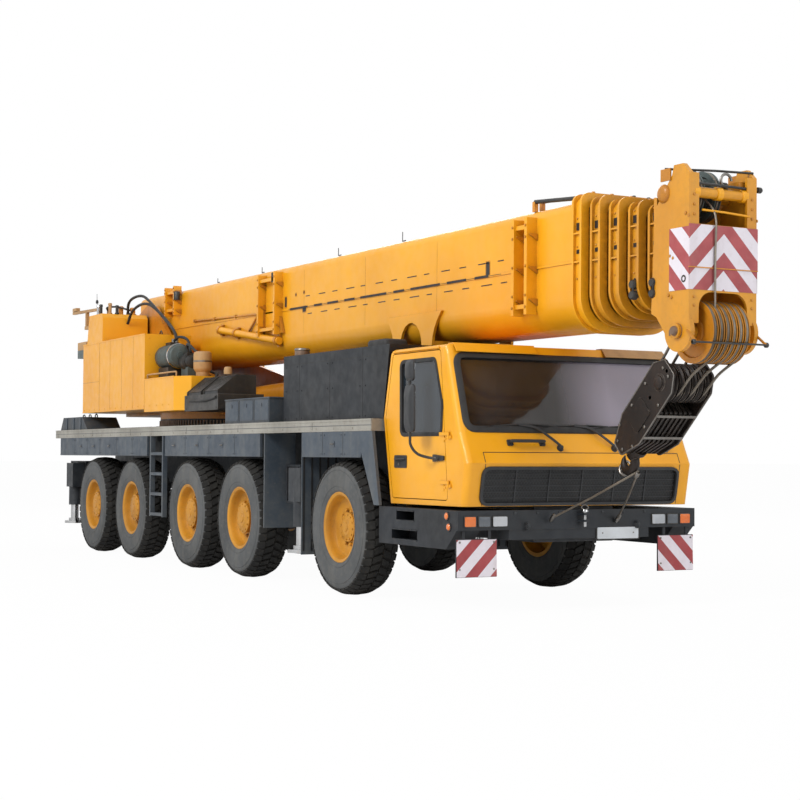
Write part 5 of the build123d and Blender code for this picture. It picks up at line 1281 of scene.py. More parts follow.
        shape.tube(curve(arm, 5), 0.013, Finish.BLACK, 8)
        shape.prism(rounded(((1.75, 1.35), (1.95, 1.365), (1.95, 1.405), (1.75, 1.42)), .012), "Y",
                    side * 1.2495, side * 1.266, Finish.BLACK)
        shape.turned([(r, side * d) for r, d in ((0, .03), (.018, .03), (.026, .018), (.028, 0))],
                     (1.85, side * 1.25, 1.385), "Y", Finish.BLACK, 14)
        for z in (1.84, 2.19):
            shape.turned(((.018, -.03), (.021, -.026), (.021, .026), (.018, .03)), (1.66, side * 1.455, z), "Z",
                         Finish.BLACK, 12, True)
        return shape

    def make(self) -> int:
        """Makes the cab's trim.

        Returns:
            The number of pieces.
        """
        self.screen_frame().build("windscreen_seal", "carrier")
        self.front().build("cab_front_trim", "carrier", angle=30)
        self.wipers().build("wipers", "carrier")
        self.roof().build("cab_roof_trim", "carrier", bevel=0.002)
        for name, side in SIDES:
            self.window_frame(side).build(f"door_window_seal_{name}", f"door_{name}")
            self.door(side).build(f"door_trim_{name}", f"door_{name}")
            self.mirror(side).build(f"mirrors_{name}", f"door_{name}", (f"mirror_{name}",))
        return 10


@dataclass(frozen=True)
class BumperTrim:
    """Lamps, plate, marker boards, towing eye and step grips."""

    face: float = 2.300

    def lamps(self) -> Surface:
        """Makes both lamp groups: a bowl, and a fluted lens with a lip, for each lamp from outside in.

        Returns:
            The surface.
        """
        shape = Surface()
        for _, side in SIDES:
            spans = ((1.255, 1.130, Finish.AMBER), (1.110, 0.980, Finish.SMOKED), (0.960, 0.800, Finish.CLEAR))
            for y0, y1, lens in spans:
                a, b = sorted((side * y0, side * y1))
                rim = rectangle(a, b, 0.772, 0.872, 0.012)
                shape.prism(rim, "X", self.face + 0.0005, self.face + 0.010, Finish.BLACK)
                glass = rectangle(a + .006, b - .006, .778, .866, 0.012)
                middle = glass.mean(0)
                rings = [spread(middle + (glass - middle) * s, "X", self.face + d)
                         for s, d in ((1.0, .009), (0.97, .013), (0.75, .0138), (0.0, .0140))]
                shape.sheet(np.stack(rings), lens, (False, True))
        return shape

    def boards(self, side: int) -> Surface:
        """Makes a marker board: a sheet bent forwards at its foot, x = 10 t squared - 4 t in millimetres.

        Args:
            side: -1 on the right, 1 on the left.

        Returns:
            The surface.
        """
        a, b = sorted((side * 0.898, side * 1.312))
        t = np.linspace(0, 1, 9)
        z = 0.662 - 0.330 * t
        x = 2.2725 + 0.010 * t**2 - 0.004 * t
        front = np.stack((np.stack((x + 0.004, np.full(9, a), z), -1),
                          np.stack((x + 0.004, np.full(9, b), z), -1)), 1)
        back = np.stack((np.stack((x, np.full(9, b), z), -1), np.stack((x, np.full(9, a), z), -1)), 1)
        finish = Finish.BOARD_LEFT if side > 0 else Finish.BOARD_RIGHT
        shape = Surface().sheet(np.concatenate((front, back), 1), finish, (False, True), True)
        places = [(2.2765, y, z) for y in (a + 0.03, b - 0.03) for z in (0.640, 0.40)]
        return shape.bolts(places, "X", Finish.BARE_STEEL, 0.010, 0.006)

    def rest(self) -> Surface:
        """Makes the blank plate, the side lamps, the steps' grips, the towing pin with its ring, and hooks.

        Returns:
            The surface.
        """
        shape = Surface()
        shape.prism(rectangle(0.170, 0.660, 0.636, 0.760, .01), "X", 2.291, 2.298, Finish.BLACK)
        shape.prism(rectangle(0.182, 0.648, 0.646, 0.752, .01), "X", 2.298, 2.302, Finish.PLATE)
        shape.bolts([(2.302, 0.24, 0.70), (2.302, 0.59, 0.70)], "X", Finish.BARE_STEEL, .007, .004)
        shape.turned(((0, .13), (.030, .13), (.034, .118), (.034, .11), (.0165, .108), (.0165, -.025),
                      (0, -.025)), (2.359, 0, 0.790), "Z", Finish.CHROME, 20)
        ring = curve(((2.359, 0.0, 0.915), (2.372, 0.03, 0.94), (2.359, 0.0, 0.965), (2.346, -0.03, 0.94),
                      (2.359, 0.0, 0.915)), 6)
        shape.tube(ring[:-1], 0.0055, Finish.BARE_STEEL, 8, True)
        for _, side in SIDES:
            for x, z in ((2.106, 0.868), (2.143, 0.772)):
                bowl = [(r, side * d) for r, d in ((0, .020), (.020, .018), (.030, .010), (.033, 0),
                                                   (.033, -.004))]
                shape.turned(bowl, (x, side * 1.315, z), "Y", Finish.AMBER, 20)
                base = [(r, side * d) for r, d in ((.032, .008), (.040, .007), (.041, -.002))]
                shape.turned(base, (x, side * 1.315, z), "Y", Finish.BLACK, 20)
            for z in (0.895, 0.800, 0.718, 0.622):
                x0, x1 = (1.16, 1.49) if z > 0.75 else (1.07, 1.55)
                teeth = [(x0 + (x1 - x0) * n / 14, side * 1.316, z) for n in range(15)]
                shape.bolts(teeth, "Z", Finish.CHASSIS, 0.008, 0.006)
                shape.box((x0, side * 1.302, z - .008), (x1, side * 1.318, z - .001), Finish.CHASSIS)
        shape.bolts([(2.30, y, 0.895) for y in (-0.72, -0.48, -0.24, 0.24, 0.48, 0.72)], "X", Finish.CHASSIS,
                    .013, .009)
        for y in (-0.6, 0.62):
            hook = curve(((2.30, y, 0.80), (2.335, y, 0.80), (2.352, y, 0.775), (2.335, y, 0.75),
                          (2.30, y, 0.75)), 5)
            shape.tube(hook, 0.011, Finish.CHASSIS, 8)
        return shape

    def make(self) -> int:
        """Makes the bumper's trim.

        Returns:
            The number of pieces.
        """
        self.lamps().build("front_lamps", "carrier", ("lamps",))
        for name, side in SIDES:
            self.boards(side).build(f"marker_board_{name}", "carrier")
        self.rest().build("bumper_trim", "carrier")
        return 4


@dataclass(frozen=True)
class DeckTrim:
    """The walkway's strips, tread plate, locker lids, bolts and tail lamps."""

    rear: float = -9.90
    front: float = 0.74
    half: float = 1.375
    top: float = 1.765

    def strips(self) -> Surface:
        """Makes the deck edge's pressed lips and middle bead, carried along it, with fixing bolts.

        Returns:
            The surface.
        """
        shape = Surface()
        for _, side in SIDES:
            y = side * self.half
            for z0, z1, out, finish in ((1.742, 1.7655, .0035, Finish.DECK), (1.700, 1.706, .003, Finish.SKIRT),
                                        (1.6455, 1.664, .003, Finish.DECK)):
                outline = rounded(((y - side * .004, z0), (y + side * out, z0 + .001),
                                   (y + side * out, z1 - .001), (y - side * .004, z1)), .0015)
                shape.prism(outline, "X", self.rear + .002, self.front - .002, finish)
            xs = np.arange(self.rear + 0.15, self.front - 0.1, 0.42)
            shape.bolts(np.stack((xs, np.full(len(xs), y), np.full(len(xs), 1.676)), -1), "Y", Finish.DECK,
                        .010, .005, side)
            for x in (-8.04, -6.38, -4.26, -2.60, -0.60):
                shape.box((x - .0025, y, 1.647), (x + .0025, y + side * .0012, 1.764), Finish.RUBBER)
        return shape

    def plates(self) -> Surface:
        """Makes the walkway's tread plates: thin sheets with rows of crossed tear bars.

        Returns:
            The surface.
        """
        shape = Surface()
        bar = Surface().prism(rectangle(-.016, .016, -.003, .003, .003, 3), "Z", -.001, .0022,
                              Finish.PLATE_STEEL)
        spans = ((-5.55, -3.10, 0.78, 1.345), (-1.72, 0.70, 1.268, 1.345), (-8.38, -5.62, 1.07, 1.345))
        for _, side in SIDES:
            for x0, x1, y0, y1 in spans:
                a, b = sorted((side * y0, side * y1))
                shape.prism(rectangle(x0, x1, a, b), "Z", self.top + .0002, self.top + .003, Finish.PLATE_STEEL)
                xs, ys = np.meshgrid(np.arange(x0 + .05, x1 - .04, .075), np.arange(a + .03, b - .02, .075))
                xs, ys = xs.ravel(), ys.ravel()
                turns = np.tile(np.eye(4), (len(xs), 1, 1))
                angle = np.where((np.round(xs / .075) + np.round(ys / .075)) % 2 == 0, .785, -.785)
                turns[:, 0, 0], turns[:, 0, 1] = np.cos(angle), -np.sin(angle)
                turns[:, 1, 0], turns[:, 1, 1] = np.sin(angle), np.cos(angle)
                turns[:, 0, 3], turns[:, 1, 3], turns[:, 2, 3] = xs, ys, self.top + .004
                shape.repeat(bar, turns, Finish.PLATE_STEEL)
        return shape

    def lockers(self) -> Surface:
        """Makes the lockers' lids, seams, latches and bolts, the lashing eyes and the rear ramps' ribs.

        Returns:
            The surface.
        """
        shape = Surface()
        for _, side in SIDES:
            face = side * 1.355
            a, b = sorted((side * 0.873, side * 1.362))
            lid = rectangle(a, b, 2.036, 2.050, .006)
            shape.prism(lid, "X", -3.047, -1.753, Finish.SKIRT)
            for x in (-2.615, -2.185):
                shape.box((x - .003, face, 1.775), (x + .003, face + side * .0015, 2.03), Finish.RUBBER)
            for x in (-2.83, -2.40, -1.97):
                panel = rectangle(x - .185, x + .185, 1.795, 2.02, .02)
                shape.prism(panel, "Y", face - side * .002, face + side * .004, Finish.SKIRT)
                shape.prism(rectangle(x - .012, x + .012, 1.945, 1.985, .004), "Y", face, face + side * .010,
                            Finish.SKIRT)
            shape.bolts([(x, face, z) for x in (-3.0, -2.62, -2.18, -1.80) for z in (1.79, 2.02)], "Y",
                        Finish.SKIRT, .008, .005, side)
            for x in (-9.35, -9.05, -8.75):
                eye = curve(((x - .05, side * 1.10, 1.954), (x - .045, side * 1.10, 1.985),
                             (x, side * 1.10, 2.0), (x + .045, side * 1.10, 1.985),
                             (x + .05, side * 1.10, 1.954)), 4)
                shape.tube(eye, .009, Finish.BLACK, 8)
            ramp = side * 1.340
            for x in (-9.42, -9.08, -8.74):
                rib = rectangle(x - .02, x + .02, 1.766, 1.94, .006)
                shape.prism(rib, "Y", ramp - side * .002, ramp + side * .012, Finish.SKIRT)
        return shape

    def tail(self) -> Surface:
        """Makes the tail lamp clusters: a bowl with four lenses on each side.

        Returns:
            The surface.
        """
        shape = Surface()
        x = self.rear
        for _, side in SIDES:
            a, b = sorted((side * 0.78, side * 1.30))
            bowl = rectangle(a, b, 1.652, 1.752, .012)
            shape.prism(bowl, "X", x, x + .004, Finish.BLACK)
            for n, lens in enumerate((Finish.AMBER, Finish.TAIL, Finish.TAIL, Finish.CLEAR)):
                y0 = side * (1.285 - .125 * n)
                lo, hi = sorted((y0, y0 - side * .11))
                glass = rectangle(lo, hi, 1.662, 1.742, .012)
                shape.prism(glass, "X", x + .0005, x + .006, lens)
        return shape

    def skirts(self) -> Surface:
        """Makes the skirts' seams, latches and bolts, the ladder's treads and the flaps' ribs.

        Returns:
            The surface.
        """
        shape = Surface()
        for _, side in SIDES:
            y = side * self.half
            seams = (-8.9, -8.3, -7.7, -6.95, -6.3, -4.3, -3.5, -2.7, -0.35, 0.12)
            for x in seams:
                shape.box((x - .003, y, 1.388), (x + .003, y + side * .0012, 1.644), Finish.RUBBER)
                shape.bolts([(x + d, y, z) for d in (-.04, .04) for z in (1.42, 1.61)], "Y", Finish.SKIRT, .009,
                            .006, side)
            for x in (-8.6, -8.0, -7.3, -4.7, -3.9, -3.1, -0.12):
                handle = rectangle(x - .05, x + .05, 1.49, 1.55, .012)
                shape.prism(handle, "Y", y - side * .001, y + side * .005, Finish.SKIRT)
                shape.tube(curve(((x - .035, y, 1.52), (x - .03, y + side * .012, 1.52),
                                  (x + .03, y + side * .012, 1.52), (x + .035, y, 1.52)), 4), .006,
                           Finish.BARE_STEEL, 8)
            lip = rounded(((y - side * .004, 1.386), (y + side * .003, 1.387), (y + side * .003, 1.404),
                           (y - side * .004, 1.404)), .001)
            for x0, x1 in ((-9.638, -5.702), (-5.018, -1.962), (-.848, .518)):
                shape.prism(lip, "X", x0, x1, Finish.SKIRT)
            for n in range(4):
                z = 0.612 + n * 0.2612 + .036
                teeth = np.stack((np.linspace(-5.53, -5.15, 12), np.full(12, side * 1.345), np.full(12, z)), -1)
                shape.bolts(teeth, "Z", Finish.SKIRT, .010, .006)
            edge = np.linspace(side * 0.975, side * 1.35, 5)
            for yy in edge:
                shape.box((-.862, yy - .010, .40), (-.859, yy + .010, 1.60), Finish.RUBBER)
                shape.box((-.849, yy - .010, .40), (-.845, yy + .010, 1.60), Finish.RUBBER)
        return shape

    def make(self) -> int:
        """Makes the deck's trim.

        Returns:
            The number of pieces.
        """
        self.strips().build("deck_edge_strips", "carrier")
        self.plates().build("walkway_plates", "carrier")
        self.lockers().build("locker_lids", "carrier")
        self.tail().build("tail_lamps", "carrier")
        self.skirts().build("skirt_trim", "carrier")
        return 5


@dataclass(frozen=True)
class EngineHood:
    """Lids, seams, bolts, exhaust can and air scoop of the engine housing."""

    rear: float = -1.61
    top: float = 2.485
    half: float = 1.25

    def panels(self) -> Surface:
        """Makes the hood's seams and bolts, and the raised lids on its top.

        Returns:
            The surface.
        """
        shape = Surface()
        for _, side in SIDES:
            y = side * self.half
            for x in (-1.20, -0.45, 0.30):
                shape.box((x - .003, y, 1.78), (x + .003, y + side * .0012, 2.47), Finish.RUBBER)
            shape.box((self.rear + .01, y, 2.385), (.75, y + side * .0012, 2.390), Finish.RUBBER)
            shape.bolts([(x, y, z) for x in (-1.55, -1.26, -1.14, -.51, -.39, .24, .36)
                         for z in (1.80, 2.10, 2.36)], "Y", Finish.HOOD, .008, .005, side)
        for x in (-1.20, -0.45, 0.30):
            shape.box((x - .003, -1.24, 2.4855), (x + .003, 1.24, 2.4865), Finish.RUBBER)
        for x0, x1 in ((-1.05, -0.60), (0.42, 0.72)):
            for y in np.arange(-0.95, 0.96, .19):
                if abs(y) > .58 or x1 < -.55:
                    shape.prism(rectangle(x0, x1, y - .05, y + .05, .02), "Z", 2.4855, 2.494, Finish.HOOD)
        return shape

    def exhaust(self) -> Surface:
        """Makes the silencer: ribbed tin turned about its axis, with a lighter lid and a clamp.

        Returns:
            The surface.
        """
        wave = np.linspace(2.486, 2.545, 8)
        body = np.stack((.080 + .0025 * (np.arange(8) % 2), wave), -1)
        shape = Surface().turned(body, (-1.39, -1.13, 0), "Z", Finish.TIN, 32)
        shape.turned(((.082, 2.545), (.086, 2.548), (.086, 2.560), (.080, 2.5695), (.062, 2.5695), (.058, 2.56),
                      (.0, 2.556)), (-1.39, -1.13, 0), "Z", Finish.BARE_STEEL, 32)
        return shape

    def scoop(self) -> Surface:
        """Makes the black air scoop on the hood's front corner: an outline that shrinks as it rises.

        Returns:
            The surface.
        """
        outline = rectangle(.345, .745, -1.235, -.965, .06, 6)
        middle = outline.mean(0)
        rings = [spread(middle + (outline - middle) * s, "Z", z)
                 for s, z in ((1.0, 2.484), (1.0, 2.515), (.97, 2.535), (.90, 2.546), (.72, 2.550))]
        return Surface().sheet(np.stack(rings), Finish.RUBBER, (False, True), True)

    def make(self) -> int:
        """Makes the hood's trim.

        Returns:
            The number of pieces.
        """
        self.panels().build("hood_trim", "carrier")
        self.exhaust().build("exhaust_can", "carrier")
        self.scoop().build("air_scoop", "carrier")
        return 3


@dataclass(frozen=True)
class SuperstructureTrim:
    """Seams, rails, fittings, motor, coolers and hoses of the slewing superstructure."""

    side: float = -1.300
    slew: Point = (-6.0, 0.0, 1.82)

    def seams(self) -> Surface:
        """Makes the house's panel seams, lips, bolts and lifting eyes, and the step box's rail.

        Returns:
            The surface.
        """
        shape = Surface()
        y = self.side
        for x, z1 in ((-8.0, 3.02), (-7.52, 3.02), (-7.0, 3.02), (-6.52, 3.02), (-6.045, 2.40)):
            wide = .0035 if x in (-8.0, -7.0) else .0018
            shape.box((x - wide, y - .0012, 2.02), (x + wide, y + .002, z1), Finish.YELLOW_OILY_SHADED)
        for z0, z1, x0, x1 in ((3.010, 3.030, -8.78, -6.05), (2.010, 2.028, -8.78, -6.05),
                               (2.396, 2.414, -6.04, -4.935)):
            shape.prism(rectangle(y - .004, y + .004, z0, z1, .0015), "X", x0, x1, Finish.YELLOW)
        rail = curve(((-6.02, -1.265, 2.412), (-6.02, -1.265, 2.455), (-5.98, -1.265, 2.470),
                      (-5.45, -1.265, 2.470), (-4.98, -1.265, 2.470), (-4.94, -1.262, 2.455),
                      (-4.94, -1.262, 2.412)), 5)
        shape.tube(rail, .011, Finish.SAND, 8)
        shape.bolts([(x, y, 2.05) for x in np.arange(-8.7, -4.95, .24)], "Y", Finish.YELLOW, .009, .006, -1)
        shape.bolts([(-6.05, yy, z) for yy in (-1.24, -.72) for z in (2.50, 2.75, 2.97)], "X", Finish.YELLOW,
                    .010, .007)
        for x in (-8.2, -7.2, -6.25):
            eye = curve(((x - .04, -1.0, 3.024), (x - .04, -1.0, 3.06), (x, -1.0, 3.085), (x + .04, -1.0, 3.06),
                         (x + .04, -1.0, 3.024)), 4)
            shape.tube(eye, .010, Finish.BLACK, 8)
        return shape

    def hump(self) -> Surface:
        """Makes the hump's seam, the posts and valves on its top, the aerial and the rear rail.

        Returns:
            The surface.
        """
        shape = Surface()
        for _, side in SIDES:
            y = side * 1.300
            shape.box((-8.78, y, 2.452), (-8.02, y + side * .0012, 2.457), Finish.YELLOW_OILY_SHADED)
        cap = ((0, 1.0), (.75, 1.0), (.95, .93), (1.0, .80), (.8, .78), (.8, .18), (1.15, .14), (1.2, -.02))
        fittings = ((-8.46, -1.18, .030, .17, Finish.CHROME), (-8.36, -1.05, .040, .13, Finish.SAND),
                    (-8.27, -1.20, .026, .16, Finish.BLACK), (-8.20, -.92, .042, .14, Finish.YELLOW_OILY_SHADED),
                    (-8.10, -1.12, .030, .17, Finish.SAND), (-8.02, -.80, .045, .11, Finish.YELLOW_OILY_SHADED),
                    (-7.96, -1.06, .028, .13, Finish.BLACK), (-8.34, 1.05, .040, .14, Finish.SAND),
                    (-8.14, 1.10, .032, .16, Finish.BLACK))
        for x, y, r, h, finish in fittings:
            shape.turned([(a * r, b * h) for a, b in cap], (x, y, 3.441), "Z", finish, 16)
        pipe = curve(((-8.36, -1.05, 3.50), (-8.30, -1.10, 3.56), (-8.20, -1.00, 3.57), (-8.10, -.95, 3.55),
                      (-8.02, -.80, 3.50)), 5)
        shape.tube(pipe, .014, Finish.BLACK, 8)
        shape.tube(((-8.57, -1.16, 3.44), (-8.585, -1.16, 3.62), (-8.60, -1.16, 3.785)), .008, Finish.CHROME, 8)
        shape.turned(((0, .04), (.016, .03), (.022, 0), (.016, -.02), (0, -.02)), (-8.59, -1.16, 3.66), "Z",
                     Finish.PLASTIC, 12)
        shape.prism(rounded(((-9.72, 3.555), (-8.50, 3.525), (-8.50, 3.565), (-9.72, 3.597)), .006), "Y", -1.19,
                    -1.15, Finish.SAND)
        shape.box((-9.69, -1.20, 3.597), (-9.50, -1.14, 3.645), Finish.SAND)
        shape.box((-9.06, -1.192, 3.30), (-9.00, -1.148, 3.545), Finish.SAND)
        for low, high, finish in ((2.965, 3.085, Finish.SAND), (2.845, 2.965, Finish.MACHINE)):
            outline = rectangle(-9.20, -8.775, low, high, .012)
            shape.prism(outline, "Y", -1.26, -0.93, finish)
        shape.prism(rectangle(-9.08, -8.56, 3.28, 3.33, .006), "Y", -1.195, -1.145, Finish.SAND)
        return shape

    def rope_drum(self) -> Surface:
        """Makes the rope wound on the winch: a profile of half circles side by side, turned about its axis.

        Returns:
            The surface.
        """
        u = np.linspace(-0.452, 0.452, 361)
        wave = 0.172 + 0.018 * np.abs(np.sin(math.pi * u / 0.0306))
        profile = np.vstack(((0.165, -0.456), np.stack((wave, u), -1), (0.165, 0.456)))
        shape = Surface().turned(profile, (-9.28, 0, 2.99), "Y", Finish.ROPE, 40)
        for _, side in SIDES:
            a = 2 * math.pi * np.arange(12) / 12
            places = np.stack((-9.28 + .19 * np.cos(a), np.full(12, side * .481), 2.99 + .19 * np.sin(a)), -1)
            shape.bolts(places, "Y", Finish.BLACK, .013, .010, side)
            shape.turned([(r, side * d) for r, d in ((0, .05), (.06, .05), (.075, .035), (.08, 0))],
                         (-9.28, side * .661, 2.99), "Y", Finish.MACHINE, 24)
        return shape

    def motor(self) -> Surface:
        """Makes the motor (a finned drum turned about X), the pump beside it, and their feet and pipes.

        Returns:
            The surface.
        """
        shape = Surface()
        x = np.linspace(-6.045, -5.51, 90)
        fins = np.where((np.arange(90) // 3) % 2 == 0, 0.163, 0.152)
        fins = np.where((x > -5.98) & (x < -5.60), fins, 0.158)
        profile = np.vstack(((0, -6.049), (0.11, -6.049), (0.150, -6.047), np.stack((fins, x), -1),
                             (.150, -5.508), (.135, -5.49), (.06, -5.475), (.055, -5.44), (0, -5.44)))
        shape.turned(profile, (0, -1.0, 2.71), "X", Finish.MACHINE, 40)
        shape.turned(((.163, -5.585), (.167, -5.580), (.167, -5.555), (.163, -5.550)), (0, -1.0, 2.71), "X",
                     Finish.CHROME, 40, True)
        shape.box((-5.97, -1.13, 2.411), (-5.60, -.87, 2.56), Finish.BLACK)
        shape.box((-5.90, -1.06, 2.855), (-5.72, -.93, 2.90), Finish.BLACK)
        shape.turned(((0, -5.49), (.07, -5.49), (.105, -5.47), (.105, -5.40), (.12, -5.395), (.12, -5.31),
                      (.09, -5.30), (.09, -5.22), (.05, -5.20), (0, -5.20)), (0, -.93, 2.62), "X", Finish.BLACK,
                     28)
        shape.box((-5.46, -1.0, 2.411), (-5.22, -.72, 2.55), Finish.MACHINE)
        shape.box((-5.42, -.99, 2.66), (-5.27, -.80, 2.74), Finish.BLACK)
        pipes = (((-5.35, -.95, 2.73), (-5.33, -.97, 2.82), (-5.20, -1.0, 2.84), (-5.05, -.95, 2.74),
                  (-4.98, -.90, 2.66)), ((-5.83, -1.0, 2.89), (-5.70, -.95, 2.97), (-5.50, -.90, 2.92),
                                         (-5.38, -.90, 2.75)), ((-5.25, -.80, 2.55), (-5.10, -.75, 2.50),
                                                                (-4.90, -.75, 2.46), (-4.70, -.80, 2.44),
                                                                (-4.62, -.85, 2.38)))
        for points in pipes:
            shape.tube(curve(points, 5), .019, Finish.RUBBER, 8)
        shape.turned(((0, 2.74), (.085, 2.738), (.112, 2.725), (.118, 2.70), (.118, 2.52), (.110, 2.50),
                      (.085, 2.47), (.085, 2.411)), (-4.95, -.90, 0), "Z", Finish.SAND, 32)
        shape.turned(((.118, 2.60), (.122, 2.602), (.122, 2.618), (.118, 2.62)), (-4.95, -.90, 0), "Z",
                     Finish.BARE_STEEL, 32, True)
        shape.turned(((0, 2.48), (.03, 2.48), (.045, 2.47), (.05, 2.44), (.05, 2.39)), (-3.72, -1.05, 0), "Z",
                     Finish.SAND, 20)
        return shape

    def coolers(self) -> Surface:
        """Makes the black tank and the two tilted ribbed coolers standing on it.

        Returns:
            The surface.
        """
        shape = Surface()
        shape.prism(rectangle(-4.689, -3.56, 1.951, 2.148, .015), "Y", -1.24, -.64, Finish.BLACK)
        for x in (-4.64, -4.08):
            face = [(-1.215, 2.15), (-.72, 2.15), (-.72, 2.375), (-.98, 2.378), (-1.215, 2.19)]
            shape.prism(face, "X", x, x + .46, Finish.PLASTIC)
            steps = np.linspace(x + .02, x + .44, 13)
            for s in steps:
                shape.prism([(-1.222, 2.185), (-.985, 2.382), (-.985, 2.372), (-1.212, 2.175)], "X", s - .006,
                            s + .006, Finish.BLACK)
            for s in (x, x + .46):
                shape.prism([(-1.226, 2.15), (-1.226, 2.192), (-.985, 2.386), (-.72, 2.382), (-.72, 2.15)], "X",
                            s - .008, s + .008, Finish.BLACK)
        shape.tube(curve(((-4.60, -1.10, 2.10), (-4.50, -1.246, 2.08), (-4.0, -1.25, 2.07),
                          (-3.62, -1.246, 2.10)), 5), .016, Finish.RUBBER, 8)
        shape.bolts([(x, -1.24, z) for x in (-4.62, -4.12, -3.62) for z in (1.98, 2.12)], "Y", Finish.BLACK,
                    .009, .006, -1)
        return shape

    def hoses(self) -> Surface:
        """Makes the hydraulic hoses that arch from the counterweight to the motor, with their end fittings.

        Returns:
            The surface.
        """
        shape = Surface()
        runs = (((-8.06, -.86, 3.44), (-7.98, -.88, 3.60), (-7.72, -.89, 3.668), (-7.30, -.90, 3.655),
                 (-6.95, -.90, 3.53), (-6.40, -.90, 3.27), (-5.95, -.92, 3.06), (-5.78, -.95, 2.90)),
                ((-7.86, -.93, 3.30), (-7.70, -.92, 3.46), (-7.40, -.91, 3.535), (-7.08, -.90, 3.525),
                 (-6.705, -.90, 3.411), (-6.20, -.90, 3.18), (-5.88, -.92, 3.00), (-5.80, -.98, 2.90)))
        for run in runs:
            shape.tube(curve(run, 7), .020, Finish.RUBBER, 10)
        for x, y, z in ((-8.06, -.86, 3.45), (-5.78, -.95, 2.915), (-5.80, -.99, 2.915)):
            shape.turned(((0, .035), (.020, .035), (.026, .028), (.026, -.012), (.030, -.014), (.030, -.03)),
                         (x, y, z), "Z", Finish.BARE_STEEL, 6)
        return shape

    def operator_trim(self) -> Surface:
        """Makes the operator's cab's roof plate and work lamps.

        Returns:
            The surface.
        """
        shape = Surface()
        shape.prism(rectangle(-5.60, -3.80, 3.529, 3.545, .006), "Y", .70, 1.27, Finish.YELLOW)
        for y in (.78, 1.20):
            shape.turned(((0, .03), (.045, .03), (.06, .02), (.062, -.02), (.04, -.03), (0, -.03)),
                         (-3.74, y, 3.47), "X", Finish.CLEAR, 20)
        return shape

    def teeth(self) -> Surface:
        """Makes the slewing ring's toothed rim: a tooth turned by equal steps about the ring's axis.

        Returns:
            The surface.
        """
        tooth = Surface().prism([(1.018, -.014), (1.034, -.007), (1.034, .007), (1.018, .014)], "Z", 1.785,
                                1.862, Finish.TIN)
        angle = np.linspace(0, 2 * math.pi, 140, endpoint=False)
        turns = np.tile(np.eye(4), (140, 1, 1))
        turns[:, 0, 0], turns[:, 0, 1] = np.cos(angle), -np.sin(angle)
        turns[:, 1, 0], turns[:, 1, 1] = np.sin(angle), np.cos(angle)
        turns[:, 0, 3] = self.slew[0]
        return Surface().repeat(tooth, turns, Finish.TIN)

    def make(self) -> int:
        """Makes the superstructure's trim.

        Returns:
            The number of pieces.
        """
        body = "superstructure"
        self.seams().build("house_trim", body)
        self.hump().build("counterweight_fittings", body)
        self.rope_drum().build("winch_rope", body)
        self.motor().build("motor_and_pump", body, ("hydraulics",), bevel=0.0)
        self.coolers().build("tank_and_coolers", body, ("hydraulics",))
        self.hoses().build("house_hoses", body)
        self.operator_trim().build("operator_cab_trim", body)
        self.teeth().build("slewing_ring_teeth", "carrier")
        return 8


def on_boom(x: float, z: float) -> tuple[float, float]:
    """Turns a place in the side view into the boom's frame: its offset from the pivot, by NOSE_DOWN.

    Args:
        x: distance from the front axle, forwards.
        z: height.

    Returns:
        Its X and Z in the boom's frame.
    """
    dx, dz = x - PIVOT_X, z - PIVOT_Z
    cosine, sine = math.cos(NOSE_DOWN), math.sin(NOSE_DOWN)
    return dx * cosine - dz * sine, dx * sine + dz * cosine


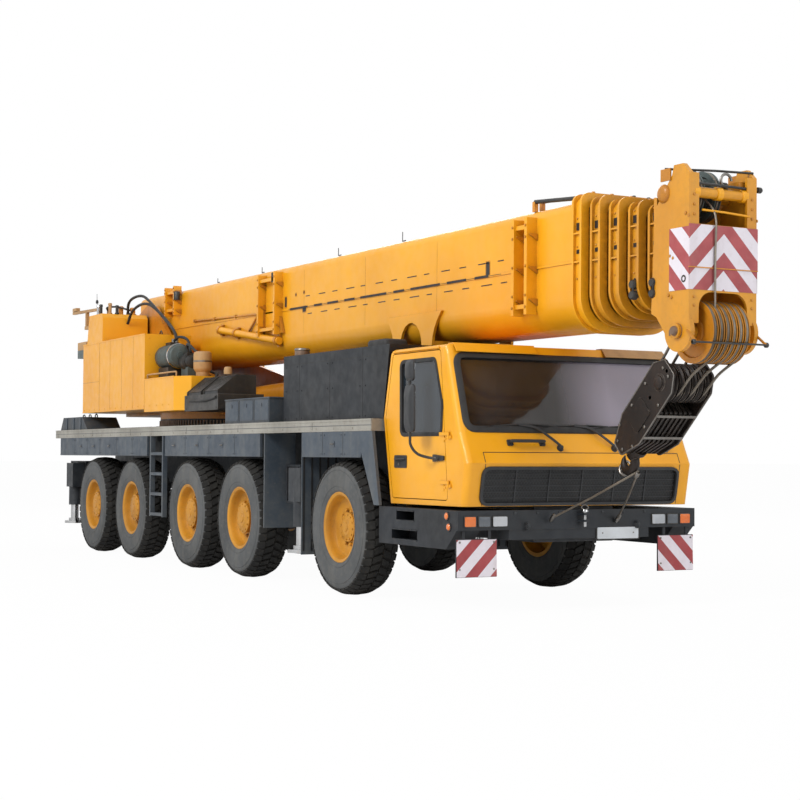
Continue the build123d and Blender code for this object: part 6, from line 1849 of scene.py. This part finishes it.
@dataclass(frozen=True)
class BoomTrim:
    """Slots, ducts, brackets, rods and rope on the boom, and the fittings of its collars."""

    half: float = 0.460
    top: float = 0.495
    step: float = 0.045
    collar_x: float = 11.34
    pitch: float = 0.215
    rope_r: float = 0.011
    rope_z: float = 0.540

    def slots(self) -> Surface:
        """Makes the slot line along each side: dark dashes on the seam, and finer ones above and below it.

        Returns:
            The surface.
        """
        shape = Surface()
        dashes = ((5.12, 5.62), (5.80, 6.02), (6.16, 6.44), (6.60, 6.86), (7.00, 7.62), (7.78, 8.02),
                  (8.16, 8.78), (8.92, 9.30), (9.46, 9.72))
        for _, side in SIDES:
            y = side * (self.half + .0105)
            shape.box((5.08, y, -.0425), (9.95, y + side * .0008, -.0375), Finish.RUBBER)
            for x0, x1 in dashes:
                shape.box((x0, y, -.052), (x1, y + side * .0012, -.028), Finish.RUBBER)
            y = side * self.half
            for level, shift in ((0.088, 0.0), (-0.125, 0.06)):
                for n, x in enumerate(np.arange(5.55, 9.9, 0.36)):
                    long = (.11, .17, .13, .20)[n % 4]
                    shape.box((x + shift, y, level - .005), (x + shift + long, y + side * .0015, level + .006),
                              Finish.FORGED)
            marks = ((*on_boom(-3.324, 3.269), .026, .062), (*on_boom(-2.79, 3.142), .044, .032),
                     (*on_boom(1.391, 3.204), .032, .070), (*on_boom(-3.03, 3.335), .014, .014),
                     (*on_boom(-2.80, 3.345), .014, .014), (*on_boom(-5.30, 3.02), .016, .016))
            for x, z, a, b in marks:
                outline = rectangle(x - a, x + a, z - b, z + b, min(a, b) * .4)
                shape.prism(outline, "Y", y, y + side * .0015, Finish.RUBBER)
                lip = rectangle(x - a - .008, x + a + .008, z - b - .008, z + b + .008, min(a, b) * .5)
                shape.tube(spread(lip, "Y", y), .0035, Finish.YELLOW_OILY_SHADED, 6, True)
            for x in (5.50, 7.10, 8.70):
                shape.box((x - .0015, y, -.35), (x + .0015, y + side * .001, .40), Finish.YELLOW_OILY_SHADED)
        return shape

    def ducts(self) -> Surface:
        """Makes the side tube with its clamps, the thin strut, and the brackets' gussets and bolts.

        Returns:
            The surface.
        """
        shape = Surface()
        y = -0.508
        a, b = on_boom(-5.352, 3.060), on_boom(-3.40, 2.800)
        shape.tube(((a[0], y, a[1]), ((a[0] + b[0]) / 2, y, (a[1] + b[1]) / 2), (b[0], y, b[1])), .046,
                   Finish.YELLOW, 20)
        angle = math.atan2(a[1] - b[1], b[0] - a[0])
        for t in (0.02, 0.30, 0.97):
            place = Matrix.Translation((a[0] + (b[0] - a[0]) * t, y, a[1] + (b[1] - a[1]) * t))
            turn = place @ Matrix.Rotation(angle, 4, "Y")
            shape.turned(((.046, -.03), (.058, -.028), (.058, .028), (.046, .03)), (0, 0, 0), "X",
                         Finish.YELLOW_OILY_SHADED, 20, True, turn)
            shape.box((-.028, .01, -.075), (.028, .05, .075), Finish.YELLOW_OILY_SHADED, turn)
        shape.turned(((0, .03), (.03, .03), (.036, .02), (.036, 0)), (a[0] - .03, y, a[1] + .004), "X",
                     Finish.BLACK, 16)
        c, d = on_boom(-6.346, 3.252), on_boom(-4.119, 3.182)
        shape.tube(((c[0], -.478, c[1]), ((c[0] + d[0]) / 2, -.478, (c[1] + d[1]) / 2), (d[0], -.478, d[1])),
                   .012, Finish.YELLOW_OILY_SHADED, 10)
        for t in (0.0, 0.33, 0.66, 1.0):
            x, z = c[0] + (d[0] - c[0]) * t, c[1] + (d[1] - c[1]) * t
            shape.box((x - .018, -.495, z - .02), (x + .018, -.459, z + .02), Finish.YELLOW_OILY_SHADED)
        e, f = on_boom(-4.119, 3.182), on_boom(-4.42, 2.98)
        shape.tube(((e[0], -.482, e[1]), (f[0], -.482, f[1])), .014, Finish.YELLOW_OILY_SHADED, 8)
        for posts, low, high in (((-7.30, -6.95), 3.38, 3.79), ((-3.95, -3.45), 2.88, 3.65),
                                 ((2.0, 2.22), 2.70, 3.59)):
            for x in posts:
                bx, bz = on_boom(x, low)
                tall = high - low
                places = [(bx, -.571, bz + s * tall) for s in (.08, .2, .5, .8, .92)]
                shape.bolts(places, "Y", Finish.YELLOW_OILY_SHADED, .013, .009, -1)
                for s in (.15, .48, .82):
                    z = bz + s * tall
                    shape.prism([(-.461, z - .05), (-.548, z), (-.548, z + .012), (-.461, z + .012)], "X",
                                bx - .045, bx + .045, Finish.YELLOW_OILY_SHADED)
        (x0, z0), (x1, _) = on_boom(-3.95, 2.88), on_boom(-3.45, 2.88)
        flare = [(x0 - .14, z0 + .02), (x0 + .03, z0 + .40), (x0 + .03, z0 + .02)]
        shape.prism(flare, "Y", -.500, -.462, Finish.YELLOW_OILY_SHADED)
        shape.prism([(x1 - .03, z0 + .02), (x1 - .03, z0 + .34), (x1 + .12, z0 + .02)], "Y", -.500, -.462,
                    Finish.YELLOW_OILY_SHADED)
        back = [(x0, z0 + .02), (x1, z0 + .02), (x1 - .02, z0 + .74), (x0 + .06, z0 + .74)]
        shape.prism(back, "Y", -.470, -.461, Finish.YELLOW)
        cap = on_boom(-3.70, 3.63)
        shape.box((cap[0] + .13, -.55, cap[1] - .10), (cap[0] + .24, -.47, cap[1] + .02), Finish.RUBBER)
        cap = on_boom(-7.0, 3.68)
        shape.turned(((0, .06), (.04, .06), (.045, .05), (.045, -.06), (0, -.06)),
                     (cap[0] + .08, -.53, cap[1] - .03), "Z", Finish.BLACK, 16)
        return shape

    def upper(self) -> Surface:
        """Makes what stands on the boom's top: marker rods, the rope and its guides, a rod and arms.

        Returns:
            The surface.
        """
        shape = Surface()
        for x in (-5.7, -4.2, -2.0, -0.45):
            bx, _ = on_boom(x, 3.7)
            high = min(.14, HIGHEST - PIVOT_Z + math.sin(NOSE_DOWN) * bx - self.top)
            shape.tube(((bx, -.40, self.top), (bx, -.40, self.top + high)), .005, Finish.BLACK, 6)
            shape.tube(((bx, -.40, self.top + .006), (bx + .07, -.40, self.top + .006)), .006, Finish.BLACK, 6)
        z = self.rope_z - .012
        rope = ((0.35, 0, z - .03), (1.2, 0, z), (5.0, 0, z), (8.0, 0, z), (10.0, 0, z + .005),
                (11.30, 0, z + .02))
        shape.tube(curve(rope, 4), self.rope_r, Finish.ROPE, 8)
        for x in (0.35, 5.0, 9.6):
            shape.turned(((.0, -.07), (.026, -.07), (.034, -.06), (.016, -.02), (.016, .02), (.034, .06),
                          (.026, .07), (0, .07)), (x, 0, self.top + .012), "Y", Finish.MACHINE, 16)
            for s in (-1, 1):
                shape.box((x - .03, s * .072, self.top - .002), (x + .03, s * .084, self.top + .035),
                          Finish.YELLOW_OILY_SHADED)
        arm = [on_boom(*p) for p in ((2.095, 3.765), (2.935, 3.722))]
        shape.tube([(p[0], -.30, p[1]) for p in arm], .014, Finish.SAND, 10)
        rod = [on_boom(*p) for p in ((2.129, 3.757), (2.900, 3.690))]
        shape.tube([(p[0], -.40, p[1]) for p in rod], .020, Finish.BLACK, 12)
        for (x, zz), y in ((arm[0], -.30), (arm[1], -.30), (rod[0], -.40), (rod[1], -.40)):
            shape.box((x - .02, y - .02, self.top - .001), (x + .02, y + .02, max(zz, self.top)),
                      Finish.YELLOW_OILY_SHADED)
        shape.bolts([(x, y, self.top) for x in np.arange(1.0, 11.0, 1.25) for y in (-.33, .33)], "Z",
                    Finish.YELLOW, .014, .008)
        return shape

    def collar(self, index: int) -> Surface:
        """Makes one collar's fittings: locking pins and knobs on its top, pads' bolts on its sides and foot.

        Args:
            index: which collar, counted from the boom's base.

        Returns:
            The surface.
        """
        shape = Surface()
        front = self.collar_x + self.pitch * index
        half, top = self.half - self.step * index, self.top - self.step * index
        x = front - .075
        pin = ((0, .052), (.014, .052), (.018, .046), (.018, .036), (.010, .032), (.010, .010), (.024, .008),
               (.024, -.004))
        for y in (-half + .12, half - .12):
            shape.turned(pin, (x, y, top + .030), "Z", Finish.YELLOW_OILY_SHADED, 12)
        shape.turned(pin, (x, 0.10, top + .030), "Z", Finish.BLACK, 12)
        for _, side in SIDES:
            y = side * (half + .030)
            places = [(x + d, y, z) for z in (.33, .08, -.20) for d in (-.022, .022)]
            shape.bolts(places, "Y", Finish.YELLOW_OILY_SHADED, .009, .008, side)
            shape.box((x - .034, y, .225), (x + .034, y + side * .006, .29), Finish.FORGED)
            shape.box((x - .030, y, .02), (x + .030, y + side * .006, .055), Finish.FORGED)
        low = -.610 + self.step * index - .030
        shape.bolts([(x, y, low) for y in (-.12, -.04, .04, .12)], "Z", Finish.BLACK, .014, .012, -1)
        if index >= 3:
            knob = ((0, .07), (.030, .07), (.040, .055), (.040, .02), (.026, .015), (.026, 0))
            for z in (-.30, -.39):
                shape.turned([(r, -d) for r, d in knob], (x + .01, -half - .02, z), "Y", Finish.BLACK, 16)
            shape.tube(curve(((x, -half - .04, -.25), (x + .03, -half - .08, -.33),
                              (x + .01, -half - .05, -.42)), 5), .010, Finish.RUBBER, 8)
        return shape

    def make(self) -> int:
        """Makes the boom's trim.

        Returns:
            The number of pieces.
        """
        self.slots().build("boom_side_slots", "boom", frame=BOOM)
        self.ducts().build("boom_side_fittings", "boom", frame=BOOM)
        self.upper().build("boom_top_fittings", "boom", frame=BOOM)
        for index, body in enumerate(("boom", "boom_section_1", "boom_section_2", "boom_section_3",
                                      "boom_tip")):
            self.collar(index).build(f"collar_fittings_{index}", body, frame=BOOM)
        return 8


@dataclass(frozen=True)
class HeadTrim:
    """The boom head's stripes, sheaves with their rope, pins, rods and upper rollers."""

    pin: tuple[float, float] = (4.165, 2.430)
    upper: tuple[float, float] = (3.985, 3.575)
    sheave_r: float = 0.260
    upper_r: float = 0.215
    pitch: float = 0.066
    front: float = 12.6154

    def stripes(self) -> Surface:
        """Makes the striped sheets on both cheeks and on the head's face, in two plates with a joint.

        Returns:
            The surface.
        """
        shape = Surface()
        low, joint, high = (self.height(z) for z in (2.76, 2.945, 3.29))
        x1 = self.front
        shape.prism(rectangle(x1 + .0005, x1 + .004, -.3545, .3545), "Z", low, joint - .004, Finish.HEAD_FRONT)
        shape.prism(rectangle(x1 + .0005, x1 + .010, -.3545, .3545), "Z", joint, high, Finish.HEAD_FRONT)
        shape.prism(rectangle(x1 - .002, x1 + .012, -.3555, .3555), "Z", joint - .008, joint,
                    Finish.YELLOW_OILY_SHADED)
        for _, side in SIDES:
            a, b = sorted((side * .3502, side * .3540))
            shape.prism(rectangle(x1 - .254, x1 + .004, a, b), "Z", low, high - .02, Finish.HEAD_SIDE)
        return shape

    def height(self, z: float) -> float:
        """Returns a height on the head's face in the boom's frame."""
        return on_boom(4.32, z)[1]

    def sheave(self, centre: tuple[float, float], radius: float, places: Sequence[float], wide: float,
               disc: Finish) -> Surface:
        """Makes a row of sheaves: rim, groove, web and hub turned about the pin, with rope in the groove.

        Args:
            centre: (x, z) of the pin in the side view.
            radius: the sheaves' radius.
            places: middle of each along Y.
            wide: the rim's width.
            disc: finish of the discs.

        Returns:
            The surface.
        """
        shape = Surface()
        x, z = on_boom(*centre)
        w = wide / 2
        outline = ((radius, -w), (radius, -w + .006), (radius - .030, -.010), (radius - .034, 0),
                   (radius - .030, .010), (radius, w - .006), (radius, w), (radius - .045, w - .002),
                   (radius - .055, .008), (.115, .008), (.110, w), (.062, w), (.062, -w), (.110, -w),
                   (.115, -.008), (radius - .055, -.008), (radius - .045, -w + .002))
        angle = np.linspace(0, 2 * math.pi, 12, endpoint=False)
        rope_r = .019 if radius > .25 else .012
        rope = np.stack((radius - rope_r + rope_r * np.cos(angle), rope_r * np.sin(angle)), -1)
        for y in places:
            shape.turned(outline, (x, y, z), "Y", disc, 56, True)
            shape.turned(rope, (x, y, z), "Y", Finish.ROPE, 56, True)
        return shape

    def pins(self) -> Surface:
        """Makes the pins' caps and keepers, the bosses, and the guard rod across the sheaves.

        Returns:
            The surface.
        """
        shape = Surface()
        x, z = on_boom(*self.pin)
        tx, tz = on_boom(*self.upper)
        for _, side in SIDES:
            y = side * .350
            cap = ((0, .060), (.030, .060), (.038, .050), (.042, .020), (.056, .016), (.060, .006), (.062, 0))
            shape.turned([(r, side * d) for r, d in cap], (x, y, z), "Y", Finish.TIN, 32)
            shape.box((x - .085, y, z - .035), (x + .015, y + side * .022, z + .010), Finish.TIN)
            shape.turned([(r, side * d) for r, d in ((0, .034), (.045, .034), (.060, .024), (.075, .010),
                                                     (.078, 0))], (tx, y, tz), "Y", Finish.YELLOW_OILY_SHADED, 28)
            shape.turned([(r, side * d) for r, d in ((.018, .008), (.030, .006), (.032, 0), (.018, -.001))],
                         (x + .08, y, z + .42), "Y", Finish.FORGED, 16, True)
            for px, pz in ((x - .12, z + .30), (x - .10, z + .62), (x + .10, z + .95)):
                shape.bolts([(px, y, pz), (px + .04, y, pz - .02)], "Y", Finish.YELLOW_OILY_SHADED, .014, .010, side)
        gx, gz = x + .252, z - .100
        shape.tube(((gx, -.385, gz), (gx, 0, gz), (gx, .385, gz)), .008, Finish.BLACK, 10)
        for y in (-.375, .375):
            end = ((0, .016), (.018, .016), (.022, .01), (.022, -.01), (.012, -.016))
            shape.turned(end, (gx - .014, y, gz), "Y", Finish.BLACK, 12)
            shape.tube(((x + .12, y * .93, z), (gx, y * .96, gz)), .012, Finish.YELLOW_OILY_SHADED, 6)
        return shape

    def rods(self) -> Surface:
        """Makes the head's upper rods, hook, cross tube, rope down the face, and edge flanges' bolts.

        Returns:
            The surface.
        """
        shape = Surface()
        x1, z1 = on_boom(4.32, 3.79)
        shape.tube(((x1 - .33, -.345, z1 - .012), (x1 - .10, 0, z1 - .03), (x1 - .04, .345, z1 - .03)), .010,
                   Finish.BLACK, 8)
        shape.tube(((x1 - .02, -.33, z1 - .16), (x1 - .02, 0, z1 - .165), (x1 - .02, .40, z1 - .17)), .011,
                   Finish.BLACK, 8)
        shape.turned(((0, .03), (.02, .03), (.026, .02), (.026, -.01), (.012, -.014)),
                     (x1 - .02, .385, z1 - .17), "Y", Finish.BLACK, 12)
        tx, tz = on_boom(4.268, 3.56)
        for y in (-.26, -.02, .24):
            shape.turned(((.045, -.03), (.056, -.026), (.056, .026), (.045, .03)), (tx, y, tz), "Y",
                         Finish.YELLOW, 24, True)
        ring = 2 * math.pi * np.linspace(0, .80, 16)
        hook = np.stack((np.full(16, x1 - .04), .06 + .055 * np.cos(ring), z1 - .115 + .055 * np.sin(ring)), -1)
        shape.tube(hook, .012, Finish.BARE_STEEL, 8)
        shape.tube(((x1 + .005, -.22, z1 - .38), (x1 + .005, 0, z1 - .385), (x1 + .005, .27, z1 - .40)), .009,
                   Finish.YELLOW, 8)
        ux, uz = on_boom(*self.upper)
        fall = ((ux + .19, -.12, uz + .07), (ux + .21, -.115, uz - .03), (x1 + .020, -.10, uz - .20),
                (x1 + .022, -.10, -.10), (x1 + .022, -.10, -.42), (x1 + .02, -.10, -.62))
        shape.tube(curve(fall, 5), .009, Finish.ROPE, 8)
        shape.tube(curve(((11.36 + .86, 0, .44), (ux - .30, .02, uz + .12), (ux - .10, .05, uz + .195),
                          (ux, .05, uz + .206)), 5), .011, Finish.ROPE, 8)
        for _, side in SIDES:
            y = side * .300
            shape.bolts([(x1, y, z) for z in (-.52, -.45, .22, .30, .38)], "X", Finish.YELLOW_OILY_SHADED, .012, .009)
            shape.box((ux - .03, side * .35, uz + .10), (ux + .10, side * .362, uz + .20), Finish.YELLOW_OILY_SHADED)
        shape.box((x1 - .20, .20, z1 - .20), (x1 - .05, .27, z1 - .11), Finish.YELLOW_OILY_SHADED)
        shape.turned(((0, -.02), (.035, -.02), (.035, .02), (0, .02)), (x1 - .12, .10, z1 - .15), "Y",
                     Finish.BLACK, 16)
        return shape

    def make(self) -> int:
        """Makes the head's trim.

        Returns:
            The number of pieces.
        """
        self.stripes().build("head_stripes", "boom_tip", frame=BOOM)
        places = [(n - 2.5) * self.pitch for n in range(6)]
        lower = self.sheave(self.pin, self.sheave_r, places, .050, Finish.YELLOW_OILY_SHADED)
        lower.build("head_sheaves_with_rope", "boom_tip", ("head_sheaves",), BOOM)
        upper = self.sheave(self.upper, self.upper_r, (-.12, .05), .060, Finish.MACHINE)
        upper.build("upper_sheaves_with_rope", "boom_tip", ("head_sheaves",), BOOM)
        self.pins().build("head_pins", "boom_tip", frame=BOOM)
        self.rods().build("head_rods", "boom_tip", frame=BOOM)
        return 5


@dataclass(frozen=True)
class HookTrim:
    """The hook block: its plates, sheaves, falls, hook and the slings that lash it to the bumper."""

    lean: float = math.radians(46.5)
    start: float = 0.390
    end: float = 1.400
    depth: float = 0.180
    half: float = 0.210
    sheave_z: float = -0.580
    sheave_r: float = 0.165
    pitch: float = 0.066

    def frame(self) -> Matrix:
        """Returns the matrix of the block's frame: from the head's lower pin, its Z up along the falls."""
        x, z = HeadTrim.pin
        return AXLE @ Matrix.Translation((x, 0, z)) @ Matrix.Rotation(self.lean, 4, "Y")

    def cheeks(self) -> Surface:
        """Makes the outer and inner plates, carried outlines with light steel edge bars that are also a painted
        highlight, bolts and cross bands.

        Returns:
            The surface.
        """
        shape = Surface()
        d, s, e = self.depth, self.start, self.end
        outer = rounded(((-d + .09, -s), (d - .09, -s), (d, -s - .13), (d, -e + .26), (d - .11, -e),
                         (.11 - d, -e), (-d, -e + .26), (-d, -s - .13)), .035)
        inner = rounded(((.02 - d, -.785), (d - .02, -.785), (d - .02, -e + .26), (d - .12, -e + .01),
                         (.12 - d, -e + .01), (.02 - d, -e + .26)), .03)
        for _, side in SIDES:
            a, b = sorted((side * (self.half - .018), side * self.half))
            shape.prism(outer, "Y", a, b, Finish.FORGED)
            # a bare steel bar round each outer plate's edge: partly a steel edge, partly a painted highlight
            edge = spread(outer.mean(0) + (outer - outer.mean(0)) * .985, "Y", side * self.half)
            shape.tube(edge, .006, Finish.BARE_STEEL, 6, True)
            y = side * self.half
            for z in (-.46, -.72, -.98, -1.22, -1.34):
                shape.bolts([(x, y, z) for x in ((-.13, .13) if -1.3 < z < -.5 else (-.05, .05))], "Y",
                            Finish.BARE_STEEL, .016, .012, side)
            cap = ((0, .030), (.04, .030), (.055, .022), (.060, .006), (.075, .004), (.078, 0))
            shape.turned([(r, side * h) for r, h in cap], (0, y, self.sheave_z), "Y", Finish.FORGED, 28)
            rib = rectangle(-.10, .10, -1.10, -.84, .03)
            shape.prism(rib, "Y", y - side * .001, y + side * .008, Finish.FORGED)
        for y in np.linspace(-.150, .150, 7):
            shape.prism(inner, "Y", y - .011, y + .011, Finish.FORGED)
        shape.prism([(.045 - d, -.80), (d - .045, -.80), (d - .045, -e + .27), (d - .14, -e + .03),
                     (.14 - d, -e + .03), (.045 - d, -e + .27)], "Y", -.19, .19, Finish.BLACK)
        for z in (-.80, -1.06):
            for x in (-d - .006, d - .002):
                band = rectangle(x, x + .008, z - .014, z + .014)
                shape.prism(band, "Y", -self.half, self.half, Finish.BARE_STEEL)
        for z in (-.445, -.76):
            shape.tube(((0, -self.half, z), (0, 0, z), (0, self.half, z)), .020, Finish.BARE_STEEL, 12)
        return shape

    def sheaves(self) -> Surface:
        """Makes the block's sheaves and the falls of rope that run up to the head.

        Returns:
            The surface.
        """
        shape = Surface()
        r = self.sheave_r
        outline = ((r, -.025), (r, -.019), (r - .022, 0), (r, .019), (r, .025), (r - .035, .022),
                   (r - .04, .008), (.07, .008), (.065, .025), (.048, .025), (.048, -.025), (.065, -.025),
                   (.07, -.008), (r - .04, -.008), (r - .035, -.022))
        for n in range(6):
            y = (n - 2.5) * self.pitch
            shape.turned(outline, (0, y, self.sheave_z), "Y", Finish.FORGED, 40, True)
            sign = 1 if n % 2 else -1
            fall = ((sign * .247, y, -.02), (sign * .225, y, -.12), (sign * .165, y, -.32),
                    (sign * .150, y, -.52), (sign * .120, y, -.66))
            shape.tube(curve(fall, 5), .012, Finish.ROPE, 8)
        return shape

    def hook(self) -> Surface:
        """Makes the swivel, the hook (a thick bow whose radius shrinks to its tip) and its safety latch.

        Returns:
            The surface.
        """
        shape = Surface()
        e = self.end
        shape.turned(((0, -e - .10), (.045, -e - .10), (.060, -e - .085), (.062, -e - .02), (.085, -e - .01),
                      (.09, -e + .03), (0, -e + .03)), (0, 0, 0), "Z", Finish.FORGED, 28)
        t = np.linspace(0, 1, 28)
        turn = math.radians(95) - t * math.radians(270)
        bow = np.stack((.082 * np.cos(turn), np.zeros(28), -e - .150 + .082 * np.sin(turn)), -1)
        ahead = np.gradient(bow, axis=0)
        ahead /= np.linalg.norm(ahead, axis=1)[:, None]
        side = np.cross(ahead, (0, 1, 0))
        size = .040 * np.sin(np.pi * np.clip(t * .85 + .18, 0, 1)) ** .6 + .008
        a = np.linspace(0, 2 * math.pi, 14, endpoint=False)
        wide, thick = np.cos(a)[None, :, None], .9 * np.sin(a)[None, :, None]
        grid = bow[:, None] + size[:, None, None] * (wide * side[:, None] + thick * np.array((0, 1, 0)))
        shape.sheet(grid, Finish.FORGED, (False, True), True)
        shape.tube(((-.02, 0, -e - .085), (-.075, 0, -e - .115)), .010, Finish.BARE_STEEL, 8)
        return shape

    def slings(self) -> Surface:
        """Makes the lashing: two wire slings and a chain's shackle from the hook to the bumper's face.

        Returns:
            The surface.
        """
        back = self.frame().inverted() @ AXLE
        shape = Surface()
        start = Vector((3.17, 0.0, 1.28))
        for end, sag in ((Vector((2.372, -.366, .850)), .01), (Vector((2.345, .381, .835)), .02)):
            middle = start.lerp(end, .5) - Vector((0, 0, sag))
            points = [tuple(back @ p) for p in (start, start.lerp(middle, .5), middle, middle.lerp(end, .5),
                                                end)]
            shape.tube(curve(points, 4), .010, Finish.ROPE, 8)
            tip = back @ end
            shape.turned(((0, .05), (.016, .045), (.020, .02), (.020, -.03), (.012, -.05), (0, -.05)),
                         tuple(tip), "Z", Finish.BARE_STEEL, 12)
            eye = back @ (start - Vector((.02, 0, .03)))
            shape.turned(((.016, -.03), (.022, -.02), (.022, .02), (.016, .03)), tuple(eye), "Z",
                         Finish.BARE_STEEL, 12, True)
        ring = 2 * math.pi * np.linspace(0, 1, 18, endpoint=False)
        loop = np.stack((.060 * np.cos(ring), .02 * np.sin(ring), -self.end - .235 + .060 * np.sin(ring)), -1)
        shape.tube(loop, .013, Finish.BARE_STEEL, 8, True)
        return shape

    def make(self) -> int:
        """Makes the hook block.

        Returns:
            The number of pieces.
        """
        frame = self.frame()
        self.cheeks().build("hook_block_plates", "hook_block", ("hook_block",), frame, bevel=.002)
        self.sheaves().build("hook_block_sheaves", "hook_block", ("hook_block",), frame)
        self.hook().build("crane_hook", "hook_block", ("hook_block",), frame, angle=50)
        self.slings().build("hook_slings", "hook_block", (), frame)
        return 4


PARTS = (Wheels(), CabTrim(), BumperTrim(), DeckTrim(), EngineHood(), SuperstructureTrim(), BoomTrim(),
         HeadTrim(), HookTrim())
NODE_FINISH: dict[str, Finish] = {
    "axle_beams": Finish.CHASSIS, "chassis_frame": Finish.CHASSIS, "deck": Finish.WALKWAY,
    "side_skirts": Finish.SKIRT, "engine_housing": Finish.HOOD, "cab_shell": Finish.YELLOW,
    "cab_glass": Finish.SCREEN_GLASS, "front_bumper": Finish.HOOD, "seats": Finish.CLOTH,
    "dashboard": Finish.PLASTIC, "superstructure_frame": Finish.YELLOW_OILY_SHADED,
    "machinery_house": Finish.YELLOW, "counterweight": Finish.YELLOW, "winch": Finish.YELLOW_OILY_SHADED,
    "hydraulics": Finish.MACHINE, "operator_cab": Finish.YELLOW, "operator_cab_glass": Finish.SIDE_GLASS,
    "operator_cab_door": Finish.YELLOW, "boom_base": Finish.YELLOW, "boom_section": Finish.YELLOW_GREASED,
    "boom_tip": Finish.YELLOW_GREASED, "luffing_barrel": Finish.YELLOW_OILY_SHADED, "luffing_rod": Finish.CHROME,
    "hook_block": Finish.FORGED, "door_pane": Finish.SIDE_GLASS, "door_right": Finish.YELLOW,
    "door_left": Finish.YELLOW, "knuckle": Finish.CHASSIS, "outrigger_beam": Finish.CHASSIS,
    "outrigger_jack": Finish.CHROME, "lamps": Finish.CLEAR, "mirror": Finish.PLASTIC, "wheel": Finish.RIM,
    "head_sheaves": Finish.BARE_STEEL,
}


def finish_nodes(nodes: dict[str, bpy.types.Object]) -> int:
    """Gives every CAD node its material, by the longest name that starts its own, and counts them.

    Args:
        nodes: the CAD nodes by name.

    Returns:
        The number of nodes.
    """
    for name, thing in nodes.items():
        key = max((key for key in NODE_FINISH if name.startswith(key)), key=len)
        for slot in thing.material_slots:
            slot.material = NODE_FINISH[key].material
    return len(nodes)


def main() -> None:
    """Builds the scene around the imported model."""
    logging.basicConfig(level=logging.INFO, format="%(message)s")
    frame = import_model()
    View().make()
    Studio().make()
    LOG.info("finishes on %d nodes", finish_nodes(frame["nodes"]))
    for part in PARTS:
        LOG.info("%s: %d", type(part).__name__, part.make())
    bpy.context.view_layer.update()


if __name__ == "__main__":
    main()
